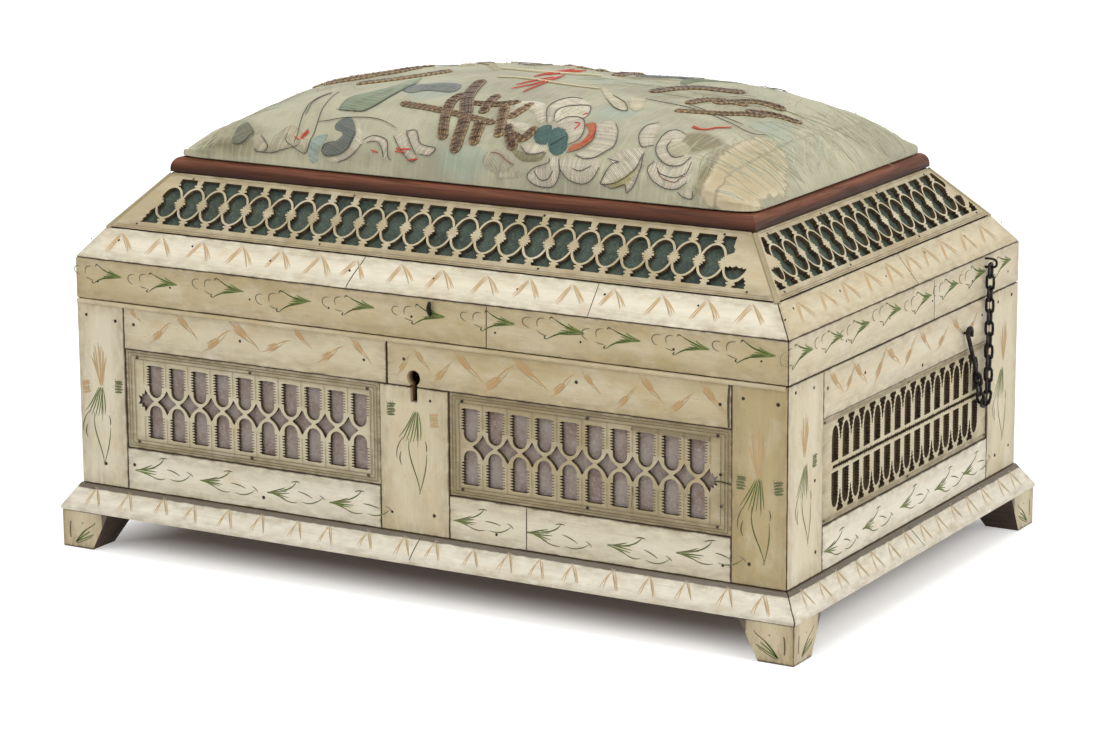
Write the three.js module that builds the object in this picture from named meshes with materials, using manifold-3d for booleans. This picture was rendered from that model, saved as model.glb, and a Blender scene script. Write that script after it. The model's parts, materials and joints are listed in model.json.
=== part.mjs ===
// Bone sewing box: a pine carcass veneered in pierced bone plates, on a sloped
// plinth and four block feet, with a hipped lid that carries a pincushion.
// Millimetres, +Z up, front towards -Y. The origin is on the ground, under the middle.

import * as THREE from 'three';
import { mergeVertices } from 'three/addons/utils/BufferGeometryUtils.js';
import Module from 'manifold-3d';

const wasm = await Module();
wasm.setup();

// Overall sizes, outside the bone
const boxLength = 280;
const boxDepth = 184;
const footHeight = 13.5;
const plinthHeight = 9.5;
const wallHeight = 67;

// Carcass boards
const wallThickness = 7;
const floorThickness = 6;
const lidShell = 6;

// Bone plates and the joints between them
const boneThickness = 2.2;
const fretThickness = 1.6;
const fretRecess = 0.3;
const glueLine = 0.15;
const plateJoint = 0.25;
const mitreGap = 0.2;

// Plinth and feet
const plinthReach = 6;
const plinthLedge = 0.7;
const plinthLip = 1.2;
const footInset = 0.5;
const footTop = 20;
const footBottom = 13;

// Layout of the plates on the case
const bottomRailHeight = 15;
const fretHeight = 36;
const frontStileWidth = 20;
const centreStileWidth = 27;
const topRailJointX = -10.5;
const sideStileWidth = 25.5;
const backStripHeight = 22.2;

// Pierced plates of the front: rows of round-ended windows with lozenges between
const windowPitch = 9.4;
const windowWidth = 5.3;
const windowHeight = 12.4;
const windowBridge = 3.4;
const lozengeHalfHeight = 3.4;
const lozengeTipGap = 0.85;
const frontFretMargin = 4.5;

// Pierced plates of the sides: rows of lancets with wedge gaps and a slot between
const lancetPitch = 7.9;
const lancetWidth = 4.2;
const lancetHeight = 11.6;
const lancetPoint = 3.4;
const lancetBridge = 4.4;
const lancetSlot = 0.9;
const wedgeDepth = 6.6;
const wedgeWidth = 5.2;
const sideFretMargin = 2.4;

// Pierced plates of the lid: a row of rings on short stems
const ringPitch = 9.8;
const ringWidth = 7.8;
const ringHeight = 10.2;
const stemWidth = 2.5;
const stemLength = 2.5;
const stemWedgeRise = 3.4;
const ringBand = 1.1;
const hipWedgeWidth = 6.8;
const hipWedgeHeight = 8;
const lidFretMargin = 3;

// Lid
const seamGap = 0.3;
const skirtHeight = 15;
const mouldingRise = 10;
const mouldingSet = 8;
const fretRise = 18.5;
const fretSet = 17;
const slopeGap = 0.4;
const hipGap = 1.3;

// Wooden rail round the cushion
const railWidth = 6;
const railHeight = 5;
const railInset = 24.5;
const railCheek = 1;

// Cushion
const cushionGap = 0.4;
const cushionBulge = 4.9;
const cushionShoulder = 0.65;
const cushionCrown = 26.8;
const crownRingShares = [0.99, 0.96, 0.9, 0.8, 0.66, 0.48, 0.28, 0.1];
const crownPowerX = 3;
const crownRootX = 0.6;
const crownPowerY = 2;
const crownRootY = 0.3;
const footprintPowerShare = 11;

// Butt hinges on the back
const hingeSpread = 156;
const hingeLength = 26;
const hingeLeafHeight = 11;
const hingeLeafThickness = 1;
const hingeReach = 2;
const knuckleRadius = 1.55;
const knuckleLength = 10;
const hingePinRadius = 0.65;
const hingeBoreGap = 0.25;
const knuckleGap = 0.3;

// Till lock: case let into the front wall, sliding bolt, eye plate on the lid
const lockLength = 34;
const lockHeight = 28;
const lockDepth = 5.6;
const lockGap = 0.3;
const boltLength = 8;
const boltHeight = 3.4;
const boltThickness = 1.2;
const boltGap = 0.25;
const boltDrop = 7.2;
const boltThrow = 7;
const eyeThickness = 1.6;
const eyeWidth = 3.4;
const eyeRim = 0.7;
const eyeGap = 0.35;
const eyePlateLength = 22;
const eyePlateWidth = 4.6;
const eyePlateThickness = 1;
const keyholeRadius = 2.6;
const keyholeSlot = 2.8;
const keyholeDrop = 13;
const keyholeLength = 11;

// Stay chain, its staple and hook, all outside the right side
const wireRadius = 0.42;
const linkRadius = 1.1;
const linkStraight = 0.85;
const linkFuse = 0.12;
const chainOut = 2.1;
const chainFromBack = 30.3;
const stapleDrop = 4;
const stapleSpan = 3;
const chainLinks = 16;
const returnLinks = 6;
const chainTurn = 3.8;
const returnLeanDegrees = 21;
const hookLeanDegrees = 28;
const hookWireRadius = 0.6;
const hookShank = 16.5;
const hookCrook = 1.7;
const hookTip = 1.6;

// Counts, and one overrun for every cut
const wireSides = 5;
const linkSides = 8;
const roundSides = 16;
const windowSteps = 4;
const railSteps = 6;
const crookSteps = 6;
const footprintSides = 32;
const overrun = 1;

// Levels and places that follow from the sizes above
const halfLength = boxLength / 2;
const halfDepth = boxDepth / 2;
const caseFloorZ = footHeight + plinthHeight;
const rimZ = caseFloorZ + wallHeight;
const fretBottomZ = caseFloorZ + bottomRailHeight;
const fretTopZ = fretBottomZ + fretHeight;
const lidZ = rimZ + seamGap;
const skirtTopZ = rimZ + skirtHeight;
const mouldingTopZ = skirtTopZ + mouldingRise;
const lidTopZ = mouldingTopZ + fretRise;
const railTopZ = lidTopZ + glueLine + railHeight;
const carcassInset = boneThickness + glueLine;
const hingeZ = rimZ + seamGap / 2;
const keyholeZ = rimZ - keyholeDrop;

// Finishes
const finishes = {
  bone: { color: 0xd9cfb4, roughness: 0.42, metalness: 0 },
  agedBone: { color: 0xcdbf9e, roughness: 0.5, metalness: 0 },
  pine: { color: 0x8a6642, roughness: 0.8, metalness: 0 },
  rail: { color: 0x6b4036, roughness: 0.4, metalness: 0 },
  silk: { color: 0xb9bfac, roughness: 0.6, metalness: 0 },
  iron: { color: 0x2b2826, roughness: 0.55, metalness: 0.9 },
  brass: { color: 0x9a7b3c, roughness: 0.4, metalness: 0.9 },
};

const sewingBox = new THREE.Group();

function addPart(name, geometry, finish, parent = sewingBox) {
  const mesh = new THREE.Mesh(geometry, new THREE.MeshStandardMaterial(finishes[finish]));
  mesh.name = name;
  parent.add(mesh);
  return mesh;
}

// Solids: closed surfaces from rings of points, and cuts and joins between them

function triangleVolume(positions, a, b, c) {
  const [p, q, r] = [a, b, c].map((i) => new THREE.Vector3().fromArray(positions, i * 3));
  return p.dot(q.cross(r));
}

function closedGeometry(positions, triangles) {
  const volume = triangles.reduce((sum, t) => sum + triangleVolume(positions, ...t), 0);
  const order = volume < 0 ? triangles.map(([a, b, c]) => [a, c, b]) : triangles;
  const geometry = new THREE.BufferGeometry();
  geometry.setAttribute('position', new THREE.Float32BufferAttribute(positions, 3));
  geometry.setIndex(order.flat());
  return geometry;
}

// Joins rings of equal point count. A closed loft runs round to its first ring.
function loft(rings, closed = false) {
  const count = rings[0].length;
  const positions = rings.flat().flatMap((p) => p.toArray());
  const triangles = [];
  const bands = closed ? rings.length : rings.length - 1;
  for (let k = 0; k < bands; k += 1) {
    const low = k * count;
    const high = ((k + 1) % rings.length) * count;
    for (let i = 0; i < count; i += 1) {
      const j = (i + 1) % count;
      triangles.push([low + i, low + j, high + j], [low + i, high + j, high + i]);
    }
  }
  if (!closed) {
    const last = (rings.length - 1) * count;
    for (let i = 1; i < count - 1; i += 1) {
      triangles.push([0, i + 1, i], [last, last + i, last + i + 1]);
    }
  }
  return closedGeometry(positions, triangles);
}

function solidOf(geometry) {
  const bare = geometry.clone();
  bare.deleteAttribute('normal');
  bare.deleteAttribute('uv');
  const merged = mergeVertices(bare);
  return new wasm.Manifold(new wasm.Mesh({
    numProp: 3,
    vertProperties: new Float32Array(merged.attributes.position.array),
    triVerts: new Uint32Array(merged.index.array),
  }));
}

function geometryOf(solid) {
  const mesh = solid.getMesh();
  const geometry = new THREE.BufferGeometry();
  geometry.setAttribute('position', new THREE.BufferAttribute(mesh.vertProperties, 3));
  geometry.setIndex(new THREE.BufferAttribute(mesh.triVerts, 1));
  return geometry;
}

function cut(geometry, ...tools) {
  return geometryOf(tools.reduce((solid, tool) => solid.subtract(solidOf(tool)), solidOf(geometry)));
}

function join(geometry, ...others) {
  return geometryOf(others.reduce((solid, other) => solid.add(solidOf(other)), solidOf(geometry)));
}

// A block between two corners.
function block(x0, x1, y0, y1, z0, z1) {
  const geometry = new THREE.BoxGeometry(x1 - x0, y1 - y0, z1 - z0);
  return geometry.translate((x0 + x1) / 2, (y0 + y1) / 2, (z0 + z1) / 2);
}

// A round bar along X, centred on a point.
function barAlongX(radius, length, x, y, z) {
  const geometry = new THREE.CylinderGeometry(radius, radius, length, roundSides);
  return geometry.rotateZ(Math.PI / 2).translate(x, y, z);
}

// Each side of the box has a frame of its own: X runs along the face, -Y points
// out of it, and Y is zero on the outer face of the bone.

const sideNames = ['front', 'right', 'back', 'left'];

function makeSide(name, index) {
  const alongLength = index % 2 === 0;
  const group = new THREE.Group();
  group.rotation.z = index * Math.PI / 2;
  const face = new THREE.Group();
  face.position.y = alongLength ? -halfDepth : -halfLength;
  group.add(face);
  sewingBox.add(group);
  return { name, face, half: alongLength ? halfLength : halfDepth, alongLength };
}

const sides = sideNames.map(makeSide);

function extruded(outline, depth) {
  return new THREE.ExtrudeGeometry(outline, { depth, bevelEnabled: false });
}

// A flat plate with every hole of its outline cut through, lying in X and Y.
function piercedPlate(outline, thickness) {
  const plate = solidOf(extruded(new THREE.Shape(outline.getPoints()), thickness));
  const tools = outline.holes.map((hole) => (
    solidOf(extruded(hole, thickness + 2 * overrun).translate(0, 0, -overrun))
  ));
  return geometryOf(plate.subtract(wasm.Manifold.union(tools)));
}

// Stands a flat plate up in the face, its outer surface at a depth.
function standing(plate, thickness, depthIn = 0) {
  return plate.rotateX(Math.PI / 2).translate(0, depthIn + thickness, 0);
}

function standingPlate(outline) {
  return standing(extruded(outline, boneThickness), boneThickness);
}

function rectangle(x0, x1, z0, z1) {
  return polygon([[x0, z0], [x1, z0], [x1, z1], [x0, z1]]);
}

function polygon(points) {
  return new THREE.Shape(points.map(([x, y]) => new THREE.Vector2(x, y)));
}

// A board whose left or right edge, or both, is cut at 45 degrees for a corner.
function cornerBoard(x0, x1, z0, z1, mitreLeft, mitreRight) {
  const backLeft = mitreLeft ? x0 + boneThickness : x0;
  const backRight = mitreRight ? x1 - boneThickness : x1;
  const section = polygon([[x0, 0], [x1, 0], [backRight, boneThickness], [backLeft, boneThickness]]);
  const geometry = new THREE.ExtrudeGeometry(section, { depth: z1 - z0, bevelEnabled: false });
  return geometry.translate(0, 0, z0);
}

// A bar round the box with mitred ends: its profile is in outward reach and height.
function mitredBar(profile, half) {
  const end = (sign) => profile.map(([out, z]) => (
    new THREE.Vector3(sign * (half + out - mitreGap), -out, z)
  ));
  return loft([end(-1), end(1)]);
}

// Carcass: four boards round a floor

function carcassBoard(side) {
  const full = side.half - carcassInset;
  const reach = side.alongLength ? full : full - wallThickness - glueLine;
  const y1 = carcassInset + wallThickness;
  return block(-reach, reach, carcassInset, y1, footHeight + glueLine, rimZ);
}

function keyholeCutter() {
  const outline = new THREE.Shape();
  const halfSlot = keyholeSlot / 2;
  const bottomZ = keyholeZ + keyholeRadius - keyholeLength;
  const meet = Math.asin(halfSlot / keyholeRadius);
  outline.moveTo(-halfSlot, bottomZ);
  outline.lineTo(halfSlot, bottomZ);
  outline.absarc(0, keyholeZ, keyholeRadius, meet - Math.PI / 2, -Math.PI / 2 - meet + 2 * Math.PI);
  const depth = carcassInset + wallThickness + 2 * overrun;
  const options = { depth, bevelEnabled: false, curveSegments: roundSides };
  const geometry = new THREE.ExtrudeGeometry(outline, options);
  return geometry.rotateX(Math.PI / 2).translate(0, depth - overrun, 0);
}

const lockBackY = carcassInset + wallThickness;
const lockFrontY = lockBackY - lockDepth;

for (const side of sides) {
  const board = carcassBoard(side);
  if (side.name === 'front') {
    const pocketHalf = lockLength / 2 + lockGap;
    const pocket = block(-pocketHalf, pocketHalf, lockFrontY - lockGap, lockBackY + overrun,
      rimZ - lockHeight - lockGap, rimZ + overrun);
    addPart('case_wall_front', cut(board, pocket, keyholeCutter()), 'pine', side.face);
  } else {
    addPart(`case_wall_${side.name}`, board, 'pine', side.face);
  }
}

const roomX = halfLength - carcassInset - wallThickness - glueLine;
const roomY = halfDepth - carcassInset - wallThickness - glueLine;
const floorBoard = block(-roomX, roomX, -roomY, roomY, caseFloorZ - floorThickness, caseFloorZ);
addPart('case_floor', floorBoard, 'pine');

// Plinth and feet

for (const side of sides) {
  const low = footHeight + glueLine;
  const high = caseFloorZ - glueLine;
  const profile = [
    [-boneThickness, low],
    [plinthReach, low],
    [plinthReach, low + plinthLip],
    [plinthLedge, high],
    [-boneThickness, high],
  ];
  addPart(`plinth_${side.name}`, mitredBar(profile, side.half), 'bone', side.face);
}

function footBlock(signX, signY) {
  const cornerX = halfLength + plinthReach - footInset;
  const cornerY = halfDepth + plinthReach - footInset;
  const ring = (size, z) => [
    new THREE.Vector3(signX * cornerX, signY * cornerY, z),
    new THREE.Vector3(signX * (cornerX - size), signY * cornerY, z),
    new THREE.Vector3(signX * (cornerX - size), signY * (cornerY - size), z),
    new THREE.Vector3(signX * cornerX, signY * (cornerY - size), z),
  ];
  return loft([ring(footBottom, 0), ring(footTop, footHeight)]);
}

for (const [place, signY] of [['front', -1], ['back', 1]]) {
  for (const [hand, signX] of [['left', -1], ['right', 1]]) {
    addPart(`foot_${place}_${hand}`, footBlock(signX, signY), 'bone');
  }
}

// Pierced plates: each is an outline with a pattern of holes

function evenPlaces(count, pitch) {
  return Array.from({ length: count }, (_, i) => (i - (count - 1) / 2) * pitch);
}

// A window with one square end and one round end, which points down or up.
function windowHole(x, roundEndZ, direction) {
  const radius = windowWidth / 2;
  const squareZ = roundEndZ - direction * windowHeight;
  const centreZ = roundEndZ - direction * radius;
  const points = [[x - radius, squareZ], [x + radius, squareZ]];
  for (let i = 0; i <= windowSteps; i += 1) {
    const angle = i * Math.PI / windowSteps;
    points.push([x + radius * Math.cos(angle), centreZ + direction * radius * Math.sin(angle)]);
  }
  return polygon(points);
}

function frontFretOutline(x0, x1) {
  const outline = rectangle(x0, x1, fretBottomZ + plateJoint, fretTopZ - plateJoint);
  const middleX = (x0 + x1) / 2;
  const middleZ = (fretBottomZ + fretTopZ) / 2;
  const count = Math.floor((x1 - x0 - 2 * frontFretMargin) / windowPitch);
  for (const place of evenPlaces(count, windowPitch)) {
    const x = middleX + place;
    outline.holes.push(windowHole(x, middleZ + windowBridge / 2, -1));
    outline.holes.push(windowHole(x, middleZ - windowBridge / 2, 1));
  }
  const lozengeHalfWidth = windowPitch / 2 - lozengeTipGap;
  for (const place of evenPlaces(count - 1, windowPitch)) {
    const x = middleX + place;
    outline.holes.push(polygon([
      [x - lozengeHalfWidth, middleZ],
      [x, middleZ - lozengeHalfHeight],
      [x + lozengeHalfWidth, middleZ],
      [x, middleZ + lozengeHalfHeight],
    ]));
  }
  return outline;
}

function sideFretOutline(x0, x1) {
  const outline = rectangle(x0, x1, fretBottomZ + plateJoint, fretTopZ - plateJoint);
  const middleZ = (fretBottomZ + fretTopZ) / 2;
  const span = x1 - x0 - 2 * sideFretMargin;
  const count = Math.floor(span / lancetPitch);
  const halfLancet = lancetWidth / 2;
  const halfWedge = wedgeWidth / 2;
  for (const direction of [-1, 1]) {
    const foot = middleZ + direction * lancetBridge / 2;
    const shoulder = foot + direction * (lancetHeight - lancetPoint);
    const tip = foot + direction * lancetHeight;
    const border = middleZ + direction * (fretHeight / 2 - sideFretMargin);
    for (const x of evenPlaces(count, lancetPitch)) {
      outline.holes.push(polygon([
        [x - halfLancet, foot],
        [x + halfLancet, foot],
        [x + halfLancet, shoulder],
        [x, tip],
        [x - halfLancet, shoulder],
      ]));
    }
    for (const x of evenPlaces(count - 1, lancetPitch)) {
      outline.holes.push(polygon([
        [x - halfWedge, border],
        [x + halfWedge, border],
        [x, border - direction * wedgeDepth],
      ]));
    }
  }
  const halfSlot = (count - 1) * lancetPitch / 2;
  outline.holes.push(rectangle(-halfSlot, halfSlot, middleZ - lancetSlot / 2, middleZ + lancetSlot / 2));
  return outline;
}

// Bone plates of the case. Neighbours in one face keep a fine open joint.

function addStiles(side, width) {
  const edge = side.half - mitreGap;
  const inner = side.half - width;
  const left = cornerBoard(-edge, -inner, caseFloorZ, rimZ, true, false);
  const right = cornerBoard(inner, edge, caseFloorZ, rimZ, false, true);
  const names = side.name === 'front' ? ['left', 'right'] : ['front', 'back'];
  const [first, second] = side.name === 'left' ? [right, left] : [left, right];
  addPart(`${side.name}_stile_${names[0]}`, first, 'bone', side.face);
  addPart(`${side.name}_stile_${names[1]}`, second, 'bone', side.face);
}

function addRail(side, name, x0, x1, z0, z1) {
  const outline = rectangle(x0 + plateJoint, x1 - plateJoint, z0, z1);
  addPart(`${side.name}_${name}`, standingPlate(outline), 'bone', side.face);
}

function addFret(side, name, outline) {
  const plate = standing(piercedPlate(outline, fretThickness), fretThickness, fretRecess);
  addPart(`${side.name}_${name}`, plate, 'agedBone', side.face);
}

const [front, right, back, left] = sides;

addStiles(front, frontStileWidth);
const frontInner = halfLength - frontStileWidth;
const halfCentre = centreStileWidth / 2;
addRail(front, 'top_rail_left', -frontInner, topRailJointX, fretTopZ, rimZ);
const topRailRight = standingPlate(
  rectangle(topRailJointX + plateJoint, frontInner - plateJoint, fretTopZ, rimZ));
addPart('front_top_rail_right', cut(topRailRight, keyholeCutter()), 'bone', front.face);
const centreStile = standingPlate(
  rectangle(-halfCentre, halfCentre, caseFloorZ, fretTopZ - plateJoint));
addPart('front_stile_centre', cut(centreStile, keyholeCutter()), 'bone', front.face);
addRail(front, 'bottom_rail_left', -frontInner, -halfCentre, caseFloorZ, fretBottomZ);
addRail(front, 'bottom_rail_right', halfCentre, frontInner, caseFloorZ, fretBottomZ);
addFret(front, 'fret_left', frontFretOutline(-frontInner + plateJoint, -halfCentre - plateJoint));
addFret(front, 'fret_right', frontFretOutline(halfCentre + plateJoint, frontInner - plateJoint));

for (const side of [right, left]) {
  const inner = side.half - sideStileWidth;
  addStiles(side, sideStileWidth);
  addRail(side, 'top_rail', -inner, inner, fretTopZ, rimZ);
  addRail(side, 'bottom_rail', -inner, inner, caseFloorZ, fretBottomZ);
  addFret(side, 'fret', sideFretOutline(-inner + plateJoint, inner - plateJoint));
}

// The back carries three plain strips, one above the other.
const backEdge = halfLength - mitreGap;
const backLevels = [caseFloorZ, caseFloorZ + backStripHeight, rimZ - backStripHeight, rimZ];
['bottom', 'middle', 'top'].forEach((name, i) => {
  const low = backLevels[i] + (i > 0 ? plateJoint : 0);
  const strip = cornerBoard(-backEdge, backEdge, low, backLevels[i + 1], true, true);
  addPart(`back_strip_${name}`, strip, 'bone', back.face);
});

// Lid. Its outside runs up the skirt, the moulding and the pierced slope, and every
// layer behind is the same three lines set further in.

const lidLines = [
  [[0, rimZ], [0, skirtTopZ]],
  [[0, skirtTopZ], [mouldingSet, mouldingTopZ]],
  [[mouldingSet, mouldingTopZ], [mouldingSet + fretSet, lidTopZ]],
];

function shifted([[x0, z0], [x1, z1]], distance) {
  const length = Math.hypot(x1 - x0, z1 - z0);
  const stepX = distance * (z1 - z0) / length;
  const stepZ = -distance * (x1 - x0) / length;
  return [[x0 + stepX, z0 + stepZ], [x1 + stepX, z1 + stepZ]];
}

function insetAt([[x0, z0], [x1, z1]], z) {
  return x0 + (x1 - x0) * (z - z0) / (z1 - z0);
}

function meeting(lower, upper) {
  const slopeOf = ([[x0, z0], [x1, z1]]) => (x1 - x0) / (z1 - z0);
  const z = (insetAt(upper, 0) - insetAt(lower, 0)) / (slopeOf(lower) - slopeOf(upper));
  return [insetAt(lower, z), z];
}

// The points of the lid's section, layer by layer, from its rim up to a level.
function lidSection(depths, topZ) {
  const [skirt, moulding, slope] = lidLines.map((line, i) => shifted(line, depths[i]));
  return [
    [insetAt(skirt, lidZ), lidZ],
    meeting(skirt, moulding),
    meeting(moulding, slope),
    [insetAt(slope, topZ), topZ],
  ];
}

function lidRing([inset, z]) {
  const x = halfLength - inset;
  const y = halfDepth - inset;
  return [[-x, -y], [x, -y], [x, y], [-x, y]].map(([px, py]) => new THREE.Vector3(px, py, z));
}

const frameDepths = [carcassInset, boneThickness + slopeGap, fretThickness + slopeGap];
const hollowDepths = frameDepths.map((depth) => depth + lidShell);
const eyePlateY = -halfDepth + lockBackY - lockDepth / 2;

function lidFrame() {
  const outside = lidSection(frameDepths, lidTopZ);
  const inside = lidSection(hollowDepths, lidTopZ - lidShell).reverse();
  const shell = loft([...inside, ...outside].map(lidRing));
  const halfPlate = eyePlateLength / 2 + lockGap;
  const halfWidth = eyePlateWidth / 2 + lockGap;
  const recess = block(-halfPlate, halfPlate, eyePlateY - halfWidth, eyePlateY + halfWidth,
    lidZ - overrun, lidZ + eyePlateThickness + glueLine);
  return cut(shell, recess);
}

addPart('lid_frame', lidFrame(), 'pine');

for (const side of sides) {
  const edge = side.half - mitreGap;
  const skirt = cornerBoard(-edge, edge, lidZ, skirtTopZ - glueLine, true, true);
  addPart(`lid_skirt_${side.name}`, skirt, 'bone', side.face);
}

for (const side of sides) {
  const behind = shifted(lidLines[1], boneThickness);
  const profile = [
    [0, skirtTopZ],
    [-mouldingSet, mouldingTopZ],
    [-behind[1][0], behind[1][1]],
    [-insetAt(behind, skirtTopZ), skirtTopZ],
  ];
  addPart(`lid_moulding_${side.name}`, mitredBar(profile, side.half), 'bone', side.face);
}

// The pierced slopes lie flat while they are drawn: X along, Y up the slope.

const slopeLength = Math.hypot(fretRise, fretSet);

function lidFretOutline(half) {
  const edgeAt = (t) => half - mouldingSet - hipGap - fretSet * t / slopeLength;
  const low = slopeGap;
  const high = slopeLength - slopeGap;
  const outline = polygon([
    [-edgeAt(low), low], [edgeAt(low), low], [edgeAt(high), high], [-edgeAt(high), high],
  ]);
  const middle = slopeLength / 2;
  const ringTop = middle + ringHeight / 2;
  const borderTop = middle + ringHeight / 2 + ringBand + stemLength;
  const count = Math.floor((2 * (edgeAt(ringTop) - lidFretMargin)) / ringPitch);
  const halfRing = ringWidth / 2;
  for (const x of evenPlaces(count, ringPitch)) {
    outline.holes.push(polygon([
      [x - halfRing, middle],
      [x - halfRing / 2, middle - ringHeight / 2],
      [x + halfRing / 2, middle - ringHeight / 2],
      [x + halfRing, middle],
      [x + halfRing / 2, ringTop],
      [x - halfRing / 2, ringTop],
    ]));
  }
  const halfGap = (ringPitch - stemWidth) / 2;
  const wedge = stemLength + stemWedgeRise;
  for (const x of evenPlaces(count - 1, ringPitch)) {
    for (const direction of [-1, 1]) {
      const border = middle + direction * (borderTop - middle);
      outline.holes.push(polygon([
        [x - halfGap, border],
        [x + halfGap, border],
        [x, border - direction * wedge],
      ]));
    }
  }
  const border = 2 * middle - borderTop;
  const lastX = count * ringPitch / 2;
  for (const sign of [-1, 1]) {
    const foot = lastX + ringBand / 2;
    outline.holes.push(polygon([
      [sign * foot, border],
      [sign * (foot + hipWedgeWidth), border],
      [sign * (foot + ringBand), border + hipWedgeHeight],
    ]));
  }
  return outline;
}

for (const side of sides) {
  const flat = piercedPlate(lidFretOutline(side.half), fretThickness);
  const geometry = flat.translate(0, 0, -fretThickness);
  const plate = addPart(`lid_fret_${side.name}`, geometry, 'agedBone', side.face);
  plate.position.set(0, mouldingSet, mouldingTopZ);
  plate.rotation.x = Math.atan2(fretRise, fretSet);
}

// Half-round rail: one section carried round the four sides of the top

function cushionRail() {
  const low = lidTopZ + glueLine;
  const radius = railWidth / 2;
  const section = [[railInset, low], [railInset + railWidth, low]];
  for (let i = 0; i <= railSteps; i += 1) {
    const angle = i * Math.PI / railSteps;
    const inset = railInset + radius + radius * Math.cos(angle);
    section.push([inset, low + railCheek + (railHeight - railCheek) * Math.sin(angle)]);
  }
  return loft(section.map(lidRing), true);
}

addPart('cushion_rail', cushionRail(), 'rail');

// Cushion: straight up inside the rail, out over it, then up to the crown

function cushion() {
  const low = lidTopZ + glueLine;
  const baseX = halfLength - railInset - railWidth - cushionGap;
  const baseY = halfDepth - railInset - railWidth - cushionGap;
  const edgeZ = railTopZ + cushionShoulder;
  const footprint = (i) => {
    const angle = 2 * Math.PI * (i + 0.5) / footprintSides;
    const power = 2 / footprintPowerShare;
    const x = Math.sign(Math.cos(angle)) * Math.abs(Math.cos(angle)) ** power;
    const y = Math.sign(Math.sin(angle)) * Math.abs(Math.sin(angle)) ** power;
    return [x, y];
  };
  const ring = (scale, grow, level) => Array.from({ length: footprintSides }, (_, i) => {
    const [x, y] = footprint(i).map((v) => v * scale);
    return new THREE.Vector3(x * (baseX + grow), y * (baseY + grow), level(x, y));
  });
  const flat = (z) => () => z;
  const crown = (x, y) => {
    const alongX = (1 - Math.abs(x) ** crownPowerX) ** crownRootX;
    const alongY = (1 - Math.abs(y) ** crownPowerY) ** crownRootY;
    return edgeZ + cushionCrown * alongX * alongY;
  };
  return loft([
    ring(1, 0, flat(low)),
    ring(1, 0, flat(railTopZ)),
    ring(1, cushionBulge, flat(edgeZ)),
    ...crownRingShares.map((share) => ring(share, cushionBulge, crown)),
  ]);
}

addPart('cushion', cushion(), 'silk');

// Butt hinges. The lid leaf carries the middle knuckle and the pin.

function hingeLeaf(lidLeaf) {
  const low = lidLeaf ? hingeZ : hingeZ - hingeLeafHeight;
  const halfHinge = hingeLength / 2;
  const halfMiddle = knuckleLength / 2;
  const outer = halfHinge - halfMiddle - knuckleGap;
  const outerX = halfHinge - outer / 2;
  const plate = block(-halfHinge, halfHinge, -glueLine - hingeLeafThickness, -glueLine,
    low, low + hingeLeafHeight);
  const leafCut = (z0, z1) => (
    block(-halfHinge - overrun, halfHinge + overrun, -hingeReach, overrun, z0, z1)
  );
  const clear = knuckleRadius + knuckleGap;
  const bore = hingePinRadius + hingeBoreGap;
  if (lidLeaf) {
    const sideCuts = [-1, 1].map((s) => (
      barAlongX(clear, outer + 2 * knuckleGap, s * outerX, -hingeReach, hingeZ)
    ));
    const knuckle = barAlongX(knuckleRadius, knuckleLength, 0, -hingeReach, hingeZ);
    const pin = barAlongX(hingePinRadius, hingeLength, 0, -hingeReach, hingeZ);
    return join(cut(plate, ...sideCuts, leafCut(hingeZ - overrun, hingeZ + seamGap)), knuckle, pin);
  }
  const middleCut = barAlongX(clear, knuckleLength + 2 * knuckleGap, 0, -hingeReach, hingeZ);
  const edgeCut = leafCut(hingeZ - seamGap, hingeZ + overrun);
  const knuckles = [-1, 1].map((s) => barAlongX(knuckleRadius, outer, s * outerX, -hingeReach, hingeZ));
  const hole = barAlongX(bore, hingeLength + 2 * overrun, 0, -hingeReach, hingeZ);
  return cut(join(cut(plate, middleCut, edgeCut), ...knuckles), hole);
}

[['left', 1], ['right', -1]].forEach(([hand, sign]) => {
  for (const lidLeaf of [false, true]) {
    const name = `hinge_${hand}_${lidLeaf ? 'lid' : 'case'}_leaf`;
    const leaf = addPart(name, hingeLeaf(lidLeaf), 'iron', back.face);
    leaf.position.x = sign * hingeSpread / 2;
  }
});

// Lock. The bolt slides along X through the eye that hangs from the lid.

const lockMiddleY = lockBackY - lockDepth / 2;
const boltZ = rimZ - boltDrop;
const eyeX = boltThickness;
const boltRestX = eyeX - eyeThickness / 2 - eyeGap - boltLength;

function lockCase() {
  const halfLock = lockLength / 2;
  const shell = block(-halfLock, halfLock, lockFrontY, lockBackY, rimZ - lockHeight, rimZ);
  const halfBolt = boltThickness / 2 + boltGap;
  const channelLow = boltZ - boltHeight / 2 - boltGap;
  const channelEnd = boltRestX + boltThrow + boltLength + boltGap;
  const channel = block(boltRestX - boltGap, channelEnd, lockMiddleY - halfBolt, lockMiddleY + halfBolt,
    channelLow, boltZ + boltHeight / 2 + boltGap);
  const halfEye = eyeWidth / 2 + eyeGap;
  const slot = block(eyeX - eyeThickness / 2 - eyeGap, eyeX + eyeThickness / 2 + eyeGap,
    lockMiddleY - halfEye, lockMiddleY + halfEye, channelLow - eyeRim - eyeGap, rimZ + overrun);
  const window = block(boltRestX - boltGap, eyeX, lockMiddleY, lockBackY + overrun,
    boltZ - eyeRim, boltZ + eyeRim);
  return cut(shell, channel, slot, window, keyholeCutter());
}

addPart('lock_case', lockCase(), 'brass', front.face);

const halfBoltY = boltThickness / 2;
const bolt = block(boltRestX, boltRestX + boltLength, lockMiddleY - halfBoltY, lockMiddleY + halfBoltY,
  boltZ - boltHeight / 2, boltZ + boltHeight / 2);
addPart('lock_bolt', bolt, 'brass', front.face);

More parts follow.
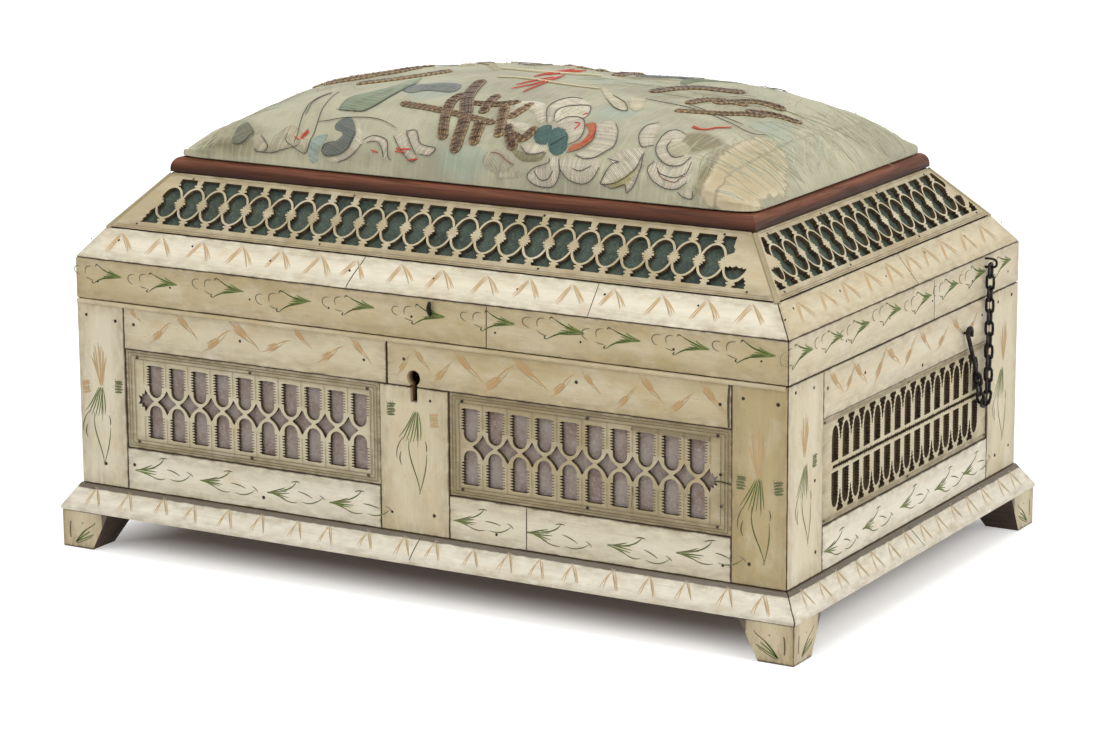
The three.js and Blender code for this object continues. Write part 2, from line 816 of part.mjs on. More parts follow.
function lockEyePlate() {
  const halfPlate = eyePlateLength / 2;
  const halfWidth = eyePlateWidth / 2;
  const halfEye = eyeThickness / 2;
  const halfHole = boltThickness / 2 + boltGap;
  const holeLow = boltZ - boltHeight / 2 - boltGap;
  const plate = block(-halfPlate, halfPlate, lockMiddleY - halfWidth, lockMiddleY + halfWidth,
    lidZ, lidZ + eyePlateThickness);
  const tongue = block(eyeX - halfEye, eyeX + halfEye, lockMiddleY - eyeWidth / 2, lockMiddleY + eyeWidth / 2,
    holeLow - eyeRim, lidZ + eyePlateThickness / 2);
  const hole = block(eyeX - eyeThickness, eyeX + eyeThickness, lockMiddleY - halfHole, lockMiddleY + halfHole,
    holeLow, boltZ + boltHeight / 2 + boltGap);
  return cut(join(plate, tongue), hole);
}

addPart('lock_eye_plate', lockEyePlate(), 'brass', front.face);

// Stay chain. It hangs in the plane X = chainX: links stand by turns in that plane
// and across it, and each bears on the next. Points are [Y, Z].

const chainX = halfLength + chainOut;
const chainY = halfDepth - chainFromBack;
const pivot = [chainY, skirtTopZ - stapleDrop];
const linkReach = linkStraight + linkRadius * Math.cos(Math.PI / linkSides);
const wireInner = wireRadius * Math.cos(Math.PI / wireSides);
const bearing = linkReach - wireInner + linkFuse / 2;

function ovalLink(centre, angle, acrossPlane) {
  const link = new THREE.TorusGeometry(linkRadius, wireRadius, wireSides, linkSides);
  link.rotateZ(Math.PI / linkSides);
  const places = link.attributes.position;
  for (let i = 0; i < places.count; i += 1) {
    const y = places.getY(i);
    places.setY(i, y + Math.sign(y) * linkStraight);
  }
  link.rotateX(Math.PI / 2);
  if (!acrossPlane) link.rotateZ(Math.PI / 2);
  return link.rotateX(angle).translate(chainX, centre[0], centre[1]);
}

// Steps along a route that starts straight and then turns through a right angle.
// A heading of zero points down, and it grows towards the front of the box.
function routeHeading(travelled, straight, start, finish) {
  const share = Math.min(Math.max((travelled - straight) / (chainTurn * Math.PI / 2), 0), 1);
  return start + (finish - start) * share;
}

function ahead([y, z], heading, distance) {
  return [y - distance * Math.sin(heading), z - distance * Math.cos(heading)];
}

// Places the links of one strand and gives the point where its last link ends.
function strand(start, firstAcross, count, headingAt) {
  const links = [];
  let contact = start;
  let travelled = 0;
  for (let i = 0; i < count; i += 1) {
    const before = i === 0 ? linkStraight : bearing;
    const after = i === count - 1 ? linkReach : bearing;
    const heading = headingAt(travelled + before);
    links.push(ovalLink(ahead(contact, heading, before), -heading, (i % 2 === 1) === !firstAcross));
    contact = ahead(contact, heading, before + after);
    travelled += before + after;
  }
  return { links, end: contact };
}

const strandLength = linkStraight + bearing + (chainLinks - 2) * 2 * bearing + bearing + linkReach;
const strandStraight = strandLength - chainTurn * Math.PI / 2;
const chain = strand(pivot, false, chainLinks, (s) => routeHeading(s, strandStraight, 0, Math.PI / 2));
addPart('stay_chain', join(...chain.links), 'iron');

// The short strand turns up from the last link and ends in the hook.
const elbow = chain.end;
const rising = Math.PI - THREE.MathUtils.degToRad(returnLeanDegrees);
const hookRising = Math.PI - THREE.MathUtils.degToRad(hookLeanDegrees);
const returnStrand = strand(elbow, false, returnLinks, (s) => routeHeading(s, 0, Math.PI / 2, rising));

function hook(start) {
  const shankTop = ahead(start, hookRising, hookShank);
  const crookMiddle = [shankTop[0] + hookCrook, shankTop[1]];
  const points = [start, ahead(start, hookRising, hookShank / 2)];
  for (let i = 0; i <= crookSteps; i += 1) {
    const angle = Math.PI - i * Math.PI / crookSteps;
    points.push([crookMiddle[0] + hookCrook * Math.cos(angle), crookMiddle[1] + hookCrook * Math.sin(angle)]);
  }
  points.push([crookMiddle[0] + hookCrook, crookMiddle[1] - hookTip]);
  const route = new THREE.CatmullRomCurve3(points.map(([y, z]) => new THREE.Vector3(chainX, y, z)));
  const section = new THREE.Shape();
  section.absarc(0, 0, hookWireRadius, 0, 2 * Math.PI);
  const geometry = new THREE.ExtrudeGeometry(section, {
    steps: points.length * 2,
    curveSegments: wireSides + 1,
    extrudePath: route,
    bevelEnabled: false,
  });
  return geometry;
}

const hookPiece = hook(ahead(returnStrand.end, rising, -wireRadius));
addPart('chain_hook', join(hookPiece, ...returnStrand.links), 'iron');

// Staple: a bent wire standing out of the lid's skirt. The first link hangs on its lower leg.
function staple() {
  const bend = stapleSpan / 2;
  const faceX = halfLength + glueLine;
  const bendX = chainX + wireRadius + linkFuse;
  const points = [[faceX, pivot[1]], [bendX, pivot[1]]];
  for (let i = 1; i < crookSteps; i += 1) {
    const angle = -Math.PI / 2 + i * Math.PI / crookSteps;
    points.push([bendX + bend * Math.cos(angle), pivot[1] + bend + bend * Math.sin(angle)]);
  }
  points.push([bendX, pivot[1] + stapleSpan], [faceX, pivot[1] + stapleSpan]);
  const ring = ([x, z], i) => {
    const [px, pz] = points[Math.max(i - 1, 0)];
    const [nx, nz] = points[Math.min(i + 1, points.length - 1)];
    const length = Math.hypot(nx - px, nz - pz);
    const across = new THREE.Vector3(-(nz - pz) / length, 0, (nx - px) / length);
    return Array.from({ length: wireSides + 1 }, (_, k) => {
      const angle = 2 * Math.PI * k / (wireSides + 1);
      const offset = across.clone().multiplyScalar(wireRadius * Math.cos(angle));
      return new THREE.Vector3(x, chainY + wireRadius * Math.sin(angle), z).add(offset);
    });
  };
  return loft(points.map(ring));
}

addPart('chain_staple', staple(), 'iron');

export default sewingBox;
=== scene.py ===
"""Looks of a sewing box veneered in pierced and engraved bone, with a padded silk pincushion.

Lengths in the classes are millimetres. Finished meshes are in metres, in the frame of the CAD model:
X along the box, the front towards -Y, Z up.
"""

import json
import logging
import math
import random
from contextlib import contextmanager
from dataclasses import dataclass, field, replace
from enum import Enum
from typing import Iterable, Iterator, Sequence

import bmesh
import bpy
import numpy as np
from bpy.types import Collection, GeometryNodeTree, Material, Mesh, Node, NodeSocket, NodeTree, Object
from mathutils import Matrix, Vector
from mathutils.bvhtree import BVHTree

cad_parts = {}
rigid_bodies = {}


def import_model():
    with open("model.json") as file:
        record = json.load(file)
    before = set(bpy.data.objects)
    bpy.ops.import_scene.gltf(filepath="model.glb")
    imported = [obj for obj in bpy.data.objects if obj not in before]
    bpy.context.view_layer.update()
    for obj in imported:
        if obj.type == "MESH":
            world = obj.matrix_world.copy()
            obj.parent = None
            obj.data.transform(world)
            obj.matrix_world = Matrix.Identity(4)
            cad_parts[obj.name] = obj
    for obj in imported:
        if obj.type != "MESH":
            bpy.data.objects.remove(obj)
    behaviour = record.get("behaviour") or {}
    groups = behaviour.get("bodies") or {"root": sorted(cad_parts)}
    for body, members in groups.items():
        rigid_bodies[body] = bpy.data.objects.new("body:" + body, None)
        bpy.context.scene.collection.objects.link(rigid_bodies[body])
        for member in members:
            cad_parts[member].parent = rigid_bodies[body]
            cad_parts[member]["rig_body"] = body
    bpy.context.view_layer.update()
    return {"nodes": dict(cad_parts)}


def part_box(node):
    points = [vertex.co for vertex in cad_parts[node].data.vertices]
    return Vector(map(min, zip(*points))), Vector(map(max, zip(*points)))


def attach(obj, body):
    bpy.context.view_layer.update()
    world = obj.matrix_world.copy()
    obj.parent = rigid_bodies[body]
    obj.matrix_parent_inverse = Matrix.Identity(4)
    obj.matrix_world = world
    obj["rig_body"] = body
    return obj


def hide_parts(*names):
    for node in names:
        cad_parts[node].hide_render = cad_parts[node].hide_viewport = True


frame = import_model()

LOG = logging.getLogger("sewing_box")
MM = 0.001
Point = tuple[float, float]
HALVES = (140.0, 92.0)  # Half the length and half the depth of the case, over its bone.


# Colour, node and mesh helpers


def srgb(code: str, alpha: float = 1.0) -> tuple[float, float, float, float]:
    """Turns a colour written as sRGB hex into the linear values of Blender's sockets.

    Args:
        code: The colour, such as "#d8cdb0".
        alpha: The fourth value.

    Returns:
        Linear red, green and blue, and alpha.
    """
    values = [int(code[i:i + 2], 16) / 255 for i in (1, 3, 5)]
    linear = [v / 12.92 if v <= 0.04045 else ((v + 0.055) / 1.055) ** 2.4 for v in values]
    return (linear[0], linear[1], linear[2], alpha)


def feed(tree: NodeTree, node: Node, inputs: dict) -> None:
    """Gives a node its inputs.

    Args:
        tree: The tree that the node is in.
        node: The node.
        inputs: Input names or numbers, each with a value, a socket, a node that stands for its first
            output, or a list of sockets and nodes.
    """
    for key, value in inputs.items():
        for item in value if isinstance(value, list) else [value]:
            if isinstance(item, Node):
                item = item.outputs[0]
            if isinstance(item, NodeSocket):
                tree.links.new(item, node.inputs[key])
            else:
                node.inputs[key].default_value = item


def add(tree: NodeTree, kind: str, inputs: dict | None = None, **settings) -> Node:
    """Adds one node to a shader or geometry tree.

    Args:
        tree: The tree to add to.
        kind: The node's type name without its family, such as "Math" for a ShaderNodeMath.
        inputs: The node's inputs, as feed takes them.
        **settings: Properties of the node.

    Returns:
        The new node.
    """
    families = ["ShaderNode"] if tree.bl_idname == "ShaderNodeTree" else \
        ["GeometryNode", "FunctionNode", "ShaderNode", "Node"]
    node = tree.nodes.new(next(family + kind for family in families if hasattr(bpy.types, family + kind)))
    for name, value in settings.items():
        setattr(node, name, value)
    feed(tree, node, inputs or {})
    return node


def new_mesh(name: str, points: Iterable, faces: Iterable = (), edges: Iterable = ()) -> Mesh:
    """Makes a mesh from points, faces and loose edges."""
    mesh = bpy.data.meshes.new(name)
    mesh.from_pydata([tuple(p) for p in points], list(edges), list(faces))
    mesh.update()
    return mesh


@contextmanager
def edited(mesh: Mesh) -> Iterator[bmesh.types.BMesh]:
    """Opens a mesh for editing, and writes it back afterwards."""
    work = bmesh.new()
    work.from_mesh(mesh)
    yield work
    work.to_mesh(mesh)
    work.free()


def face_outwards(mesh: Mesh) -> None:
    """Turns a closed mesh's faces outwards."""
    with edited(mesh) as work:
        bmesh.ops.recalc_face_normals(work, faces=work.faces)


def body_of(node: str) -> str:
    """Gives the name of the CAD body that a CAD node belongs to."""
    return frame["nodes"][node]["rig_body"]


def read(items: Sequence, name: str, width: int = 1, kind: type = np.float32) -> np.ndarray:
    """Reads a property of all items of a mesh's collection.

    Args:
        items: The collection.
        name: The property.
        width: How many numbers it has.
        kind: The numbers' type.

    Returns:
        A row of numbers for each item, or one number if that is its width.
    """
    values = np.zeros(len(items) * width, kind)
    items.foreach_get(name, values)
    return values.reshape(-1, width) if width > 1 else values


def write_attribute(mesh: Mesh, name: str, kind: str, values: Sequence) -> None:
    """Stores a value for each point of a mesh.

    Args:
        mesh: The mesh that gets the attribute.
        name: The attribute's name, which a material or a node tree reads.
        kind: FLOAT, INT, FLOAT_VECTOR or FLOAT_COLOR.
        values: One value for each point.
    """
    attribute = mesh.attributes.get(name) or mesh.attributes.new(name, kind, "POINT")
    field_name = {"FLOAT": "value", "INT": "value", "FLOAT_VECTOR": "vector", "FLOAT_COLOR": "color"}[kind]
    attribute.data.foreach_set(field_name, np.asarray(values, np.float32 if kind != "INT" else np.int32).ravel())


def write_uv(mesh: Mesh, name: str, at_point: np.ndarray) -> None:
    """Stores a UV map whose value at each corner is that of the corner's point."""
    layer = mesh.uv_layers.get(name) or mesh.uv_layers.new(name=name)
    corners = read(mesh.loops, "vertex_index", kind=np.int32)
    layer.data.foreach_set("uv", np.asarray(at_point, np.float32)[corners].ravel())


def points_of(mesh: Mesh) -> np.ndarray:
    """Gives the places of a mesh's points."""
    return read(mesh.vertices, "co", 3).astype(float)


def in_scene(name: str, data: bpy.types.ID) -> Object:
    """Makes an object of a mesh, a lamp or a camera and links it to the scene."""
    made = bpy.data.objects.new(name, data)
    bpy.context.scene.collection.objects.link(made)
    return made


def finish_piece(name: str, mesh: Mesh, body: str, finishes: Sequence["Finish"] = (),
                 nodes: Sequence[str] = (), smooth_degrees: float = 35.0) -> Object:
    """Makes an object of a finished mesh and hands it to the frame.

    Args:
        name: The piece's name.
        mesh: Its mesh, in metres and in place.
        body: The CAD body that it moves with.
        finishes: Finishes of the mesh's material slots, unless it has them already.
        nodes: CAD nodes that the piece stands for.
        smooth_degrees: Edges that turn by more than this stay sharp.

    Returns:
        The piece.
    """
    if finishes:
        mesh.materials.clear()
        for finish in finishes:
            mesh.materials.append(finish.material())
    mesh.polygons.foreach_set("use_smooth", [True] * len(mesh.polygons))
    mesh.set_sharp_from_angle(angle=math.radians(smooth_degrees))
    piece = in_scene(name, mesh)
    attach(piece, body)
    if nodes:
        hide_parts(*nodes)
    LOG.info("%s: %d faces on body %s", name, len(mesh.polygons), body)
    return piece


def grown(base: Object, tree: GeometryNodeTree, values: dict) -> Mesh:
    """Evaluates a geometry tree on an object and gives the result as a plain mesh.

    Args:
        base: The object that the tree works on. It is removed afterwards.
        tree: The geometry tree.
        values: The tree's inputs by name.

    Returns:
        The evaluated mesh.
    """
    modifier = base.modifiers.new(tree.name, "NODES")
    modifier.node_group = tree
    for item in tree.interface.items_tree:
        if item.in_out == "INPUT" and item.name in values:
            modifier[item.identifier] = values[item.name]
    bpy.context.view_layer.update()
    evaluated = base.evaluated_get(bpy.context.evaluated_depsgraph_get())
    mesh = bpy.data.meshes.new_from_object(evaluated)
    base.modifiers.remove(modifier)
    bpy.data.objects.remove(base)
    return mesh


# Sides and panels


class Side(Enum):
    """The box's four sides, as quarter turns from the front."""

    FRONT = 0
    RIGHT = 1
    BACK = 2
    LEFT = 3

    @property
    def half(self) -> float:
        """Half of the side's length along its face."""
        return HALVES[self.value % 2]

    @property
    def reach(self) -> float:
        """Distance from the box's middle to the side's bone face."""
        return HALVES[1 - self.value % 2]

    @property
    def turn(self) -> Matrix:
        """The turn about Z that takes front coordinates to this side."""
        return Matrix.Rotation(self.value * math.pi / 2, 4, "Z")


@dataclass(frozen=True)
class Panel:
    """A flat face of the box: X along its side, V up it, and Z out of it."""

    side: Side
    x0: float
    x1: float
    low: Point
    high: Point

    @property
    def rise(self) -> float:
        """Height of the panel, measured along its slope."""
        return math.dist(self.low, self.high)

    @property
    def middle(self) -> float:
        """X of the panel's middle."""
        return (self.x0 + self.x1) / 2

    def place(self, x: float, v: float, lift: float = 0.0, turn: float = 0.0) -> Matrix:
        """Gives the matrix that lays flat work, drawn in millimetres, on the panel.

        Args:
            x: Place along the side.
            v: Height above the panel's lower edge.
            lift: Distance out of the face.
            turn: Anticlockwise turn in degrees, as seen from outside.

        Returns:
            The matrix, which also turns millimetres into metres.
        """
        along = Vector((1, 0, 0))
        up = Vector((0, self.low[0] - self.high[0], self.high[1] - self.low[1])).normalized()
        axes = Matrix((along, up, along.cross(up))).transposed().to_4x4()
        foot = Matrix.Translation((0, -self.side.reach - self.low[0], self.low[1]))
        lay = Matrix.Translation((x, v, lift)) @ Matrix.Rotation(math.radians(turn), 4, "Z")
        return Matrix.Diagonal((MM, MM, MM, 1)) @ self.side.turn @ foot @ axes @ lay

    def sunk(self, depth: float) -> "Panel":
        """Gives the same upright panel, with its face moved inwards to a depth below the side's."""
        return Panel(self.side, self.x0, self.x1, (-depth, self.low[1]), (-depth, self.high[1]))

    def local(self, places: np.ndarray) -> np.ndarray:
        """Turns places in the model's frame into x, outward reach and height, in millimetres."""
        back = np.array(self.side.turn.inverted().to_3x3())
        turned = places @ back.T / MM
        return np.stack([turned[:, 0], -turned[:, 1] - self.side.reach, turned[:, 2]], axis=1)


def node_panel(node: str, side: Side) -> Panel:
    """Gives the upright panel that a CAD node fills on a side."""
    low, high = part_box(node)
    corners = [side.turn.inverted() @ (corner / MM) for corner in (low, high)]
    xs, zs = sorted(c.x for c in corners), sorted(c.z for c in corners)
    out = max(-c.y for c in corners) - side.reach
    return Panel(side, xs[0], xs[1], (out, zs[0]), (out, zs[1]))


class Band(Enum):
    """The faces that go round the box: lower and upper edge as reach and height, and how far they stop short."""

    PLINTH = ((6.0, 14.85), (0.7, 22.85), 0.0)
    SKIRT = ((0.0, 90.3), (0.0, 104.85), 0.0)
    MOULDING = ((0.0, 105.0), (-8.0, 115.0), 0.0)
    HIP = ((-8.0, 115.0), (-25.0, 133.5), 8.0)

    def panel(self, side: Side) -> Panel:
        """Gives the band's face on a side."""
        low, high, short = self.value
        return Panel(side, -side.half + short, side.half - short, low, high)


# Finishes


MADE: dict[str, Material] = {}


class Finish:
    """A finish that is made once and shared by the pieces that have it."""

    name: str

    def paint(self, tree: NodeTree, shader: Node) -> None:
        """Fills the material's tree. Each finish has its own."""
        raise NotImplementedError

    def material(self) -> Material:
        """Gives the finish's material, made at the first call."""
        if self.name not in MADE:
            made = bpy.data.materials.new(self.name)
            made.use_nodes = True
            self.paint(made.node_tree, made.node_tree.nodes["Principled BSDF"])
            MADE[self.name] = made
        return MADE[self.name]


def patches(tree: NodeTree, vector: Node, size: Sequence[float], low: float, high: float, top: float = 1.0) -> Node:
    """Makes a share that comes in patches.

    Args:
        tree: The node tree.
        vector: The place that the patches follow.
        size: Length, width and height of a patch, in the vector's unit.
        low: Value of the noise below which the share is 0.
        high: Value of the noise above which it is full.
        top: The full share.

    Returns:
        The share.
    """
    scaled = add(tree, "Mapping", {"Vector": vector, "Scale": tuple(1 / s for s in size),
                                             "Location": (size[0] * 0.37, size[1] * 1.3, 0)})
    noise = add(tree, "TexNoise", {"Vector": scaled, "Scale": 1.0, "Detail": 5.0, "Roughness": 0.6})
    return add(tree, "MapRange", {0: noise, 1: low, 2: high, 4: top})


def layered(tree: NodeTree, colour: NodeSocket | Sequence[float], layers: Sequence[tuple[str, Node]]) -> NodeSocket:
    """Lays colours over a colour, each with its share.

    Args:
        tree: The node tree.
        colour: The colour below.
        layers: The colours' codes and shares, the lowest first.

    Returns:
        The resulting colour.
    """
    for code, share in layers:
        colour = add(tree, "Mix", {0: share, 6: colour, 7: srgb(code)}, data_type="RGBA").outputs[2]
    return colour


@dataclass(frozen=True)
class PolishedBone(Finish):
    """Sawn and polished ox bone: pale, with long fine grain, short dark pores and grime along its edges.

    The map "plate" holds millimetres along and across the grain, the colour "edge" the distances to
    the plate's four edges, and "tone" how far the plate has yellowed.
    """

    name: str
    pale: str = "#e5dbc0"
    warm: str = "#c9b68a"
    aged: str = "#a8935f"
    grime: str = "#4d3d27"
    wear: float = 0.75
    roughness: float = 0.36

    def paint(self, tree: NodeTree, shader: Node) -> None:
        """Layers tone, grain, pores and grime."""
        plate = add(tree, "UVMap", uv_map="plate")
        broad = patches(tree, plate, (42, 15, 1), 0.0, 1.0)
        plate_tone = add(tree, "Attribute", attribute_name="tone").outputs["Fac"]
        tone = add(tree, "Math", {0: broad, 1: plate_tone}, operation="ADD")
        # Grain is 0.5 mm wide and some 25 mm long, scratches are finer, and pores are dashes in patches.
        grain = patches(tree, plate, (26, 0.55, 1), 0.0, 1.0)
        pore_map = add(tree, "Mapping", {"Vector": plate, "Scale": (1 / 3.4, 1 / 0.8, 1)})
        cells = add(tree, "TexVoronoi", {"Vector": pore_map, "Scale": 1.0})
        pore = add(tree, "MapRange", {0: cells, 1: 0.06, 2: 0.17, 3: 1.0, 4: 0.0})
        pore = add(tree, "Math", {0: pore, 1: patches(tree, plate, (30, 12, 1), 0.5, 0.66, 0.75)},
                   operation="MULTIPLY")
        # Grime lies along the joints and fades in about 6 mm.
        edge = add(tree, "Attribute", attribute_name="edge")
        sides = add(tree, "SeparateColor", {0: edge.outputs["Color"]}).outputs
        near = edge.outputs["Alpha"]
        for side in (0, 1, 2):
            near = add(tree, "Math", {0: near, 1: sides[side]}, operation="MINIMUM")
        ragged = patches(tree, plate, (6, 2.5, 1), 0.25, 0.75)
        near_line = add(tree, "Math", {0: ragged, 1: -0.5, 2: near}, operation="MULTIPLY_ADD")
        line = add(tree, "MapRange", {0: near_line, 1: -0.2, 2: 0.2, 3: 0.92, 4: 0.0})
        soft = add(tree, "MapRange", {0: near_line, 1: 0.0, 2: 6.0, 3: self.wear, 4: 0.0})
        soft = add(tree, "Math", {0: soft, 1: ragged}, operation="MULTIPLY")
        colour = layered(tree, srgb(self.pale), [
            ("#f5eedb", add(tree, "MapRange", {0: tone, 1: 0.25, 2: -0.5})),
            (self.warm, add(tree, "MapRange", {0: tone, 1: 0.6, 2: 1.45})),
            (self.aged, add(tree, "MapRange", {0: tone, 1: 1.15, 2: 1.95})),
            ("#c99f63", patches(tree, plate, (15, 9, 1), 0.55, 0.76, 0.4)),
            ("#aca384", patches(tree, plate, (22, 11, 1), 0.53, 0.72, 0.26)),
            ("#efe8d4", patches(tree, plate, (17, 10, 1), 0.5, 0.75, 0.42)),
            ("#a88f62", add(tree, "MapRange", {0: grain, 1: 0.5, 2: 0.8, 4: 0.26})),
            ("#6d5a3b", patches(tree, plate, (40, 0.3, 1), 0.68, 0.74, 0.5)),
            ("#7a6242", pore), ("#92805a", soft), (self.grime, line)])
        rough = add(tree, "MapRange", {0: grain, 1: 0.3, 2: 0.75, 3: self.roughness - 0.06, 4: self.roughness + 0.16})
        height = add(tree, "Math", {0: grain, 1: pore}, operation="SUBTRACT")
        waves = add(tree, "Bump", {"Height": broad, "Distance": 1.4 * MM, "Strength": 0.4})
        bump = add(tree, "Bump", {"Height": height, "Distance": 0.07 * MM, "Strength": 0.55, "Normal": waves})
        feed(tree, shader, {"Base Color": colour, "Roughness": rough, "Normal": bump, "IOR": 1.54})


@dataclass(frozen=True)
class StainedCut(Finish):
    """Engraver's cuts rubbed with colour. The stain is thin, so the bone shows through along its grain.

    The colour "ink" holds the stain and, as alpha, its strength, and the map "stroke" runs along and
    across each cut.
    """

    name: str = "stained engraving in bone"
    bone: str = "#d6c9a6"

    def paint(self, tree: NodeTree, shader: Node) -> None:
        """Mixes the stain into the colour of the bone."""
        ink = add(tree, "Attribute", attribute_name="ink")
        stroke = add(tree, "UVMap", uv_map="stroke")
        fine = add(tree, "Mapping", {"Vector": stroke, "Scale": (2.2, 1.6, 1)})
        streaks = add(tree, "TexNoise", {"Vector": fine, "Scale": 1.0, "Detail": 4.0})
        place = add(tree, "TexCoord").outputs["Object"]
        speck = add(tree, "TexNoise", {"Vector": place, "Scale": 1100.0, "Detail": 3.0})
        both = add(tree, "Math", {0: streaks, 1: speck}, operation="ADD")
        cover = add(tree, "MapRange", {0: both, 1: 0.66, 2: 1.0, 3: 0.82, 4: 1.0})
        across = add(tree, "SeparateXYZ", {0: stroke}).outputs[1]
        away = add(tree, "Math", {0: across}, operation="ABSOLUTE")
        fade = add(tree, "MapRange", {0: away, 1: 0.75, 2: 1.0, 3: 1.0, 4: 0.75})
        cover = add(tree, "Math", {0: cover, 1: fade}, operation="MULTIPLY")
        cover = add(tree, "Math", {0: cover, 1: ink.outputs["Alpha"]}, operation="MULTIPLY")
        colour = add(tree, "Mix", {0: cover, 6: srgb(self.bone), 7: ink.outputs["Color"]},
                     data_type="RGBA").outputs[2]
        bump = add(tree, "Bump", {"Height": cover, "Distance": -0.08 * MM, "Strength": 0.5})
        feed(tree, shader, {"Base Color": colour, "Normal": bump, "Roughness": 0.6, "Specular IOR Level": 0.25})


@dataclass(frozen=True)
class Metal(Finish):
    """Worked metal, black or dull with age: patches of oxide, worn brighter in between."""

    name: str
    dark: str
    bright: str
    oxide: str
    metallic: float = 0.9
    roughness: float = 0.5

    def paint(self, tree: NodeTree, shader: Node) -> None:
        """Mixes worn metal and oxide."""
        place = add(tree, "TexCoord").outputs["Object"]
        worn = add(tree, "TexNoise", {"Vector": place, "Scale": 420.0, "Detail": 5.0})
        spots = add(tree, "TexNoise", {"Vector": place, "Scale": 1300.0, "Detail": 4.0})
        share = add(tree, "MapRange", {0: worn, 1: 0.45, 2: 0.7})
        rust = add(tree, "MapRange", {0: spots, 1: 0.55, 2: 0.72, 4: 0.7})
        colour = layered(tree, srgb(self.dark), [(self.bright, share), (self.oxide, rust)])
        rough = add(tree, "MapRange", {0: spots, 1: 0.3, 2: 0.7, 3: self.roughness - 0.12, 4: self.roughness + 0.18})
        bump = add(tree, "Bump", {"Height": spots, "Distance": 0.12 * MM, "Strength": 0.6})
        feed(tree, shader, {"Base Color": colour, "Roughness": rough, "Normal": bump, "Metallic": self.metallic})


class Grain(Enum):
    """The axis that a board's grain follows, as stretches of the pattern along X, Y and Z."""

    ALONG_X = (0.05, 1.0, 1.0)
    ALONG_Y = (1.0, 0.05, 1.0)


@dataclass(frozen=True)
class Wood(Finish):
    """Sawn or planed wood: growth bands some millimetres wide, fine fibres and, where heights are given, grime and
    painted shade low down.
    """

    name: str
    pale: str
    dark: str
    band: float
    grain: Grain
    roughness: float = 0.6
    soiled: Point | None = None

    def paint(self, tree: NodeTree, shader: Node) -> None:
        """Draws bands and fibres along the grain."""
        place = add(tree, "TexCoord").outputs["Object"]
        stretch = tuple(s / (self.band * MM) for s in self.grain.value)
        bands_map = add(tree, "Mapping", {"Vector": place, "Scale": stretch})
        bands = add(tree, "TexNoise", {"Vector": bands_map, "Scale": 1.0, "Detail": 3.0, "Distortion": 0.6})
        fine = tuple(s / (0.5 * MM) for s in self.grain.value)
        fibre_map = add(tree, "Mapping", {"Vector": place, "Scale": fine})
        fibres = add(tree, "TexNoise", {"Vector": fibre_map, "Scale": 1.0, "Detail": 4.0})
        share = add(tree, "MapRange", {0: bands, 1: 0.35, 2: 0.68})
        thin = add(tree, "MapRange", {0: fibres, 1: 0.45, 2: 0.75, 4: 0.55})
        colour = layered(tree, srgb(self.pale), [(self.dark, share), (self.dark, thin)])
        if self.soiled:
            # Old wax and grime, and painted shade on the rail's lower part, darken it between these two heights in
            # millimetres: most below the first, none above the second.
            height = add(tree, "SeparateXYZ", {0: place}).outputs[2]
            height = add(tree, "Math", {0: fibres, 1: 1.6 * MM, 2: height}, operation="MULTIPLY_ADD")
            grime_and_shade = add(tree, "MapRange", {0: height, 1: self.soiled[0] * MM, 2: self.soiled[1] * MM, 3: 0.9, 4: 0.0})
            colour = layered(tree, colour, [("#26130a", grime_and_shade)])
            feed(tree, shader, {"Specular IOR Level": 0.2})
        rough = add(tree, "MapRange", {0: fibres, 1: 0.3, 2: 0.75, 3: self.roughness - 0.1, 4: self.roughness + 0.15})
        bump = add(tree, "Bump", {"Height": fibres, "Distance": 0.15 * MM, "Strength": 0.5})
        feed(tree, shader, {"Base Color": colour, "Roughness": rough, "Normal": bump})


@dataclass(frozen=True)
class Lining(Finish):
    """Old paper or cloth glued behind the pierced plates: matt, blotched and dusty."""

    name: str
    base: str
    blotch: str
    dust: str
    thread: float = 0.0

    def paint(self, tree: NodeTree, shader: Node) -> None:
        """Draws blotches and, on cloth, a coarse weave."""
        place = add(tree, "TexCoord").outputs["Object"]
        broad = add(tree, "TexNoise", {"Vector": place, "Scale": 110.0, "Detail": 6.0, "Roughness": 0.7})
        fine = add(tree, "TexNoise", {"Vector": place, "Scale": 900.0, "Detail": 3.0})
        share = add(tree, "MapRange", {0: broad, 1: 0.44, 2: 0.66})
        dusty = add(tree, "MapRange", {0: fine, 1: 0.5, 2: 0.75, 4: 0.6})
        colour = layered(tree, srgb(self.base), [(self.blotch, share), (self.dust, dusty)])
        height = fine
        if self.thread:
            weave = add(tree, "TexWave", {"Vector": place, "Scale": 0.35 / (self.thread * MM),
                                                    "Distortion": 1.5}, bands_direction="DIAGONAL").outputs[1]
            height = add(tree, "Math", {0: fine, 1: weave}, operation="ADD")
        bump = add(tree, "Bump", {"Height": height, "Distance": 0.2 * MM, "Strength": 0.5})
        feed(tree, shader, {"Base Color": colour, "Normal": bump, "Roughness": 0.9})


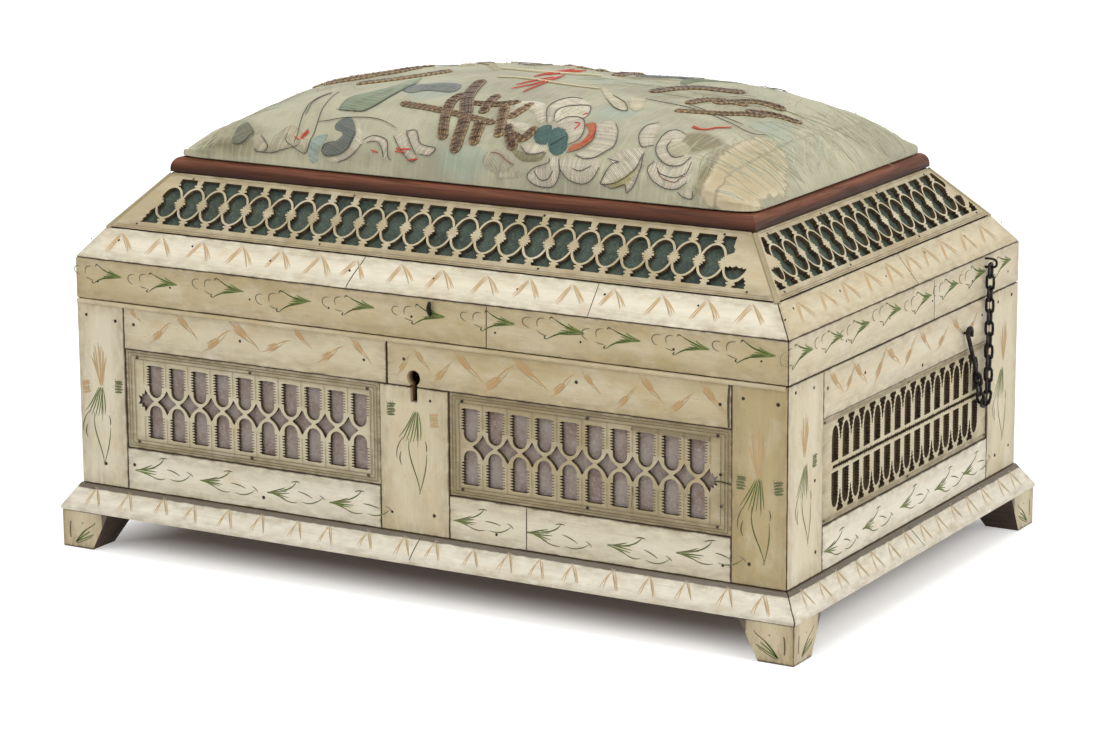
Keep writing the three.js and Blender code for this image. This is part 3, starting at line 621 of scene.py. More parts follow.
@dataclass(frozen=True)
class WornSilk(Finish):
    """Ribbed silk, faded pale green. The colour "wash" is one share each for bare cream, soil, teal and fading."""

    name: str = "worn pale green silk"
    green: str = "#bcb99c"
    grey: str = "#a3a088"
    cream: str = "#d2c6a6"
    frayed: str = "#a08f6d"
    soil: str = "#857d5c"
    teal: str = "#a5ad98"
    faded: str = "#cdc5a6"
    strand: str = "#d2cbae"
    stain: str = "#9f9272"
    rib: float = 0.55

    def paint(self, tree: NodeTree, shader: Node) -> None:
        """Layers fading, stains, washes, the bare corner and the ribs of the weave."""
        place = add(tree, "TexCoord").outputs["Object"]
        # Floss lies across the rail that it was drawn under, so the map "weave" turns at the ends.
        weave = add(tree, "UVMap", uv_map="weave")
        wash = add(tree, "Attribute", attribute_name="wash")
        bare, soil, teal = add(tree, "SeparateColor", {0: wash.outputs["Color"]}).outputs
        floss = patches(tree, weave, (1, 16, 1), 0.0, 1.0)
        blot = patches(tree, place, (0.013, 0.013, 0.013), 0.0, 1.0)
        ragged = patches(tree, place, (0.0024, 0.0024, 0.0024), 0.0, 1.0)
        share = {}
        for name, amount, grain, low, high in (
                ("teal", teal, blot, 0.85, 1.35), ("faded", wash.outputs["Alpha"], floss, 0.8, 1.3),
                ("soil", soil, blot, 0.8, 1.25), ("frayed", bare, ragged, 0.86, 0.98),
                ("bare", bare, ragged, 0.94, 1.1), ("yellowed", bare, blot, 1.0, 1.6)):
            mixed = add(tree, "Math", {0: amount, 1: grain}, operation="ADD")
            share[name] = add(tree, "MapRange", {0: mixed, 1: low, 2: high})
        colour = layered(tree, srgb(self.green), [
            (self.grey, patches(tree, place, (0.033, 0.033, 0.033), 0.4, 0.62)),
            (self.stain, patches(tree, place, (0.011, 0.011, 0.011), 0.54, 0.74, 0.6)),
            (self.teal, share["teal"]), (self.faded, share["faded"]), (self.soil, share["soil"]),
            (self.strand, add(tree, "MapRange", {0: floss, 1: 0.5, 2: 0.78, 4: 0.6})),
            ("#827c60", patches(tree, weave, (0.5, 9, 1), 0.55, 0.8, 0.45)),
            ("#6f6a52", patches(tree, weave, (0.35, 0.3, 1), 0.58, 0.75, 0.4)),
            (self.frayed, share["frayed"]), (self.cream, share["bare"]), ("#bfae88", share["yellowed"])])
        ribs = add(tree, "TexWave", {"Vector": weave, "Scale": 0.314 / self.rib, "Distortion": 0.8,
                                               "Detail": 2.0, "Detail Scale": 1.5}, bands_direction="X").outputs[1]
        fine = patches(tree, weave, (0.32, 0.32, 1), 0.0, 1.0)
        height = add(tree, "Math", {0: ribs, 1: 0.3, 2: floss}, operation="MULTIPLY_ADD")
        height = add(tree, "Math", {0: fine, 1: 0.5, 2: height}, operation="MULTIPLY_ADD")
        bump = add(tree, "Bump", {"Height": height, "Distance": 0.4 * MM, "Strength": 0.7})
        feed(tree, shader, {"Base Color": colour, "Normal": bump, "Roughness": 0.7, "Sheen Weight": 0.12,
                            "Sheen Roughness": 0.5})


@dataclass(frozen=True)
class Thread(Finish):
    """Silk or metal thread. The colour "dye" is each stitch's own, and "stroke" runs along and across it."""

    name: str
    fineness: float = 7.0
    metallic: float = 0.0
    roughness: float = 0.5
    relief: float = 0.25
    twist: float = 0.0
    # Painted shade and painted highlight of the strands, as shares of the dye.
    deep: float = 0.84
    bright: float = 1.12

    def paint(self, tree: NodeTree, shader: Node) -> None:
        """Draws the strands of the thread, which wind round it if it is twisted, with painted highlight and shade along
        them.
        """
        dye = add(tree, "Attribute", attribute_name="dye").outputs["Color"]
        stroke = add(tree, "UVMap", uv_map="stroke")
        lay = add(tree, "Mapping", {"Vector": stroke, "Scale": (1.2, self.fineness, 1)})
        strands = add(tree, "TexNoise", {"Vector": lay, "Scale": 1.0, "Detail": 3.0})
        if self.twist:
            wound = add(tree, "Mapping", {"Vector": stroke, "Scale": (1 / self.twist, 1, 1)})
            along = add(tree, "SeparateXYZ", {0: wound}).outputs
            phase = add(tree, "Math", {0: along[0], 1: along[1]}, operation="ADD")
            strands = add(tree, "Math", {0: phase, 1: 1.0}, operation="PINGPONG")
        # The strands' painted highlight and shade scale the dye.
        painted_strand_light = add(tree, "MapRange", {0: strands, 1: 0.3, 2: 0.7, 3: self.deep, 4: self.bright})
        colour = add(tree, "VectorMath", {0: dye, 3: painted_strand_light}, operation="SCALE")
        bump = add(tree, "Bump", {"Height": strands, "Distance": self.relief * MM, "Strength": 0.7})
        feed(tree, shader, {"Base Color": colour, "Normal": bump, "Roughness": self.roughness,
                            "Metallic": self.metallic, "Sheen Weight": 0.15})


@dataclass(frozen=True)
class PlainFloor(Finish):
    """The pale table: matt white that keeps the box's shadow, has painted shade under the box, and meets the white
    backdrop.
    """

    name: str = "pale table"
    glow: float = 0.5
    # Half the length and half the depth of the patch under the box where the glow is cut, as painted shade.
    shaded_halves: Point = HALVES

    def paint(self, tree: NodeTree, shader: Node) -> None:
        """Adds a little light that only the camera and reflections see, with most of it taken away under the box, which
        paints shade there.
        """
        rays = add(tree, "LightPath")
        seen = add(tree, "Math", {0: rays.outputs["Is Camera Ray"], 1: rays.outputs["Is Glossy Ray"]},
                   operation="MAXIMUM")
        # The glow fades out under the box and some 10 mm round it. This is painted shade that darkens the box's contact
        # shadow.
        place = add(tree, "TexCoord").outputs["Object"]
        sides = add(tree, "SeparateXYZ", {0: place}).outputs
        away = [add(tree, "Math", {0: add(tree, "Math", {0: sides[i]}, operation="ABSOLUTE"),
                                             1: half * MM}, operation="SUBTRACT")
                for i, half in enumerate(self.shaded_halves)]
        away = add(tree, "Math", {0: away[0], 1: away[1]}, operation="MAXIMUM")
        glow = add(tree, "MapRange", {0: away, 1: -26 * MM, 2: 10 * MM, 3: 0.02, 4: self.glow},
                   interpolation_type="SMOOTHSTEP")
        power = add(tree, "Math", {0: seen, 1: glow}, operation="MULTIPLY")
        feed(tree, shader, {"Emission Strength": power, "Emission Color": srgb("#ffffff"),
                            "Base Color": srgb("#e9e8e6"), "Roughness": 0.95})


BONE = PolishedBone("polished ox bone")
FRET_BONE = PolishedBone("pierced ox bone", pale="#d8ceb0", warm="#b8a77f", aged="#857a5a", wear=1.25, roughness=0.42)
FOOT_BONE = PolishedBone("soiled ox bone", pale="#e6dcbd", warm="#b39a68", aged="#7d6b47", wear=1.0)
# Walls of the piercings: sawn bone, darkened to paint the shade inside the openings.
SHADED_SAWN_BONE = Lining("sawn bone edge", "#54452f", "#33281b", "#7c6b4e")
FOOT_WOOD = Wood("foot wood, dark with age", "#4a3626", "#2a1d14", 6.0, Grain.ALONG_X, 0.75)
STAIN = StainedCut()
IRON = Metal("forged iron, blackened", "#171513", "#3a3631", "#2b1f17", 0.7, 0.45)
PIN = Metal("iron pin head", "#2a241d", "#5a4f40", "#3a2a1c", 0.5, 0.6)
BRASS = Metal("dull brass", "#7c6230", "#b08f4c", "#4d3d22", 0.95, 0.4)
PINE_X = Wood("planed pine, grain along", "#a57d52", "#7a5836", 7.0, Grain.ALONG_X, 0.7)
PINE_Y = Wood("planed pine, grain across", "#a57d52", "#7a5836", 7.0, Grain.ALONG_Y, 0.7)
# Rails: the given heights darken their lower part, as grime and painted shade.
RAIL_X = Wood("waxed hardwood rail, long sides", "#8d5740", "#54301f", 1.6, Grain.ALONG_X, 0.5, (134.9, 138.6))
RAIL_Y = Wood("waxed hardwood rail, short sides", "#8d5740", "#54301f", 1.6, Grain.ALONG_Y, 0.5, (134.9, 138.6))
PAPER = Lining("mauve-grey lining paper", "#a69992", "#8c7469", "#bfb5aa")
BROWN_PAPER = Lining("brown lining paper", "#43311f", "#2c2015", "#5d4a34")
CLOTH = Lining("green-grey lining cloth", "#4a574c", "#353f37", "#687462", 0.9)
SILK = WornSilk()
# Both threads get painted highlight and shade along their strands, and the gilt cord's twist gets strong ones.
SILK_YARN = Thread("silk embroidery yarn", roughness=0.55)
GOLD_CORD = Thread("tarnished gilt cord", metallic=0.3, roughness=0.45, relief=0.6, twist=1.1, deep=0.62, bright=1.35)


# Geometry trees


def tree_with(name: str, inputs: dict[str, str]) -> tuple[GeometryNodeTree, Node]:
    """Starts a geometry tree with a geometry input and output and further named inputs.

    Args:
        name: The tree's name.
        inputs: Names of the further inputs, each with its socket type.

    Returns:
        The tree and its input node.
    """
    tree = bpy.data.node_groups.new(name, "GeometryNodeTree")
    tree.interface.new_socket("Geometry", in_out="INPUT", socket_type="NodeSocketGeometry")
    tree.interface.new_socket("Geometry", in_out="OUTPUT", socket_type="NodeSocketGeometry")
    for label, kind in inputs.items():
        tree.interface.new_socket(label, in_out="INPUT", socket_type=kind)
    return tree, add(tree, "GroupInput")


def placing_tree() -> GeometryNodeTree:
    """Makes the tree that puts one small shape of a collection on each point.

    The points' attributes say which shape, turned how, and of what size.
    """
    tree, given = tree_with("Shapes on points", {"Shapes": "NodeSocketCollection", "Material": "NodeSocketMaterial"})
    shapes = add(tree, "CollectionInfo", {"Collection": given.outputs["Shapes"],
                                                      "Separate Children": True, "Reset Children": True})
    which = add(tree, "InputNamedAttribute", {"Name": "which"}, data_type="INT")
    turn = add(tree, "InputNamedAttribute", {"Name": "turn"}, data_type="FLOAT_VECTOR")
    size = add(tree, "InputNamedAttribute", {"Name": "size"}, data_type="FLOAT")
    turned = add(tree, "EulerToRotation", {0: turn})
    placed = add(tree, "InstanceOnPoints", {
        "Points": given.outputs["Geometry"], "Instance": shapes, "Pick Instance": True,
        "Instance Index": which, "Rotation": turned, "Scale": size})
    real = add(tree, "RealizeInstances", {0: placed})
    dressed = add(tree, "SetMaterial", {"Geometry": real, "Material": given.outputs["Material"]})
    add(tree, "GroupOutput", {0: dressed})
    return tree


def piercing_tree() -> GeometryNodeTree:
    """Makes the tree that cuts rows of holes through a flat plate.

    The base mesh holds the plate's outline and its single holes as loops. Holes repeat at the
    pitch, and a second motif stands between each two of them. The saw wanders a little.
    """
    tree, given = tree_with("Pierced plate", {
        "Hole": "NodeSocketObject", "Between": "NodeSocketObject", "Holes": "NodeSocketInt",
        "Pitch": "NodeSocketFloat", "Thickness": "NodeSocketFloat", "Wander": "NodeSocketFloat",
        "Material": "NodeSocketMaterial"})
    loops = [given.outputs["Geometry"]]
    for motif, fewer in (("Hole", 0), ("Between", 1)):
        count = add(tree, "Math", {0: given.outputs["Holes"], 1: float(fewer)}, operation="SUBTRACT")
        gaps = add(tree, "Math", {0: count, 1: 1.0}, operation="SUBTRACT")
        span = add(tree, "Math", {0: gaps, 1: given.outputs["Pitch"]}, operation="MULTIPLY")
        start = add(tree, "Math", {0: span, 1: -0.5}, operation="MULTIPLY")
        first = add(tree, "CombineXYZ", {0: start})
        step = add(tree, "CombineXYZ", {0: given.outputs["Pitch"]})
        line = add(tree, "MeshLine", {"Count": count, "Start Location": first, "Offset": step})
        shape = add(tree, "ObjectInfo", {"Object": given.outputs[motif]})
        row = add(tree, "InstanceOnPoints", {"Points": line, "Instance": shape.outputs["Geometry"]})
        loops.append(add(tree, "RealizeInstances", {0: row}))
    joined = add(tree, "JoinGeometry", {0: loops})
    noise = add(tree, "TexNoise", {"Scale": 0.33, "Detail": 2.0})
    centred = add(tree, "VectorMath", {0: noise.outputs["Color"], 1: (0.5, 0.5, 0.5)}, operation="SUBTRACT")
    flat = add(tree, "VectorMath", {0: centred, 1: (1.0, 1.0, 0.0)}, operation="MULTIPLY")
    drift = add(tree, "VectorMath", {0: flat, 3: given.outputs["Wander"]}, operation="SCALE")
    sawn = add(tree, "SetPosition", {"Geometry": joined, "Offset": drift})
    curves = add(tree, "MeshToCurve", {0: sawn})
    face = add(tree, "FillCurve", {0: curves})
    down = add(tree, "Math", {0: given.outputs["Thickness"], 1: -1.0}, operation="MULTIPLY")
    depth = add(tree, "CombineXYZ", {2: down})
    walls = add(tree, "ExtrudeMesh", {"Mesh": face, "Offset": depth, "Offset Scale": 1.0, "Individual": False})
    back = add(tree, "FlipFaces", {0: face})
    whole = add(tree, "JoinGeometry", {0: [walls, back]})
    merged = add(tree, "MergeByDistance", {"Geometry": whole, "Distance": 0.001})
    dressed = add(tree, "SetMaterial", {"Geometry": merged, "Material": given.outputs["Material"]})
    add(tree, "GroupOutput", {0: dressed})
    return tree


# Engraved ornament


GREEN, LEAF, DARK, ORANGE, BROWN = "#566f0c", "#3a5206", "#25290c", "#bd8230", "#4a3218"


@dataclass(frozen=True)
class Stroke:
    """One cut of the engraver: a curve through control points, widest in its middle."""

    points: tuple[Point, ...]
    width: float
    colour: str
    strength: float = 0.9
    blunt: float = 0.3

    def at(self, share: float) -> Vector:
        """Gives the point of the curve at a share of its length."""
        row = [Vector(p) for p in self.points]
        while len(row) > 1:
            row = [a.lerp(b, share) for a, b in zip(row, row[1:])]
        return row[0]

    def spine(self, steps: int = 7) -> list[tuple[Vector, Vector, float]]:
        """Gives points along the curve, each with the direction across it and half its width."""
        found = []
        for i in range(steps + 1):
            share = i / steps
            ahead = self.at(min(share + 0.02, 1.0)) - self.at(max(share - 0.02, 0.0))
            across = Vector((-ahead.y, ahead.x)).normalized()
            swell = self.blunt + (1 - self.blunt) * math.sin(math.pi * share) ** 0.8
            found.append((self.at(share), across, self.width / 2 * swell))
        return found


def shaken(rng: random.Random, points: Sequence[Point], by: float) -> tuple[Point, ...]:
    """Moves control points a little, as a hand does."""
    return tuple((x + rng.uniform(-by, by), y + rng.uniform(-by, by)) for x, y in points)


class Motif(Enum):
    """The motifs of the engraved bone, in the order in which their shapes are stored."""

    SPRIG = 0
    BRANCH = 1
    EAR = 2
    TENT = 3
    FAINT_TENT = 4
    PLUME = 5
    SHEAF = 6
    GREEN_HATCH = 7
    ORANGE_HATCH = 8


VARIANTS = 4


# The cuts of each motif in millimetres: control points, how far they are shaken, width, colour and strength.
CUTS: dict[Motif, list[tuple[Sequence[Point], float, float, str, float]]] = {
    # A sprig that points right, with two curled arms and two small arcs behind it.
    Motif.SPRIG: [
        *(([(-9.5 + k * 0.9, (k - 2.5) * 0.85), (-5, (k - 2.5) * 0.5), (0.3, -0.1)],
           0.3, 0.52, (LEAF, GREEN)[k % 2], 0.9) for k in range(6)),
        ([(-2, 0.1), (-7, 0.8), (-10.4, 3.0)], 0.35, 0.5, LEAF, 1.0),
        ([(-10.2, 2.9), (-11.6, 3.9), (-11.9, 2.4)], 0.2, 0.48, DARK, 0.95),
        ([(-3, -0.6), (-8.5, -0.6), (-12.8, -4.0)], 0.35, 0.5, LEAF, 1.0),
        ([(-12.6, -3.9), (-14.1, -4.0), (-12.8, -2.7)], 0.2, 0.5, DARK, 0.95),
        ([(-18.6, 1.9), (-22.6, 2.2), (-22.2, -1.4), (-19.2, -1.5)], 0.3, 0.4, DARK, 0.8),
        ([(-13.4, 2.3), (-17.2, 2.4), (-16.2, -0.8)], 0.3, 0.4, DARK, 0.8),
        ([(-16.4, -2.0), (-14.6, -2.9), (-12.9, -2.8)], 0.3, 0.38, DARK, 0.7)],
    # A looser sprig that points left and trails to the right.
    Motif.BRANCH: [
        *(([(-0.2, 0), (4.5, (k - 2) * 0.5), (9.5 - abs(k - 2), (k - 2) * 1.15)],
           0.3, 0.46, (LEAF, GREEN)[k % 2], 0.9) for k in range(5)),
        ([(0.4, 0.1), (4.6, 0.9), (8.0, 0.9)], 0.2, 0.24, DARK, 0.8),
        ([(5, 0.8), (10.5, 1.6), (12.8, 5.0)], 0.35, 0.46, LEAF, 0.95),
        ([(10.2, 4.4), (12.2, 5.4), (14.2, 4.9)], 0.2, 0.4, DARK, 0.9),
        ([(5, -1.0), (9, -3.4), (12.6, -2.6)], 0.35, 0.42, DARK, 0.75),
        ([(13.4, 1.0), (16.6, 0.8), (19.2, -0.8)], 0.35, 0.42, DARK, 0.85),
        ([(14.6, -2.4), (19.5, -3.8), (23.6, -0.2)], 0.35, 0.42, LEAF, 0.85),
        ([(22.0, 0.6), (23.8, 0.2), (24.6, -1.2)], 0.2, 0.36, DARK, 0.75)],
    # An ear of corn, drawn from left to right.
    Motif.EAR: [
        *(([(0.2 + abs(k) * 0.7, k * 0.5), (4, k * 0.75), (6.4 - abs(k), k * 0.34)], 0.2, 0.55, ORANGE, 0.66)
          for k in (-1.4, -0.5, 0.5, 1.4)),
        ([(4.2, 0.2), (7.2, 0.8), (11.0, 0.1)], 0.3, 0.36, ORANGE, 0.7),
        ([(-1.6, 0.1), (1.6, -0.6), (4.0, -0.2)], 0.3, 0.4, ORANGE, 0.6),
        ([(0.4, -0.9), (3.6, -1.3), (6.8, -0.2), (9.4, 0.0)], 0.3, 0.2, BROWN, 0.5),
        ([(0.6, 1.0), (3.4, 1.2), (5.4, 0.5)], 0.3, 0.18, BROWN, 0.35)],
    # Two hatched legs that meet at the top, one with a dark line along it.
    Motif.TENT: [
        *(([(-4.2 + k * 0.7, -7.6 + abs(k - 1) * 0.6), (-2.4 + k * 0.6, -3.6), (-0.4 + k * 0.4, -0.2 - k * 0.5)],
           0.3, 0.5, ORANGE, 0.5) for k in range(3)),
        *(([(0.5 + k * 0.6, -0.2 - k * 0.4), (2.7 + k * 0.5, -2.6), (5.2 + k * 0.55, -7.2 + k * 0.5)],
           0.3, 0.48, ORANGE, 0.46) for k in range(3)),
        ([(0.2, 0.2), (2.0, -2.2), (3.6, -4.9), (5.0, -7.6)], 0.3, 0.26, BROWN, 0.5)],
    # The same legs, thinner and more worn, as on the plinth.
    Motif.FAINT_TENT: [
        *(([(-2.6 + k * 0.8, -5.8), (-1.8 + k * 0.5, -2.4), (0, 0.2)], 0.35, 0.42, ORANGE, 0.5) for k in range(2)),
        *(([(0.4 + k * 0.6, 0.2), (1.5 + k * 0.5, -2.0), (3.2 + k * 0.5, -5.8)], 0.35, 0.42, ORANGE, 0.46)
          for k in range(2)),
        ([(0.1, 0.6), (0.9, -1.6), (2.6, -4.0), (3.0, -6.2)], 0.3, 0.24, BROWN, 0.62),
        ([(-0.8, 0.9), (0.2, 0.2), (1.3, 0.8)], 0.3, 0.3, BROWN, 0.45)],
    # An upright plume that opens upwards from its foot.
    Motif.PLUME: [
        *(([(k * 0.12, 0), (k * 0.62, 7), (k * 0.95, 15 - abs(k) * 1.8)], 0.4, 0.62, ORANGE, 0.52)
          for k in range(-3, 4)),
        *(([(side * 0.3, 1), (side * 2.4, 8), (side * 1.6, 14)], 0.4, 0.22, BROWN, 0.4) for side in (-1, 1))],
    # A hanging sheaf of leaves with dark stems that meet in a point below.
    Motif.SHEAF: [
        *(([(k * 0.35, 0), (k * 0.9 - 1, -5), (k * 1.5 - 2.8, -11 + abs(k) * 0.5)],
           0.3, 0.5, (LEAF, GREEN)[k % 2], 0.9) for k in range(-3, 4)),
        ([(0.0, 0.4), (1.4, -5.5), (0.4, -12.0)], 0.3, 0.3, DARK, 0.8),
        ([(-2.8, -9), (-4.6, -17), (0.2, -21), (1.0, -28)], 0.3, 0.42, LEAF, 1.0),
        ([(-5.2, -9), (-8.6, -13), (-8.0, -17)], 0.3, 0.4, DARK, 0.85),
        ([(-6.0, -14), (-7.6, -17), (-6.2, -19)], 0.2, 0.5, DARK, 0.85),
        ([(3.6, -14), (4.0, -20), (0.9, -28)], 0.3, 0.4, LEAF, 0.9),
        ([(3.4, -9.5), (4.4, -11.5), (3.8, -13.2)], 0.2, 0.42, DARK, 0.85)],
    # Small blocks of slanting cuts.
    **{motif: [
        *(([(-1.7, -2.4 + k * 0.95), (0, -2.0 + k * 0.95), (1.7, -1.9 + k * 0.95)], 0.25, 0.8, colour, deep)
          for k in range(5)),
        *(([(-1.2 + k * 1.1, -2.6), (-1.4 + k * 1.1, 2.6)], 0.2, 0.3, DARK, deep - 0.2) for k in range(3))]
       for motif, colour, deep in ((Motif.GREEN_HATCH, LEAF, 0.9), (Motif.ORANGE_HATCH, ORANGE, 0.55))},
}


def strokes_of(motif: Motif, rng: random.Random) -> list[Stroke]:
    """Draws one variant of a motif."""
    return [Stroke(shaken(rng, points, by), width, colour, strength)
            for points, by, width, colour, strength in CUTS[motif]]


def stroke_mesh(name: str, strokes: Sequence[Stroke], scale: float = 1.0) -> Mesh:
    """Makes flat ribbons of strokes, with their stain and their map.

    Args:
        name: The mesh's name.
        strokes: The strokes, in millimetres.
        scale: Length of a millimetre in the mesh.

    Returns:
        The mesh, in the XY plane and facing +Z.
    """
    points, faces, inks, maps = [], [], [], []
    for level, stroke in enumerate(strokes):
        first = len(points)
        spine = stroke.spine()
        for i, (middle, across, half) in enumerate(spine):
            for sign in (-1, 1):
                edge = middle + across * sign * half
                points.append((edge.x * scale, edge.y * scale, level * 0.003 * scale))
                inks.append(srgb(stroke.colour, stroke.strength))
                maps.append((i + first * 0.37, sign))
            if i:
                a = first + 2 * i
                faces.append((a - 2, a, a + 1, a - 1))
    mesh = new_mesh(name, points, faces)
    write_attribute(mesh, "ink", "FLOAT_COLOR", inks)
    write_uv(mesh, "stroke", np.array(maps))
    with edited(mesh) as work:
        for face in work.faces:
            if face.normal.z < 0:
                face.normal_flip()
    return mesh


@dataclass
class Placement:
    """One shape at one place: its matrix, its number in the collection and its size."""

    matrix: Matrix
    which: int
    size: float = 1.0


def placed_shapes(name: str, placements: Sequence[Placement], shapes: Collection,
                  finish: Finish, tree: GeometryNodeTree) -> Mesh:
    """Puts shapes on points with the placing tree.

    Args:
        name: Name of the result.
        placements: Where each shape goes.
        shapes: Collection of the shapes, which are drawn in metres.
        finish: Finish of the result.
        tree: The placing tree.

    Returns:
        One plain mesh.
    """
    mesh = new_mesh(name, [p.matrix.to_translation() for p in placements])
    turns = [tuple(p.matrix.to_3x3().normalized().to_euler()) for p in placements]
    write_attribute(mesh, "which", "INT", [p.which for p in placements])
    write_attribute(mesh, "turn", "FLOAT_VECTOR", turns)
    write_attribute(mesh, "size", "FLOAT", [p.size for p in placements])
    return grown(in_scene(name, mesh), tree, {"Shapes": shapes, "Material": finish.material()})


def shape_collection(name: str, meshes: Sequence[Mesh]) -> Collection:
    """Keeps small shapes in a collection outside the scene, in their order."""
    collection = bpy.data.collections.new(name)
    for i, mesh in enumerate(meshes):
        collection.objects.link(bpy.data.objects.new(f"{name}_{i:03d}", mesh))
    return collection


@dataclass
class Ornament:
    """Everything that is cut into or pinned through the bone plates."""

    tree: GeometryNodeTree
    pin_radius: float = 0.62
    line_width: float = 0.26
    lift: float = 0.03
    motifs: dict[str, list[Placement]] = field(default_factory=dict)
    pins: dict[str, list[Placement]] = field(default_factory=dict)
    lines: dict[str, list[tuple[Matrix, Stroke]]] = field(default_factory=dict)
    rng: random.Random = field(default_factory=lambda: random.Random(11))

    def engrave(self, body: str, panel: Panel, motif: Motif, x: float, v: float, turn: float = 0.0,
                size: float = 1.0) -> None:
        """Puts one motif on a panel.

        Args:
            body: The CAD body that the panel belongs to.
            panel: The panel.
            motif: What is engraved.
            x: Place along the side.
            v: Height on the panel.
            turn: Anticlockwise turn in degrees.
            size: Share of the motif's drawn size.
        """
        which = motif.value * VARIANTS + self.rng.randrange(VARIANTS)
        self.motifs.setdefault(body, []).append(Placement(panel.place(x, v, self.lift, turn), which, size))

    def pin(self, body: str, panel: Panel, x: float, v: float, size: float = 1.0) -> None:
        """Drives one pin through a panel."""
        self.pins.setdefault(body, []).append(
            Placement(panel.place(x, v, 0.0), 0, size * self.rng.uniform(0.85, 1.15)))

    def scribe(self, body: str, panel: Panel, points: Sequence[Point], width: float | None = None,
               colour: str = BROWN, strength: float = 0.8) -> None:
        """Cuts one thin line into a panel, through points in millimetres."""
        stroke = Stroke(tuple(points), width or self.line_width, colour, strength, 0.8)
        self.lines.setdefault(body, []).append((panel.place(0, 0, self.lift), stroke))

    def pin_mesh(self) -> Mesh:
        """Makes one low pin head, in metres, that faces +Z."""
        rings = [(1.0, 0.0), (0.85, 0.1), (0.45, 0.17)]
        points = [(self.pin_radius * r * math.cos(a), self.pin_radius * r * math.sin(a), z)
                  for r, z in rings for a in (i * math.pi / 4 for i in range(8))]
        faces = [(k * 8 + i, k * 8 + (i + 1) % 8, k * 8 + 8 + (i + 1) % 8, k * 8 + 8 + i)
                 for k in range(2) for i in range(8)]
        faces.append(tuple(range(16, 24)))
        return new_mesh("pin_head", [(x * MM, y * MM, z * MM) for x, y, z in points], faces)

    def build(self) -> None:
        """Makes one mesh of engraving, one of lines and one of pins for each body."""
        rng = random.Random(5)
        meshes = [stroke_mesh(f"{motif.name.lower()}_{i}", strokes_of(motif, rng), MM)
                  for motif in Motif for i in range(VARIANTS)]
        shapes = shape_collection("engraved_motif", meshes)
        heads = shape_collection("pin", [self.pin_mesh()])
        for name, bodies, drawn, finish, slot in (("engraving", self.motifs, shapes, STAIN, "bone_plate"),
                                                  ("pins", self.pins, heads, PIN, "iron")):
            for body, placements in bodies.items():
                mesh = placed_shapes(f"{body}_{name}", placements, drawn, finish, self.tree)
                finish_piece(f"{body}_{name}", mesh, body)
        for body, lines in self.lines.items():
            self.build_lines(body, lines)

    def build_lines(self, body: str, lines: Sequence[tuple[Matrix, Stroke]]) -> None:
        """Joins the scribed lines of one body into one mesh."""
        joined = bmesh.new()
        for i, (matrix, stroke) in enumerate(lines):
            mesh = stroke_mesh(f"line_{i}", [stroke])
            mesh.transform(matrix)
            joined.from_mesh(mesh)
            bpy.data.meshes.remove(mesh)
        mesh = bpy.data.meshes.new(f"{body}_scribed_lines")
        joined.to_mesh(mesh)
        joined.free()
        finish_piece(f"{body}_scribed_lines", mesh, body, [STAIN])


# Bone plates


# How far a plate has yellowed, where it stands out from the rest.
TONES = {
    "lid_skirt_front": 0.78, "lid_skirt_right": 0.55, "front_stile_right": 1.1, "front_stile_left": 0.15,
    "front_stile_centre": 0.45, "front_top_rail_right": 0.75, "front_top_rail_left": 0.55, "right_top_rail": 0.45,
    "front_bottom_rail_left": -0.75, "front_bottom_rail_right": -0.5, "right_bottom_rail": -0.75,
    "plinth_front": -1.0, "plinth_right": -1.0, "plinth_back": 0.0, "plinth_left": 0.0,
    "lid_moulding_front": -0.45, "lid_moulding_right": 0.55, "front_fret_left": 0.4, "front_fret_right": 0.8,
    "right_fret": 0.6, "left_fret": 0.6, **{f"lid_fret_{side.name.lower()}": 0.7 for side in Side},
}


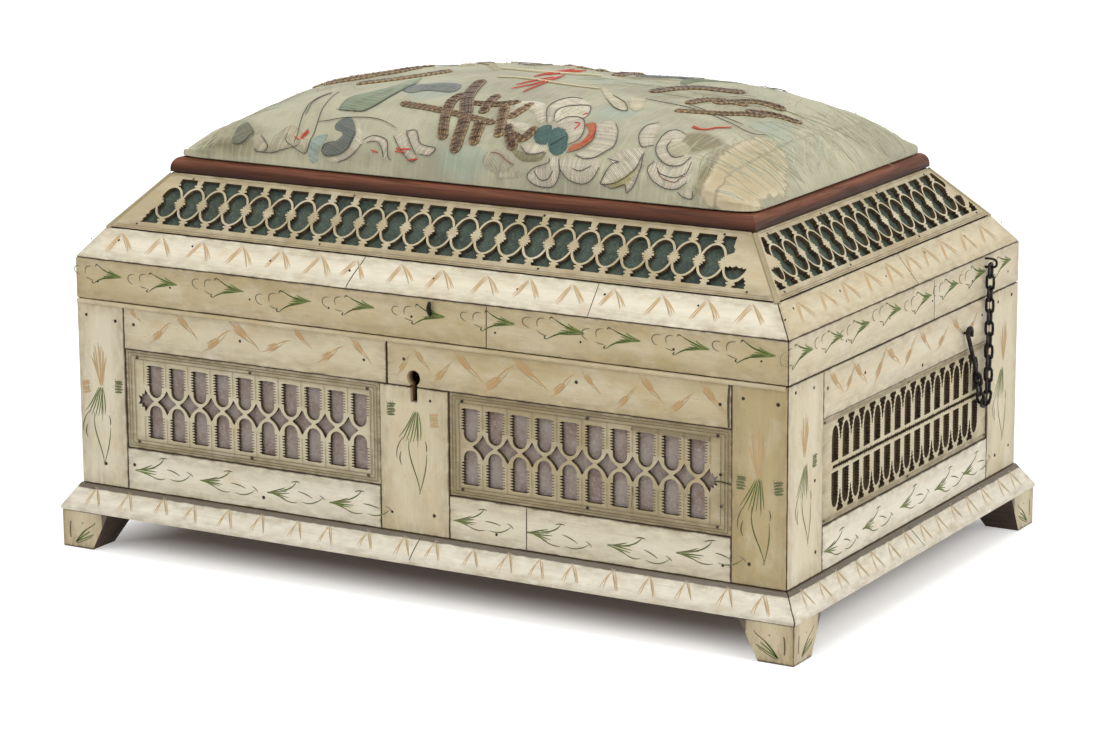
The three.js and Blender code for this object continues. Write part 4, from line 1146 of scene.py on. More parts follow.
@dataclass
class BonePlates:
    """The flat and sloped plates, each a copy of its CAD solid with eased edges."""

    ease: float = 0.3
    plinth_rim: float = 1.5
    rng: random.Random = field(default_factory=lambda: random.Random(3))

    def eased(self, node: str) -> Mesh:
        """Copies a CAD solid, joins its loose triangles and eases its edges."""
        mesh = frame["nodes"][node].data.copy()
        mesh.name = node
        with edited(mesh) as work:
            bmesh.ops.remove_doubles(work, verts=work.verts, dist=1e-6)
            bmesh.ops.dissolve_limit(work, angle_limit=math.radians(1), verts=work.verts, edges=work.edges)
            sharp = [e for e in work.edges if len(e.link_faces) == 2 and e.calc_face_angle(0) > math.radians(20)]
            bmesh.ops.bevel(work, geom=sharp, offset=self.ease * MM, segments=2, profile=0.5, affect="EDGES",
                            clamp_overlap=True)
        return mesh

    def map_plate(self, mesh: Mesh, panel: Panel, upright: bool) -> None:
        """Stores the distances to the edges, the grain map and the plate's own tone.

        Args:
            mesh: The plate's mesh, in place.
            panel: The face that the plate fills.
            upright: True if the grain runs up the plate.
        """
        local = panel.local(points_of(mesh))
        x, out, z = local.T
        slope = np.array([panel.high[0] - panel.low[0], panel.high[1] - panel.low[1]]) / panel.rise
        v = (out - panel.low[0]) * slope[0] + (z - panel.low[1]) * slope[1]
        v += self.plinth_rim if mesh.name.startswith("plinth") else 0.0
        half = panel.side.half
        left = x + half + out if panel.x0 < -half + 0.5 else x - panel.x0
        right = half + out - x if panel.x1 > half - 0.5 else panel.x1 - x
        write_attribute(mesh, "edge", "FLOAT_COLOR", np.stack([left, right, v, panel.rise - v], axis=1))
        seed = self.rng.uniform(0, 400)
        grain = np.stack([v, x], axis=1) if upright else np.stack([x, v], axis=1)
        write_uv(mesh, "plate", grain + seed)
        tone = TONES.get(mesh.name.split(".")[0], 0.5) + self.rng.uniform(-0.1, 0.1)
        write_attribute(mesh, "tone", "FLOAT", [tone] * len(mesh.vertices))

    def dress(self, node: str, panel: Panel, upright: bool = False) -> None:
        """Replaces one CAD plate with its eased and mapped copy."""
        mesh = self.eased(node)
        self.map_plate(mesh, panel, upright)
        finish_piece(f"{node}_bone", mesh, body_of(node), [BONE], [node], 25.0)

    def build(self) -> None:
        """Dresses every flat and sloped plate."""
        for side in Side:
            for node, band in (("plinth", Band.PLINTH), ("lid_skirt", Band.SKIRT), ("lid_moulding", Band.MOULDING)):
                self.dress(f"{node}_{side.name.lower()}", band.panel(side))
        ends = ("top_rail", "bottom_rail", "stile_front", "stile_back")
        for side, parts in (
                (Side.FRONT, ("top_rail_left", "top_rail_right", "bottom_rail_left", "bottom_rail_right", "stile_left",
                              "stile_centre", "stile_right")),
                (Side.RIGHT, ends), (Side.LEFT, ends), (Side.BACK, ("strip_bottom", "strip_middle", "strip_top"))):
            for part in parts:
                node = f"{side.name.lower()}_{part}"
                self.dress(node, node_panel(node, side), part.startswith("stile"))


@dataclass
class Feet:
    """Block feet: wood, with bone on the two faces that show."""

    plates: BonePlates

    def map_foot(self, mesh: Mesh) -> None:
        """Maps both outer faces of a foot, with the distances to its corner, its sides and its rims."""
        places = abs(points_of(mesh) / MM)
        x, y, z = places.T
        corner = np.maximum(x.max() - x, y.max() - y)
        far = np.full(len(places), 30.0)
        write_attribute(mesh, "edge", "FLOAT_COLOR", np.stack([corner, 17.5 - corner, z - 0.4, far], axis=1))
        write_uv(mesh, "plate", np.stack([z, x - y], axis=1))
        write_attribute(mesh, "tone", "FLOAT", [0.45] * len(mesh.vertices))

    def build(self) -> None:
        """Dresses the four feet."""
        for place in ("front", "back"):
            for hand in ("left", "right"):
                node = f"foot_{place}_{hand}"
                low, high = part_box(node)
                mesh = self.plates.eased(node)
                self.map_foot(mesh)
                middle = (low + high) / 2
                finish_piece(f"{node}_block", mesh, "case", [FOOT_BONE, FOOT_WOOD], [node], 25.0)
                for face in mesh.polygons:
                    outward = face.normal.x * middle.x > 0 and abs(face.normal.x) > 0.5
                    outward = outward or (face.normal.y * middle.y > 0 and abs(face.normal.y) > 0.5)
                    face.material_index = 0 if outward else 1


# Pierced plates


def arc(centre: Point, radius: Point, start: float, stop: float, steps: int) -> list[Point]:
    """Gives points of an ellipse's arc.

    Args:
        centre: Its centre.
        radius: Half its width and half its height.
        start: First angle in degrees.
        stop: Last angle in degrees.
        steps: Number of pieces.

    Returns:
        The points, one more than the pieces.
    """
    angles = [math.radians(start + (stop - start) * i / steps) for i in range(steps + 1)]
    return [(centre[0] + radius[0] * math.cos(a), centre[1] + radius[1] * math.sin(a)) for a in angles]


def loops_mesh(name: str, loops: Sequence[Sequence[Point]]) -> Mesh:
    """Makes a mesh of closed loops of edges, in millimetres."""
    points, edges = [], []
    for loop in loops:
        first = len(points)
        points += [(x, y, 0) for x, y in loop]
        edges += [(first + i, first + (i + 1) % len(loop)) for i in range(len(loop))]
    return new_mesh(name, points, (), edges)


def mirrored(foot: Sequence[Point], side: Sequence[Point], tip: Sequence[Point], direction: int = 1) -> list[Point]:
    """Draws a loop that is the same on both sides of its middle.

    Args:
        foot: Points on the middle where it begins.
        side: Its right side.
        tip: Points on the middle between the right and the left side.
        direction: -1 to turn the loop upside down.

    Returns:
        The loop.
    """
    loop = [*foot, *side, *tip, *((-x, y) for x, y in reversed(side))]
    return [(x, direction * y) for x, y in loop]


@dataclass
class Fret:
    """A pierced plate: an outline, a row of holes and what stands between them."""

    node: str
    panel: Panel
    tree: GeometryNodeTree
    outline: list[Point]
    hole: list[list[Point]]
    between: list[list[Point]]
    single: list[list[Point]]
    count: int
    pitch: float
    thickness: float = 1.6
    recess: float = 0.3
    wander: float = 0.3
    shift: float = 0.0

    def build(self, plates: BonePlates) -> None:
        """Cuts the plate and stands it in its panel."""
        shapes = [bpy.data.objects.new(f"{self.node}_{i}", loops_mesh(f"{self.node}_{i}", loops))
                  for i, loops in enumerate((self.hole, self.between))]
        middle = (self.outline[0][0] + self.outline[1][0]) / 2 + self.shift
        base = in_scene(self.node + "_cut", loops_mesh(self.node, [
            [(x - middle, y) for x, y in loop] for loop in (self.outline, *self.single)]))
        mesh = grown(base, self.tree, {
            "Hole": shapes[0], "Between": shapes[1], "Holes": self.count, "Pitch": self.pitch,
            "Thickness": self.thickness, "Wander": self.wander, "Material": FRET_BONE.material()})
        with edited(mesh) as work:
            bmesh.ops.recalc_face_normals(work, faces=work.faces)
            for face in work.faces:
                # The walls of the cuts take the second, darker finish, which paints the shade in the openings.
                face.material_index = 0 if abs(face.normal.z) > 0.5 else 1
        mesh.transform(self.panel.place(middle, self.panel.rise / 2, -self.recess))
        plates.map_plate(mesh, self.panel, False)
        slots = [polygon.material_index for polygon in mesh.polygons]
        finish_piece(f"{self.node}_bone", mesh, body_of(self.node), [FRET_BONE, SHADED_SAWN_BONE],
                     [self.node], 30.0)
        mesh.polygons.foreach_set("material_index", slots)


def rectangle(x0: float, x1: float, y0: float, y1: float) -> list[Point]:
    """Gives a rectangle's corners."""
    return [(x0, y0), (x1, y0), (x1, y1), (x0, y1)]


@dataclass
class FrontFrets:
    """Front plates: windows with saw-toothed sides in two rows, and lozenges between."""

    pitch: float = 9.48
    count: int = 10
    middle: float = 64.6
    half_window: float = 2.7
    heights: Point = (11.5, 12.0)
    half_bridge: float = 1.4
    teeth: int = 8
    tooth: float = 1.1

    def window(self, direction: int) -> list[Point]:
        """Draws a window whose round end is near the middle, in the upper or the lower row."""
        height = self.heights[0 if direction > 0 else 1]
        side = [(self.half_window, self.half_bridge + height)]
        step = height * 0.66 / self.teeth
        for k in range(self.teeth):
            top = self.half_bridge + height - (k + 0.2) * step
            side += [(self.half_window, top), (self.half_window + self.tooth, top - step * 0.3),
                     (self.half_window + self.tooth * 0.8, top - step * 0.5), (self.half_window, top - step * 0.7)]
        centre = self.half_bridge + self.half_window
        side += arc((0, centre), (self.half_window, self.half_window), 0, -90, 7)[:-1]
        return mirrored([], side, [(0.0, self.half_bridge)], direction)

    def lozenge(self) -> list[Point]:
        """Draws a lozenge with hollow sides."""
        quarter = [(0.0, 4.4), (0.6, 3.5), (1.1, 2.6), (1.85, 1.7), (2.7, 1.0), (3.4, 0.55), (4.05, 0.0)]
        right = quarter + [(x, -y) for x, y in reversed(quarter[:-1])]
        return mirrored(right[:1], right[1:-1], right[-1:])

    def build(self, tree: GeometryNodeTree, plates: BonePlates, ornament: Ornament) -> None:
        """Makes both plates, their scribed borders and their pins."""
        for hand, outer in (("left", -1), ("right", 1)):
            node = f"front_fret_{hand}"
            panel = node_panel(node, Side.FRONT)
            half_rise = panel.rise / 2
            middle = outer * self.middle
            end = middle + outer * self.count * self.pitch / 2
            half_lozenge = [(end + outer * x, y) for x, y in (
                (-3.9, 0.0), (-2.6, -1.0), (-1.6, -2.2), (-0.2, -4.0), (0.4, -2.2), (1.3, -2.6), (1.2, -1.2),
                (2.8, -1.6), (1.9, 0.0), (2.8, 1.7), (1.2, 1.2), (1.0, 2.6), (0.3, 2.0), (-0.2, 4.0), (-1.6, 2.2),
                (-2.6, 1.0))]
            Fret(node, panel, tree, rectangle(panel.x0, panel.x1, -half_rise, half_rise),
                 [self.window(1), self.window(-1)], [self.lozenge()], [half_lozenge], self.count, self.pitch,
                 shift=middle - panel.middle).build(plates)
            self.scribe_border(panel, ornament, middle)

    def scribe_border(self, panel: Panel, ornament: Ornament, middle: float) -> None:
        """Scribes the double border, the lines between the windows, and drives the pins."""
        face = panel.sunk(Fret.recess)
        for inset in (1.0, 1.9, 3.1):
            x0, x1, v0, v1 = panel.x0 + inset * 1.25, panel.x1 - inset * 1.25, inset, panel.rise - inset
            for points in ([(x0, v0), (x1, v0)], [(x0, v1), (x1, v1)], [(x0, v0), (x0, v1)], [(x1, v0), (x1, v1)]):
                ornament.scribe("case", face, points, 0.26, BROWN, 0.75 if inset > 3 else 0.85)
        reach = self.half_bridge + self.heights[1]
        for k in range(self.count + 1):
            x = middle + (k - self.count / 2) * self.pitch
            for sign in (-1, 1):
                points = [(x, panel.rise / 2 + sign * (reach + 1.4)), (x, panel.rise / 2 + sign * 5.6)]
                ornament.scribe("case", face, points, 0.2, BROWN, 0.65)
        for x in (panel.x0 + 5, panel.middle, panel.x1 - 5):
            for v in (2.6, panel.rise - 2.6):
                ornament.pin("case", face, x, v)
        if middle > 0:
            # A crack and two worn places at the right end.
            end, top = middle + self.count * self.pitch / 2, panel.rise
            for width, colour, strength, points in (
                    (0.5, DARK, 0.95, [(end + 1.5, 17.6), (end + 3.6, 18.1), (panel.x1, 17.4)]),
                    (1.3, "#5a462b", 0.7, [(end - 29, top - 4.1), (end - 12, top - 3.7), (end, top - 4.2)]),
                    (0.8, "#6b5433", 0.55, [(end - 29.5, 4.0), (end - 28.6, 12.0)])):
                ornament.scribe("case", face, points, width, colour, strength)


@dataclass
class SideFrets:
    """Side plates: two rows of lancets with toothed edges, wedges beyond them and a ragged slot between."""

    pitch: float = 8.05
    half_lancet: float = 2.3
    height: float = 12.0
    half_bridge: float = 1.8
    point: float = 3.2
    teeth: int = 9
    tooth: float = 0.45
    margin: float = 2.2

    def lancet(self, direction: int) -> list[Point]:
        """Draws a pointed opening of the upper or the lower row."""
        foot = self.half_bridge
        shoulder = foot + self.height - self.point
        side = [(self.half_lancet, foot)]
        step = (shoulder - foot) / self.teeth
        for k in range(self.teeth):
            low = foot + (k + 0.2) * step
            side += [(self.half_lancet, low), (self.half_lancet + self.tooth, low + step * 0.35),
                     (self.half_lancet, low + step * 0.7)]
        side += [(self.half_lancet, shoulder), (self.half_lancet * 0.93, shoulder + self.point * 0.37),
                 (self.half_lancet * 0.7, shoulder + self.point * 0.7),
                 (self.half_lancet * 0.36, shoulder + self.point * 0.92)]
        return mirrored([], side, [(0.0, foot + self.height)], direction)

    def wedge(self, border: float, direction: int) -> list[Point]:
        """Draws the toothed gap between two points of a row and the border."""
        right = [(0.0, border - 7.6), (0.5, border - 6.3), (0.3, border - 5.9), (0.85, border - 5.1),
                 (0.55, border - 4.6), (1.3, border - 3.7), (0.9, border - 3.2), (1.9, border - 2.3),
                 (1.3, border - 1.8), (2.5, border - 0.9), (2.1, border)]
        return mirrored(right[:1], right[1:], [], direction)

    def ragged_slot(self, half: float, rng: random.Random) -> list[Point]:
        """Draws the slot between the rows, with ragged edges."""
        steps = int(2 * half / 0.8)
        xs = [-half + 2 * half * i / steps for i in range(steps + 1)]
        upper = [(x, rng.uniform(0.25, 0.4) if i % 2 else rng.uniform(0.7, 1.15)) for i, x in enumerate(xs)]
        lower = [(x, -rng.uniform(0.25, 0.4) if i % 2 else -rng.uniform(0.7, 1.1)) for i, x in enumerate(xs)]
        return lower + upper[::-1]

    def build(self, tree: GeometryNodeTree, plates: BonePlates, ornament: Ornament) -> None:
        """Makes the plates of the right and the left side."""
        rng = random.Random(8)
        for side in (Side.RIGHT, Side.LEFT):
            node = f"{side.name.lower()}_fret"
            panel = node_panel(node, side)
            half_rise = panel.rise / 2
            count = int((panel.x1 - panel.x0 - 2 * self.margin) // self.pitch)
            border = half_rise - self.margin
            slot = self.ragged_slot((count - 0.6) * self.pitch / 2, rng)
            Fret(node, panel, tree, rectangle(panel.x0, panel.x1, -half_rise, half_rise),
                 [self.lancet(1), self.lancet(-1)], [self.wedge(border, 1), self.wedge(border, -1)],
                 [slot], count, self.pitch).build(plates)
            face = panel.sunk(Fret.recess)
            for v in (0.9, 1.6, panel.rise - 1.6, panel.rise - 0.9):
                ornament.scribe("case", face, [(panel.x0 + 1, v), (panel.x1 - 1, v)], 0.2, BROWN, 0.7)
            for x in (panel.x0 + 1.6, panel.middle, panel.x1 - 1.6):
                for v in (1.3, panel.rise - 1.3):
                    ornament.pin("case", face, x, v, 0.8)


@dataclass
class LidFrets:
    """Plates of the lid's slopes: rings on short stems, joined by spiked leaves."""

    pitch: float = 9.25
    inner: Point = (4.12, 6.1)
    outer: Point = (4.98, 6.88)
    stem: float = 1.7
    border: Point = (9.9, 9.0)
    edge_gap: float = 0.4
    hip_gap: float = 1.3
    fret_set: float = 17.0
    margin: float = 1.9
    spacing: tuple[Point, Point] = ((9.05, 0.0), (9.325, -3.4))

    def ring(self) -> list[Point]:
        """Draws the opening of a ring, pinched by the spikes of the leaves beside it."""
        upper = arc((0, 0), self.inner, 90, 32, 8)
        spikes = [(4.05, 1.9), (3.5, 2.0), (3.4, 1.65), (3.85, 1.3), (2.9, 1.3), (2.9, 0.9), (3.5, 0.6),
                  (2.45, 0.4), (2.4, 0.0)]
        right = upper + spikes + [(x, -y) for x, y in reversed(spikes[:-1])] + [(x, -y) for x, y in reversed(upper)]
        return mirrored(right[:1], right[1:-1], right[-1:])

    def wedge(self, direction: int) -> list[Point]:
        """Draws the gap between two rings above or below their leaf."""
        edge = self.pitch / 2 - self.stem / 2
        curve = [(self.pitch / 2 - self.outer[0] * math.cos(t), self.outer[1] * math.sin(t))
                 for t in (math.radians(a) for a in (26, 38, 50, 61, 71, 79))]
        right = [(0.0, 2.9), (0.2, 2.4), *curve, (edge + 0.05, 6.95), (edge - 0.85, 7.15), (edge - 0.75, 7.75),
                 (edge + 0.1, 7.95), (edge - 0.2, 8.35), (edge - 0.45, self.border[0 if direction > 0 else 1])]
        return mirrored(right[:1], right[1:], [], direction)

    def corner(self, end: float, half_ring: bool, room: Sequence[float]) -> list[list[Point]]:
        """Draws the openings between the last ring and the hip.

        Args:
            end: Place where the last ring ends.
            half_ring: True where half a ring more finds its place.
            room: Room for openings beyond that end, at the top, above the middle and at half a ring.

        Returns:
            The openings.
        """
        low = self.border[1]
        gap, below = self.wedge(1), self.wedge(-1)
        if not half_ring:
            return [[(end + x, y) for x, y in below[len(gap) // 2 + 1:]] +
                    [(end + 0.2, -2.9), (end + 0.9, -3.4), (end + 1.6, -4.4), (end + 1.4, -5.2), (end + 2.5, -5.8),
                     (end + 2.2, -6.8), (end + 3.1, -7.4), (end + 2.9, -8.3), (end + 3.8, -low)]]
        wide, top = min(2.1, room[1]), min(1.2, room[0])
        upper = [(end + x, y) for x, y in gap[len(gap) // 2 + 1:]] + \
            [(end, 2.9), (end + wide / 2, 3.4), (end + wide, 3.9), (end + wide, 5.2), (end + wide * 0.6, 6.0),
             (end + top, self.border[0])]
        squeeze = min(1.0, (room[2] - 0.9) / 7.4)
        half = [(0.9, -1.3), (1.9, -1.8), (2.3, -1.1), (3.4, -1.6), (4.6, -0.8), (5.8, -1.6), (6.9, -1.1),
                (7.3, -1.8), (8.3, -1.3), *arc((self.pitch / 2, 0), self.inner, -18, -162, 14)]
        half = [(end + 0.9 + (x - 0.9) * squeeze, y) for x, y in half]
        last = [(end + x, y) for x, y in (
            (5.6, -low), (10.4, -low), (9.8, -8.3), (10.2, -7.4), (9.4, -6.9), (9.7, -6.0), (8.9, -5.6), (8.7, -4.7),
            (7.9, -5.4), (7.2, -6.2), (6.0, -6.9), (5.6, -7.2), (6.4, -7.5), (6.3, -8.1), (5.5, -8.3))]
        return [upper, half, last, [(end + x, y) for x, y in below]]

    def build(self, tree: GeometryNodeTree, plates: BonePlates, ornament: Ornament) -> None:
        """Makes the plates of the four slopes."""
        for side in Side:
            panel = Band.HIP.panel(side)
            half_rise = panel.rise / 2
            low, high = -half_rise + self.edge_gap, half_rise - self.edge_gap

            def edge_at(y: float, half: float = side.half) -> float:
                """Half the plate's length at a height above its middle line."""
                return half - Band.HIP.value[2] - self.hip_gap - self.fret_set * (y + half_rise) / panel.rise

            outline = [(-edge_at(low), low), (edge_at(low), low), (edge_at(high), high), (-edge_at(high), high)]
            pitch, offset = self.spacing[side in (Side.FRONT, Side.BACK)]
            count = int(2 * (edge_at(self.inner[1]) - self.margin) // pitch)
            end = count * pitch / 2
            single = [[(sign * x + offset, y) for x, y in loop] for sign in (1, -1)
                      for loop in self.corner(end, sign * offset < 2, [edge_at(y) - sign * offset - end - 1.1
                                                                       for y in (self.border[0], 5.2, -1.3)])]
            Fret(f"lid_fret_{side.name.lower()}", panel, tree, outline, [self.ring()],
                 [self.wedge(1), self.wedge(-1)], single, count, pitch, recess=0.0, shift=offset).build(plates)
            for inset in (0.9, 1.7):
                x = edge_at(-half_rise + inset) - 1.5
                ornament.scribe("lid", panel, [(-x, inset), (x, inset)], 0.22, BROWN, 0.75)
            x = edge_at(half_rise - 1.2) - 1.5
            ornament.scribe("lid", panel, [(-x, panel.rise - 1.2), (x, panel.rise - 1.2)], 0.2, BROWN, 0.65)
            for share in (-0.92, -0.33, 0.33, 0.92):
                ornament.pin("lid", panel, share * edge_at(low), 2.6, 0.8)
                ornament.pin("lid", panel, share * edge_at(high), panel.rise - 2.2, 0.8)


# Engraved layout


@dataclass
class Engraving:
    """Where the motifs, joints and pins lie on each side of the box."""

    ornament: Ornament
    foot_reach: float = 5.5
    foot_height: float = 13.5
    rng: random.Random = field(default_factory=lambda: random.Random(21))

    def row(self, body: str, panel: Panel, motif: Motif, xs: Sequence[float], v: float, spread: float = 0.4) -> None:
        """Engraves one motif at each place of a row."""
        for x in xs:
            self.ornament.engrave(body, panel, motif, x, v + self.rng.uniform(-spread, spread),
                                  self.rng.uniform(-4, 4), self.rng.uniform(0.94, 1.06))

    def steps(self, first: float, last: float, pitch: float) -> list[float]:
        """Gives evenly spaced places with the unevenness of handwork."""
        count = round((last - first) / pitch)
        return [first + (last - first) * i / count + self.rng.uniform(-1, 1) for i in range(count + 1)]

    def ears(self, body: str, panel: Panel, strokes: Sequence[tuple[Point, Point]]) -> None:
        """Engraves ears of corn between pairs of points, each x and height above the table."""
        for (x0, z0), (x1, z1) in strokes:
            turn = math.degrees(math.atan2(z1 - z0, x1 - x0))
            self.ornament.engrave(body, panel, Motif.EAR, x0, z0 - panel.low[1], turn,
                                  math.dist((x0, z0), (x1, z1)) / 10)

    def zigzag(self, first: float, last: float) -> list[tuple[Point, Point]]:
        """Gives pairs of points for ears that slant in turn, where the photograph shows none."""
        xs = self.steps(first, last, 11.5)
        rises = [(88.0, 80.5), (78.2, 84.6)]
        return [((x, rises[i % 2][0]), (x + 8.5, rises[i % 2][1])) for i, x in enumerate(xs)]

    def lid(self, side: Side, tips: Sequence[float], tents: Sequence[float]) -> None:
        """Engraves the lid's skirt and moulding on one side."""
        self.row("lid", Band.SKIRT.panel(side), Motif.SPRIG, tips, 9.1)
        self.row("lid", Band.MOULDING.panel(side), Motif.TENT, tents, 11.2, 0.3)

    def joint(self, body: str, panel: Panel, points: Sequence[Point], width: float = 0.42) -> None:
        """Draws the dark joint where two lengths of bone meet."""
        self.ornament.scribe(body, panel, points, width, "#33271b", 0.95)

    def front(self) -> None:
        """Engraves the front as the photograph shows it."""
        self.lid(Side.FRONT, [-120.3, -96.7, -68.8, -41.1, -15.5, 12.5, 39.5, 65.3, 86.3, 111.4, 135.0],
                 [-124.5, -107.4, -90.0, -73.1, -57.1, -40.8, -26.4, -8.3, *self.steps(8.5, 123, 16.4)])
        left = node_panel("front_top_rail_left", Side.FRONT)
        self.ears("case", left, [
            ((-117.2, 88.3), (-112.1, 84.1)), ((-107.5, 78.3), (-99.8, 84.6)), ((-96.6, 88.3), (-88.7, 81.1)),
            ((-84.4, 78), (-74.8, 84.5)), ((-73.4, 87.8), (-63, 80.3)), ((-59.6, 80), (-50.2, 84.3)),
            ((-47.6, 88.5), (-41.1, 82.8)), ((-37, 79), (-28.5, 84.6)), ((-24, 87.5), (-17, 80.5)),
            ((-5.6, 78.5), (-1.0, 85)), ((1.0, 86.5), (6.4, 80.4)), ((8.4, 77), (15.2, 84)),
            ((17.6, 86.8), (25.9, 79.1)), ((28.2, 76.4), (38.6, 84.6)), ((40, 87.6), (51, 79.5)),
            ((54.2, 77.8), (62, 84.8)), ((65.7, 86.1), (71.5, 80.3)), ((78.7, 76.7), (85, 83.5)),
            ((87.2, 87.3), (94.8, 79.8)), ((97.9, 77.3), (105.8, 83.9)), ((109.3, 87.1), (117.2, 79.3))])
        for part, tips in (("left", (-116.5, -88.5, -60.0, -34.5)), ("right", (15.4, 44.3, 74.6, 100.2))):
            rail = node_panel(f"front_bottom_rail_{part}", Side.FRONT)
            self.row("case", rail, Motif.BRANCH, tips, 29.8 - rail.low[1], 0.5)
        stile = node_panel("front_stile_left", Side.FRONT)
        for x, top in ((1.1, 65.3), (-130.5, 58.5), (129.5, 58.5)):
            self.ornament.engrave("case", stile, Motif.SHEAF, x, top - stile.low[1], self.rng.uniform(-3, 3))
        for x, z, motif in ((-9.0, 65.6, Motif.GREEN_HATCH), (8.0, 63.4, Motif.ORANGE_HATCH),
                            (123.4, 57.2, Motif.GREEN_HATCH), (-122.8, 60.0, Motif.GREEN_HATCH),
                            (136.8, 56.8, Motif.GREEN_HATCH), (-137.0, 58.5, Motif.ORANGE_HATCH)):
            self.ornament.engrave("case", stile, motif, x, z - stile.low[1], self.rng.uniform(-8, 8))
        for x in (-130.5, 129.5):
            self.ornament.engrave("case", stile, Motif.PLUME, x, 59.5 - stile.low[1], self.rng.uniform(-5, 5), 1.05)
        skirt, moulding, plinth = (band.panel(Side.FRONT) for band in (Band.SKIRT, Band.MOULDING, Band.PLINTH))
        top_rail, bottom_rail = (node_panel(f"front_{part}_rail_right", Side.FRONT) for part in ("top", "bottom"))
        self.joint("lid", skirt, [(28.7, 0.2), (28.9, 14.2)])
        self.joint("lid", moulding, [(-26.5, 0.3), (-26.2, 4.5), (-24.5, 7.5), (-23.2, 12.4)])
        self.joint("lid", moulding, [(67.0, 0.3), (67.2, 12.4)], 0.3)
        self.joint("case", plinth, [(1.0, 0.4), (1.4, 4.5), (2.9, 9.2)])
        self.joint("case", top_rail, [(118.9, 0.3), (118.4, 8.0), (119.1, 15.3)], 0.9)
        self.joint("case", bottom_rail, [(43.6, 0.3), (43.7, 14.6)])
        self.row("case", plinth, Motif.FAINT_TENT, self.steps(-133, 10, 13.7), 7.6, 0.5)
        self.row("case", plinth, Motif.FAINT_TENT, [23.9, 37.6, 49.8, 62.1, 77.1, 91, 104.4, 119.7, 132.5], 7.6, 0.5)

    def ends(self) -> None:
        """Engraves the right side as the photograph shows it, and the left side in the same way."""
        for side in (Side.RIGHT, Side.LEFT):
            name, right = side.name.lower(), side is Side.RIGHT
            tips = [-75.3, -53, -33.4, -8.4, 16.1, 38.4, 61.5, 84.0] if right else self.steps(-72, 85, 22.8)
            tents = [-73.5, -56.6, -39.9, -22.5, -6.4, 9.4, 23.5, 37.6, 54.5, 71.0] if right else \
                self.steps(-73, 73, 16.2)
            self.lid(side, tips, tents)
            rail = node_panel(f"{name}_top_rail", side)
            if right:
                self.ears("case", rail, [
                    ((-61, 88), (-53, 80.5)), ((-49.2, 80.5), (-43.2, 87.4)), ((-43, 87.2), (-34.8, 79.5)),
                    ((-27.3, 79.2), (-19.2, 88.0)), ((-18, 87.4), (-9.1, 80.6)), ((-4.1, 79.8), (4.5, 86.6)),
                    ((8.3, 87.8), (15.8, 80.8)), ((22.8, 79.9), (31.0, 85.4)), ((35, 87.1), (43.5, 80.4)),
                    ((48, 79.2), (56, 85.8))])
            else:
                self.ears("case", rail, self.zigzag(-62, 52))
            low = node_panel(f"{name}_bottom_rail", side)
            self.row("case", low, Motif.BRANCH, [-64.8, -35.4, -6.0, 22.5, 46.0] if right else
                     self.steps(-62, 40, 27), 29.6 - low.low[1], 0.5)
            front = node_panel(f"{name}_stile_front", side)
            for x, z, motif in ((-80.1, 65.0, Motif.PLUME), (-79.4, 61.5, Motif.SHEAF), (79.5, 64.0, Motif.PLUME),
                                (78.5, 61.0, Motif.SHEAF), (-72.6, 62.0, Motif.GREEN_HATCH)):
                self.ornament.engrave("case", front, motif, x, z - front.low[1], self.rng.uniform(-4, 4), 0.95)
            plinth = Band.PLINTH.panel(side)
            self.row("case", plinth, Motif.FAINT_TENT, self.steps(-85, 85, 13.2), 7.6, 0.5)
            self.joint("case", plinth, [(2.0, 0.4), (-1.5, 9.2)])
            self.joint("lid", Band.SKIRT.panel(side), [(19.0, 0.2), (18.6, 14.2)])
            self.joint("lid", Band.MOULDING.panel(side), [(6.0, 0.3), (5.2, 12.4)], 0.34)

    def back(self) -> None:
        """Engraves the lid's back like its front. The strips below it stay plain."""
        self.lid(Side.BACK, self.steps(-118, 132, 25), self.steps(-123, 123, 16.4))
        self.row("case", Band.PLINTH.panel(Side.BACK), Motif.FAINT_TENT, self.steps(-132, 132, 13.7), 7.6, 0.5)
        self.joint("lid", Band.SKIRT.panel(Side.BACK), [(-34.0, 0.2), (-33.6, 14.2)])
        self.joint("case", Band.PLINTH.panel(Side.BACK), [(12.0, 0.4), (11.2, 9.2)])

    def feet(self) -> None:
        """Engraves a small sheaf on each outer face of the feet."""
        for side in Side:
            face = Panel(side, -side.half, side.half, (self.foot_reach, 0.0), (self.foot_reach, self.foot_height))
            for hand in (-1, 1):
                corner = hand * (side.half + self.foot_reach)
                for colour, width, points in (
                        (DARK, 0.34, ((14.4, 10.3), (13.7, 8.5), (10.4, 8.0), (8.1, 6.0), (5.6, 2.1))),
                        (GREEN, 0.5, ((13.7, 5.8), (9.4, 3.9), (5.6, 2.1))),
                        (LEAF, 0.5, ((11.9, 6.6), (8.6, 4.6), (5.6, 2.1))),
                        (GREEN, 0.45, ((10.6, 7.4), (8.0, 4.9), (5.7, 2.2))),
                        (DARK, 0.3, ((12.9, 5.0), (9.6, 2.9), (6.0, 1.7))),
                        (DARK, 0.5, ((9.0, 9.5), (8.6, 9.2))), (BROWN, 0.6, ((3.6, 9.6), (3.0, 6.5), (3.4, 3.5)))):
                    self.ornament.scribe("case", face, [(corner - hand * x, v) for x, v in points], width, colour, 0.9)

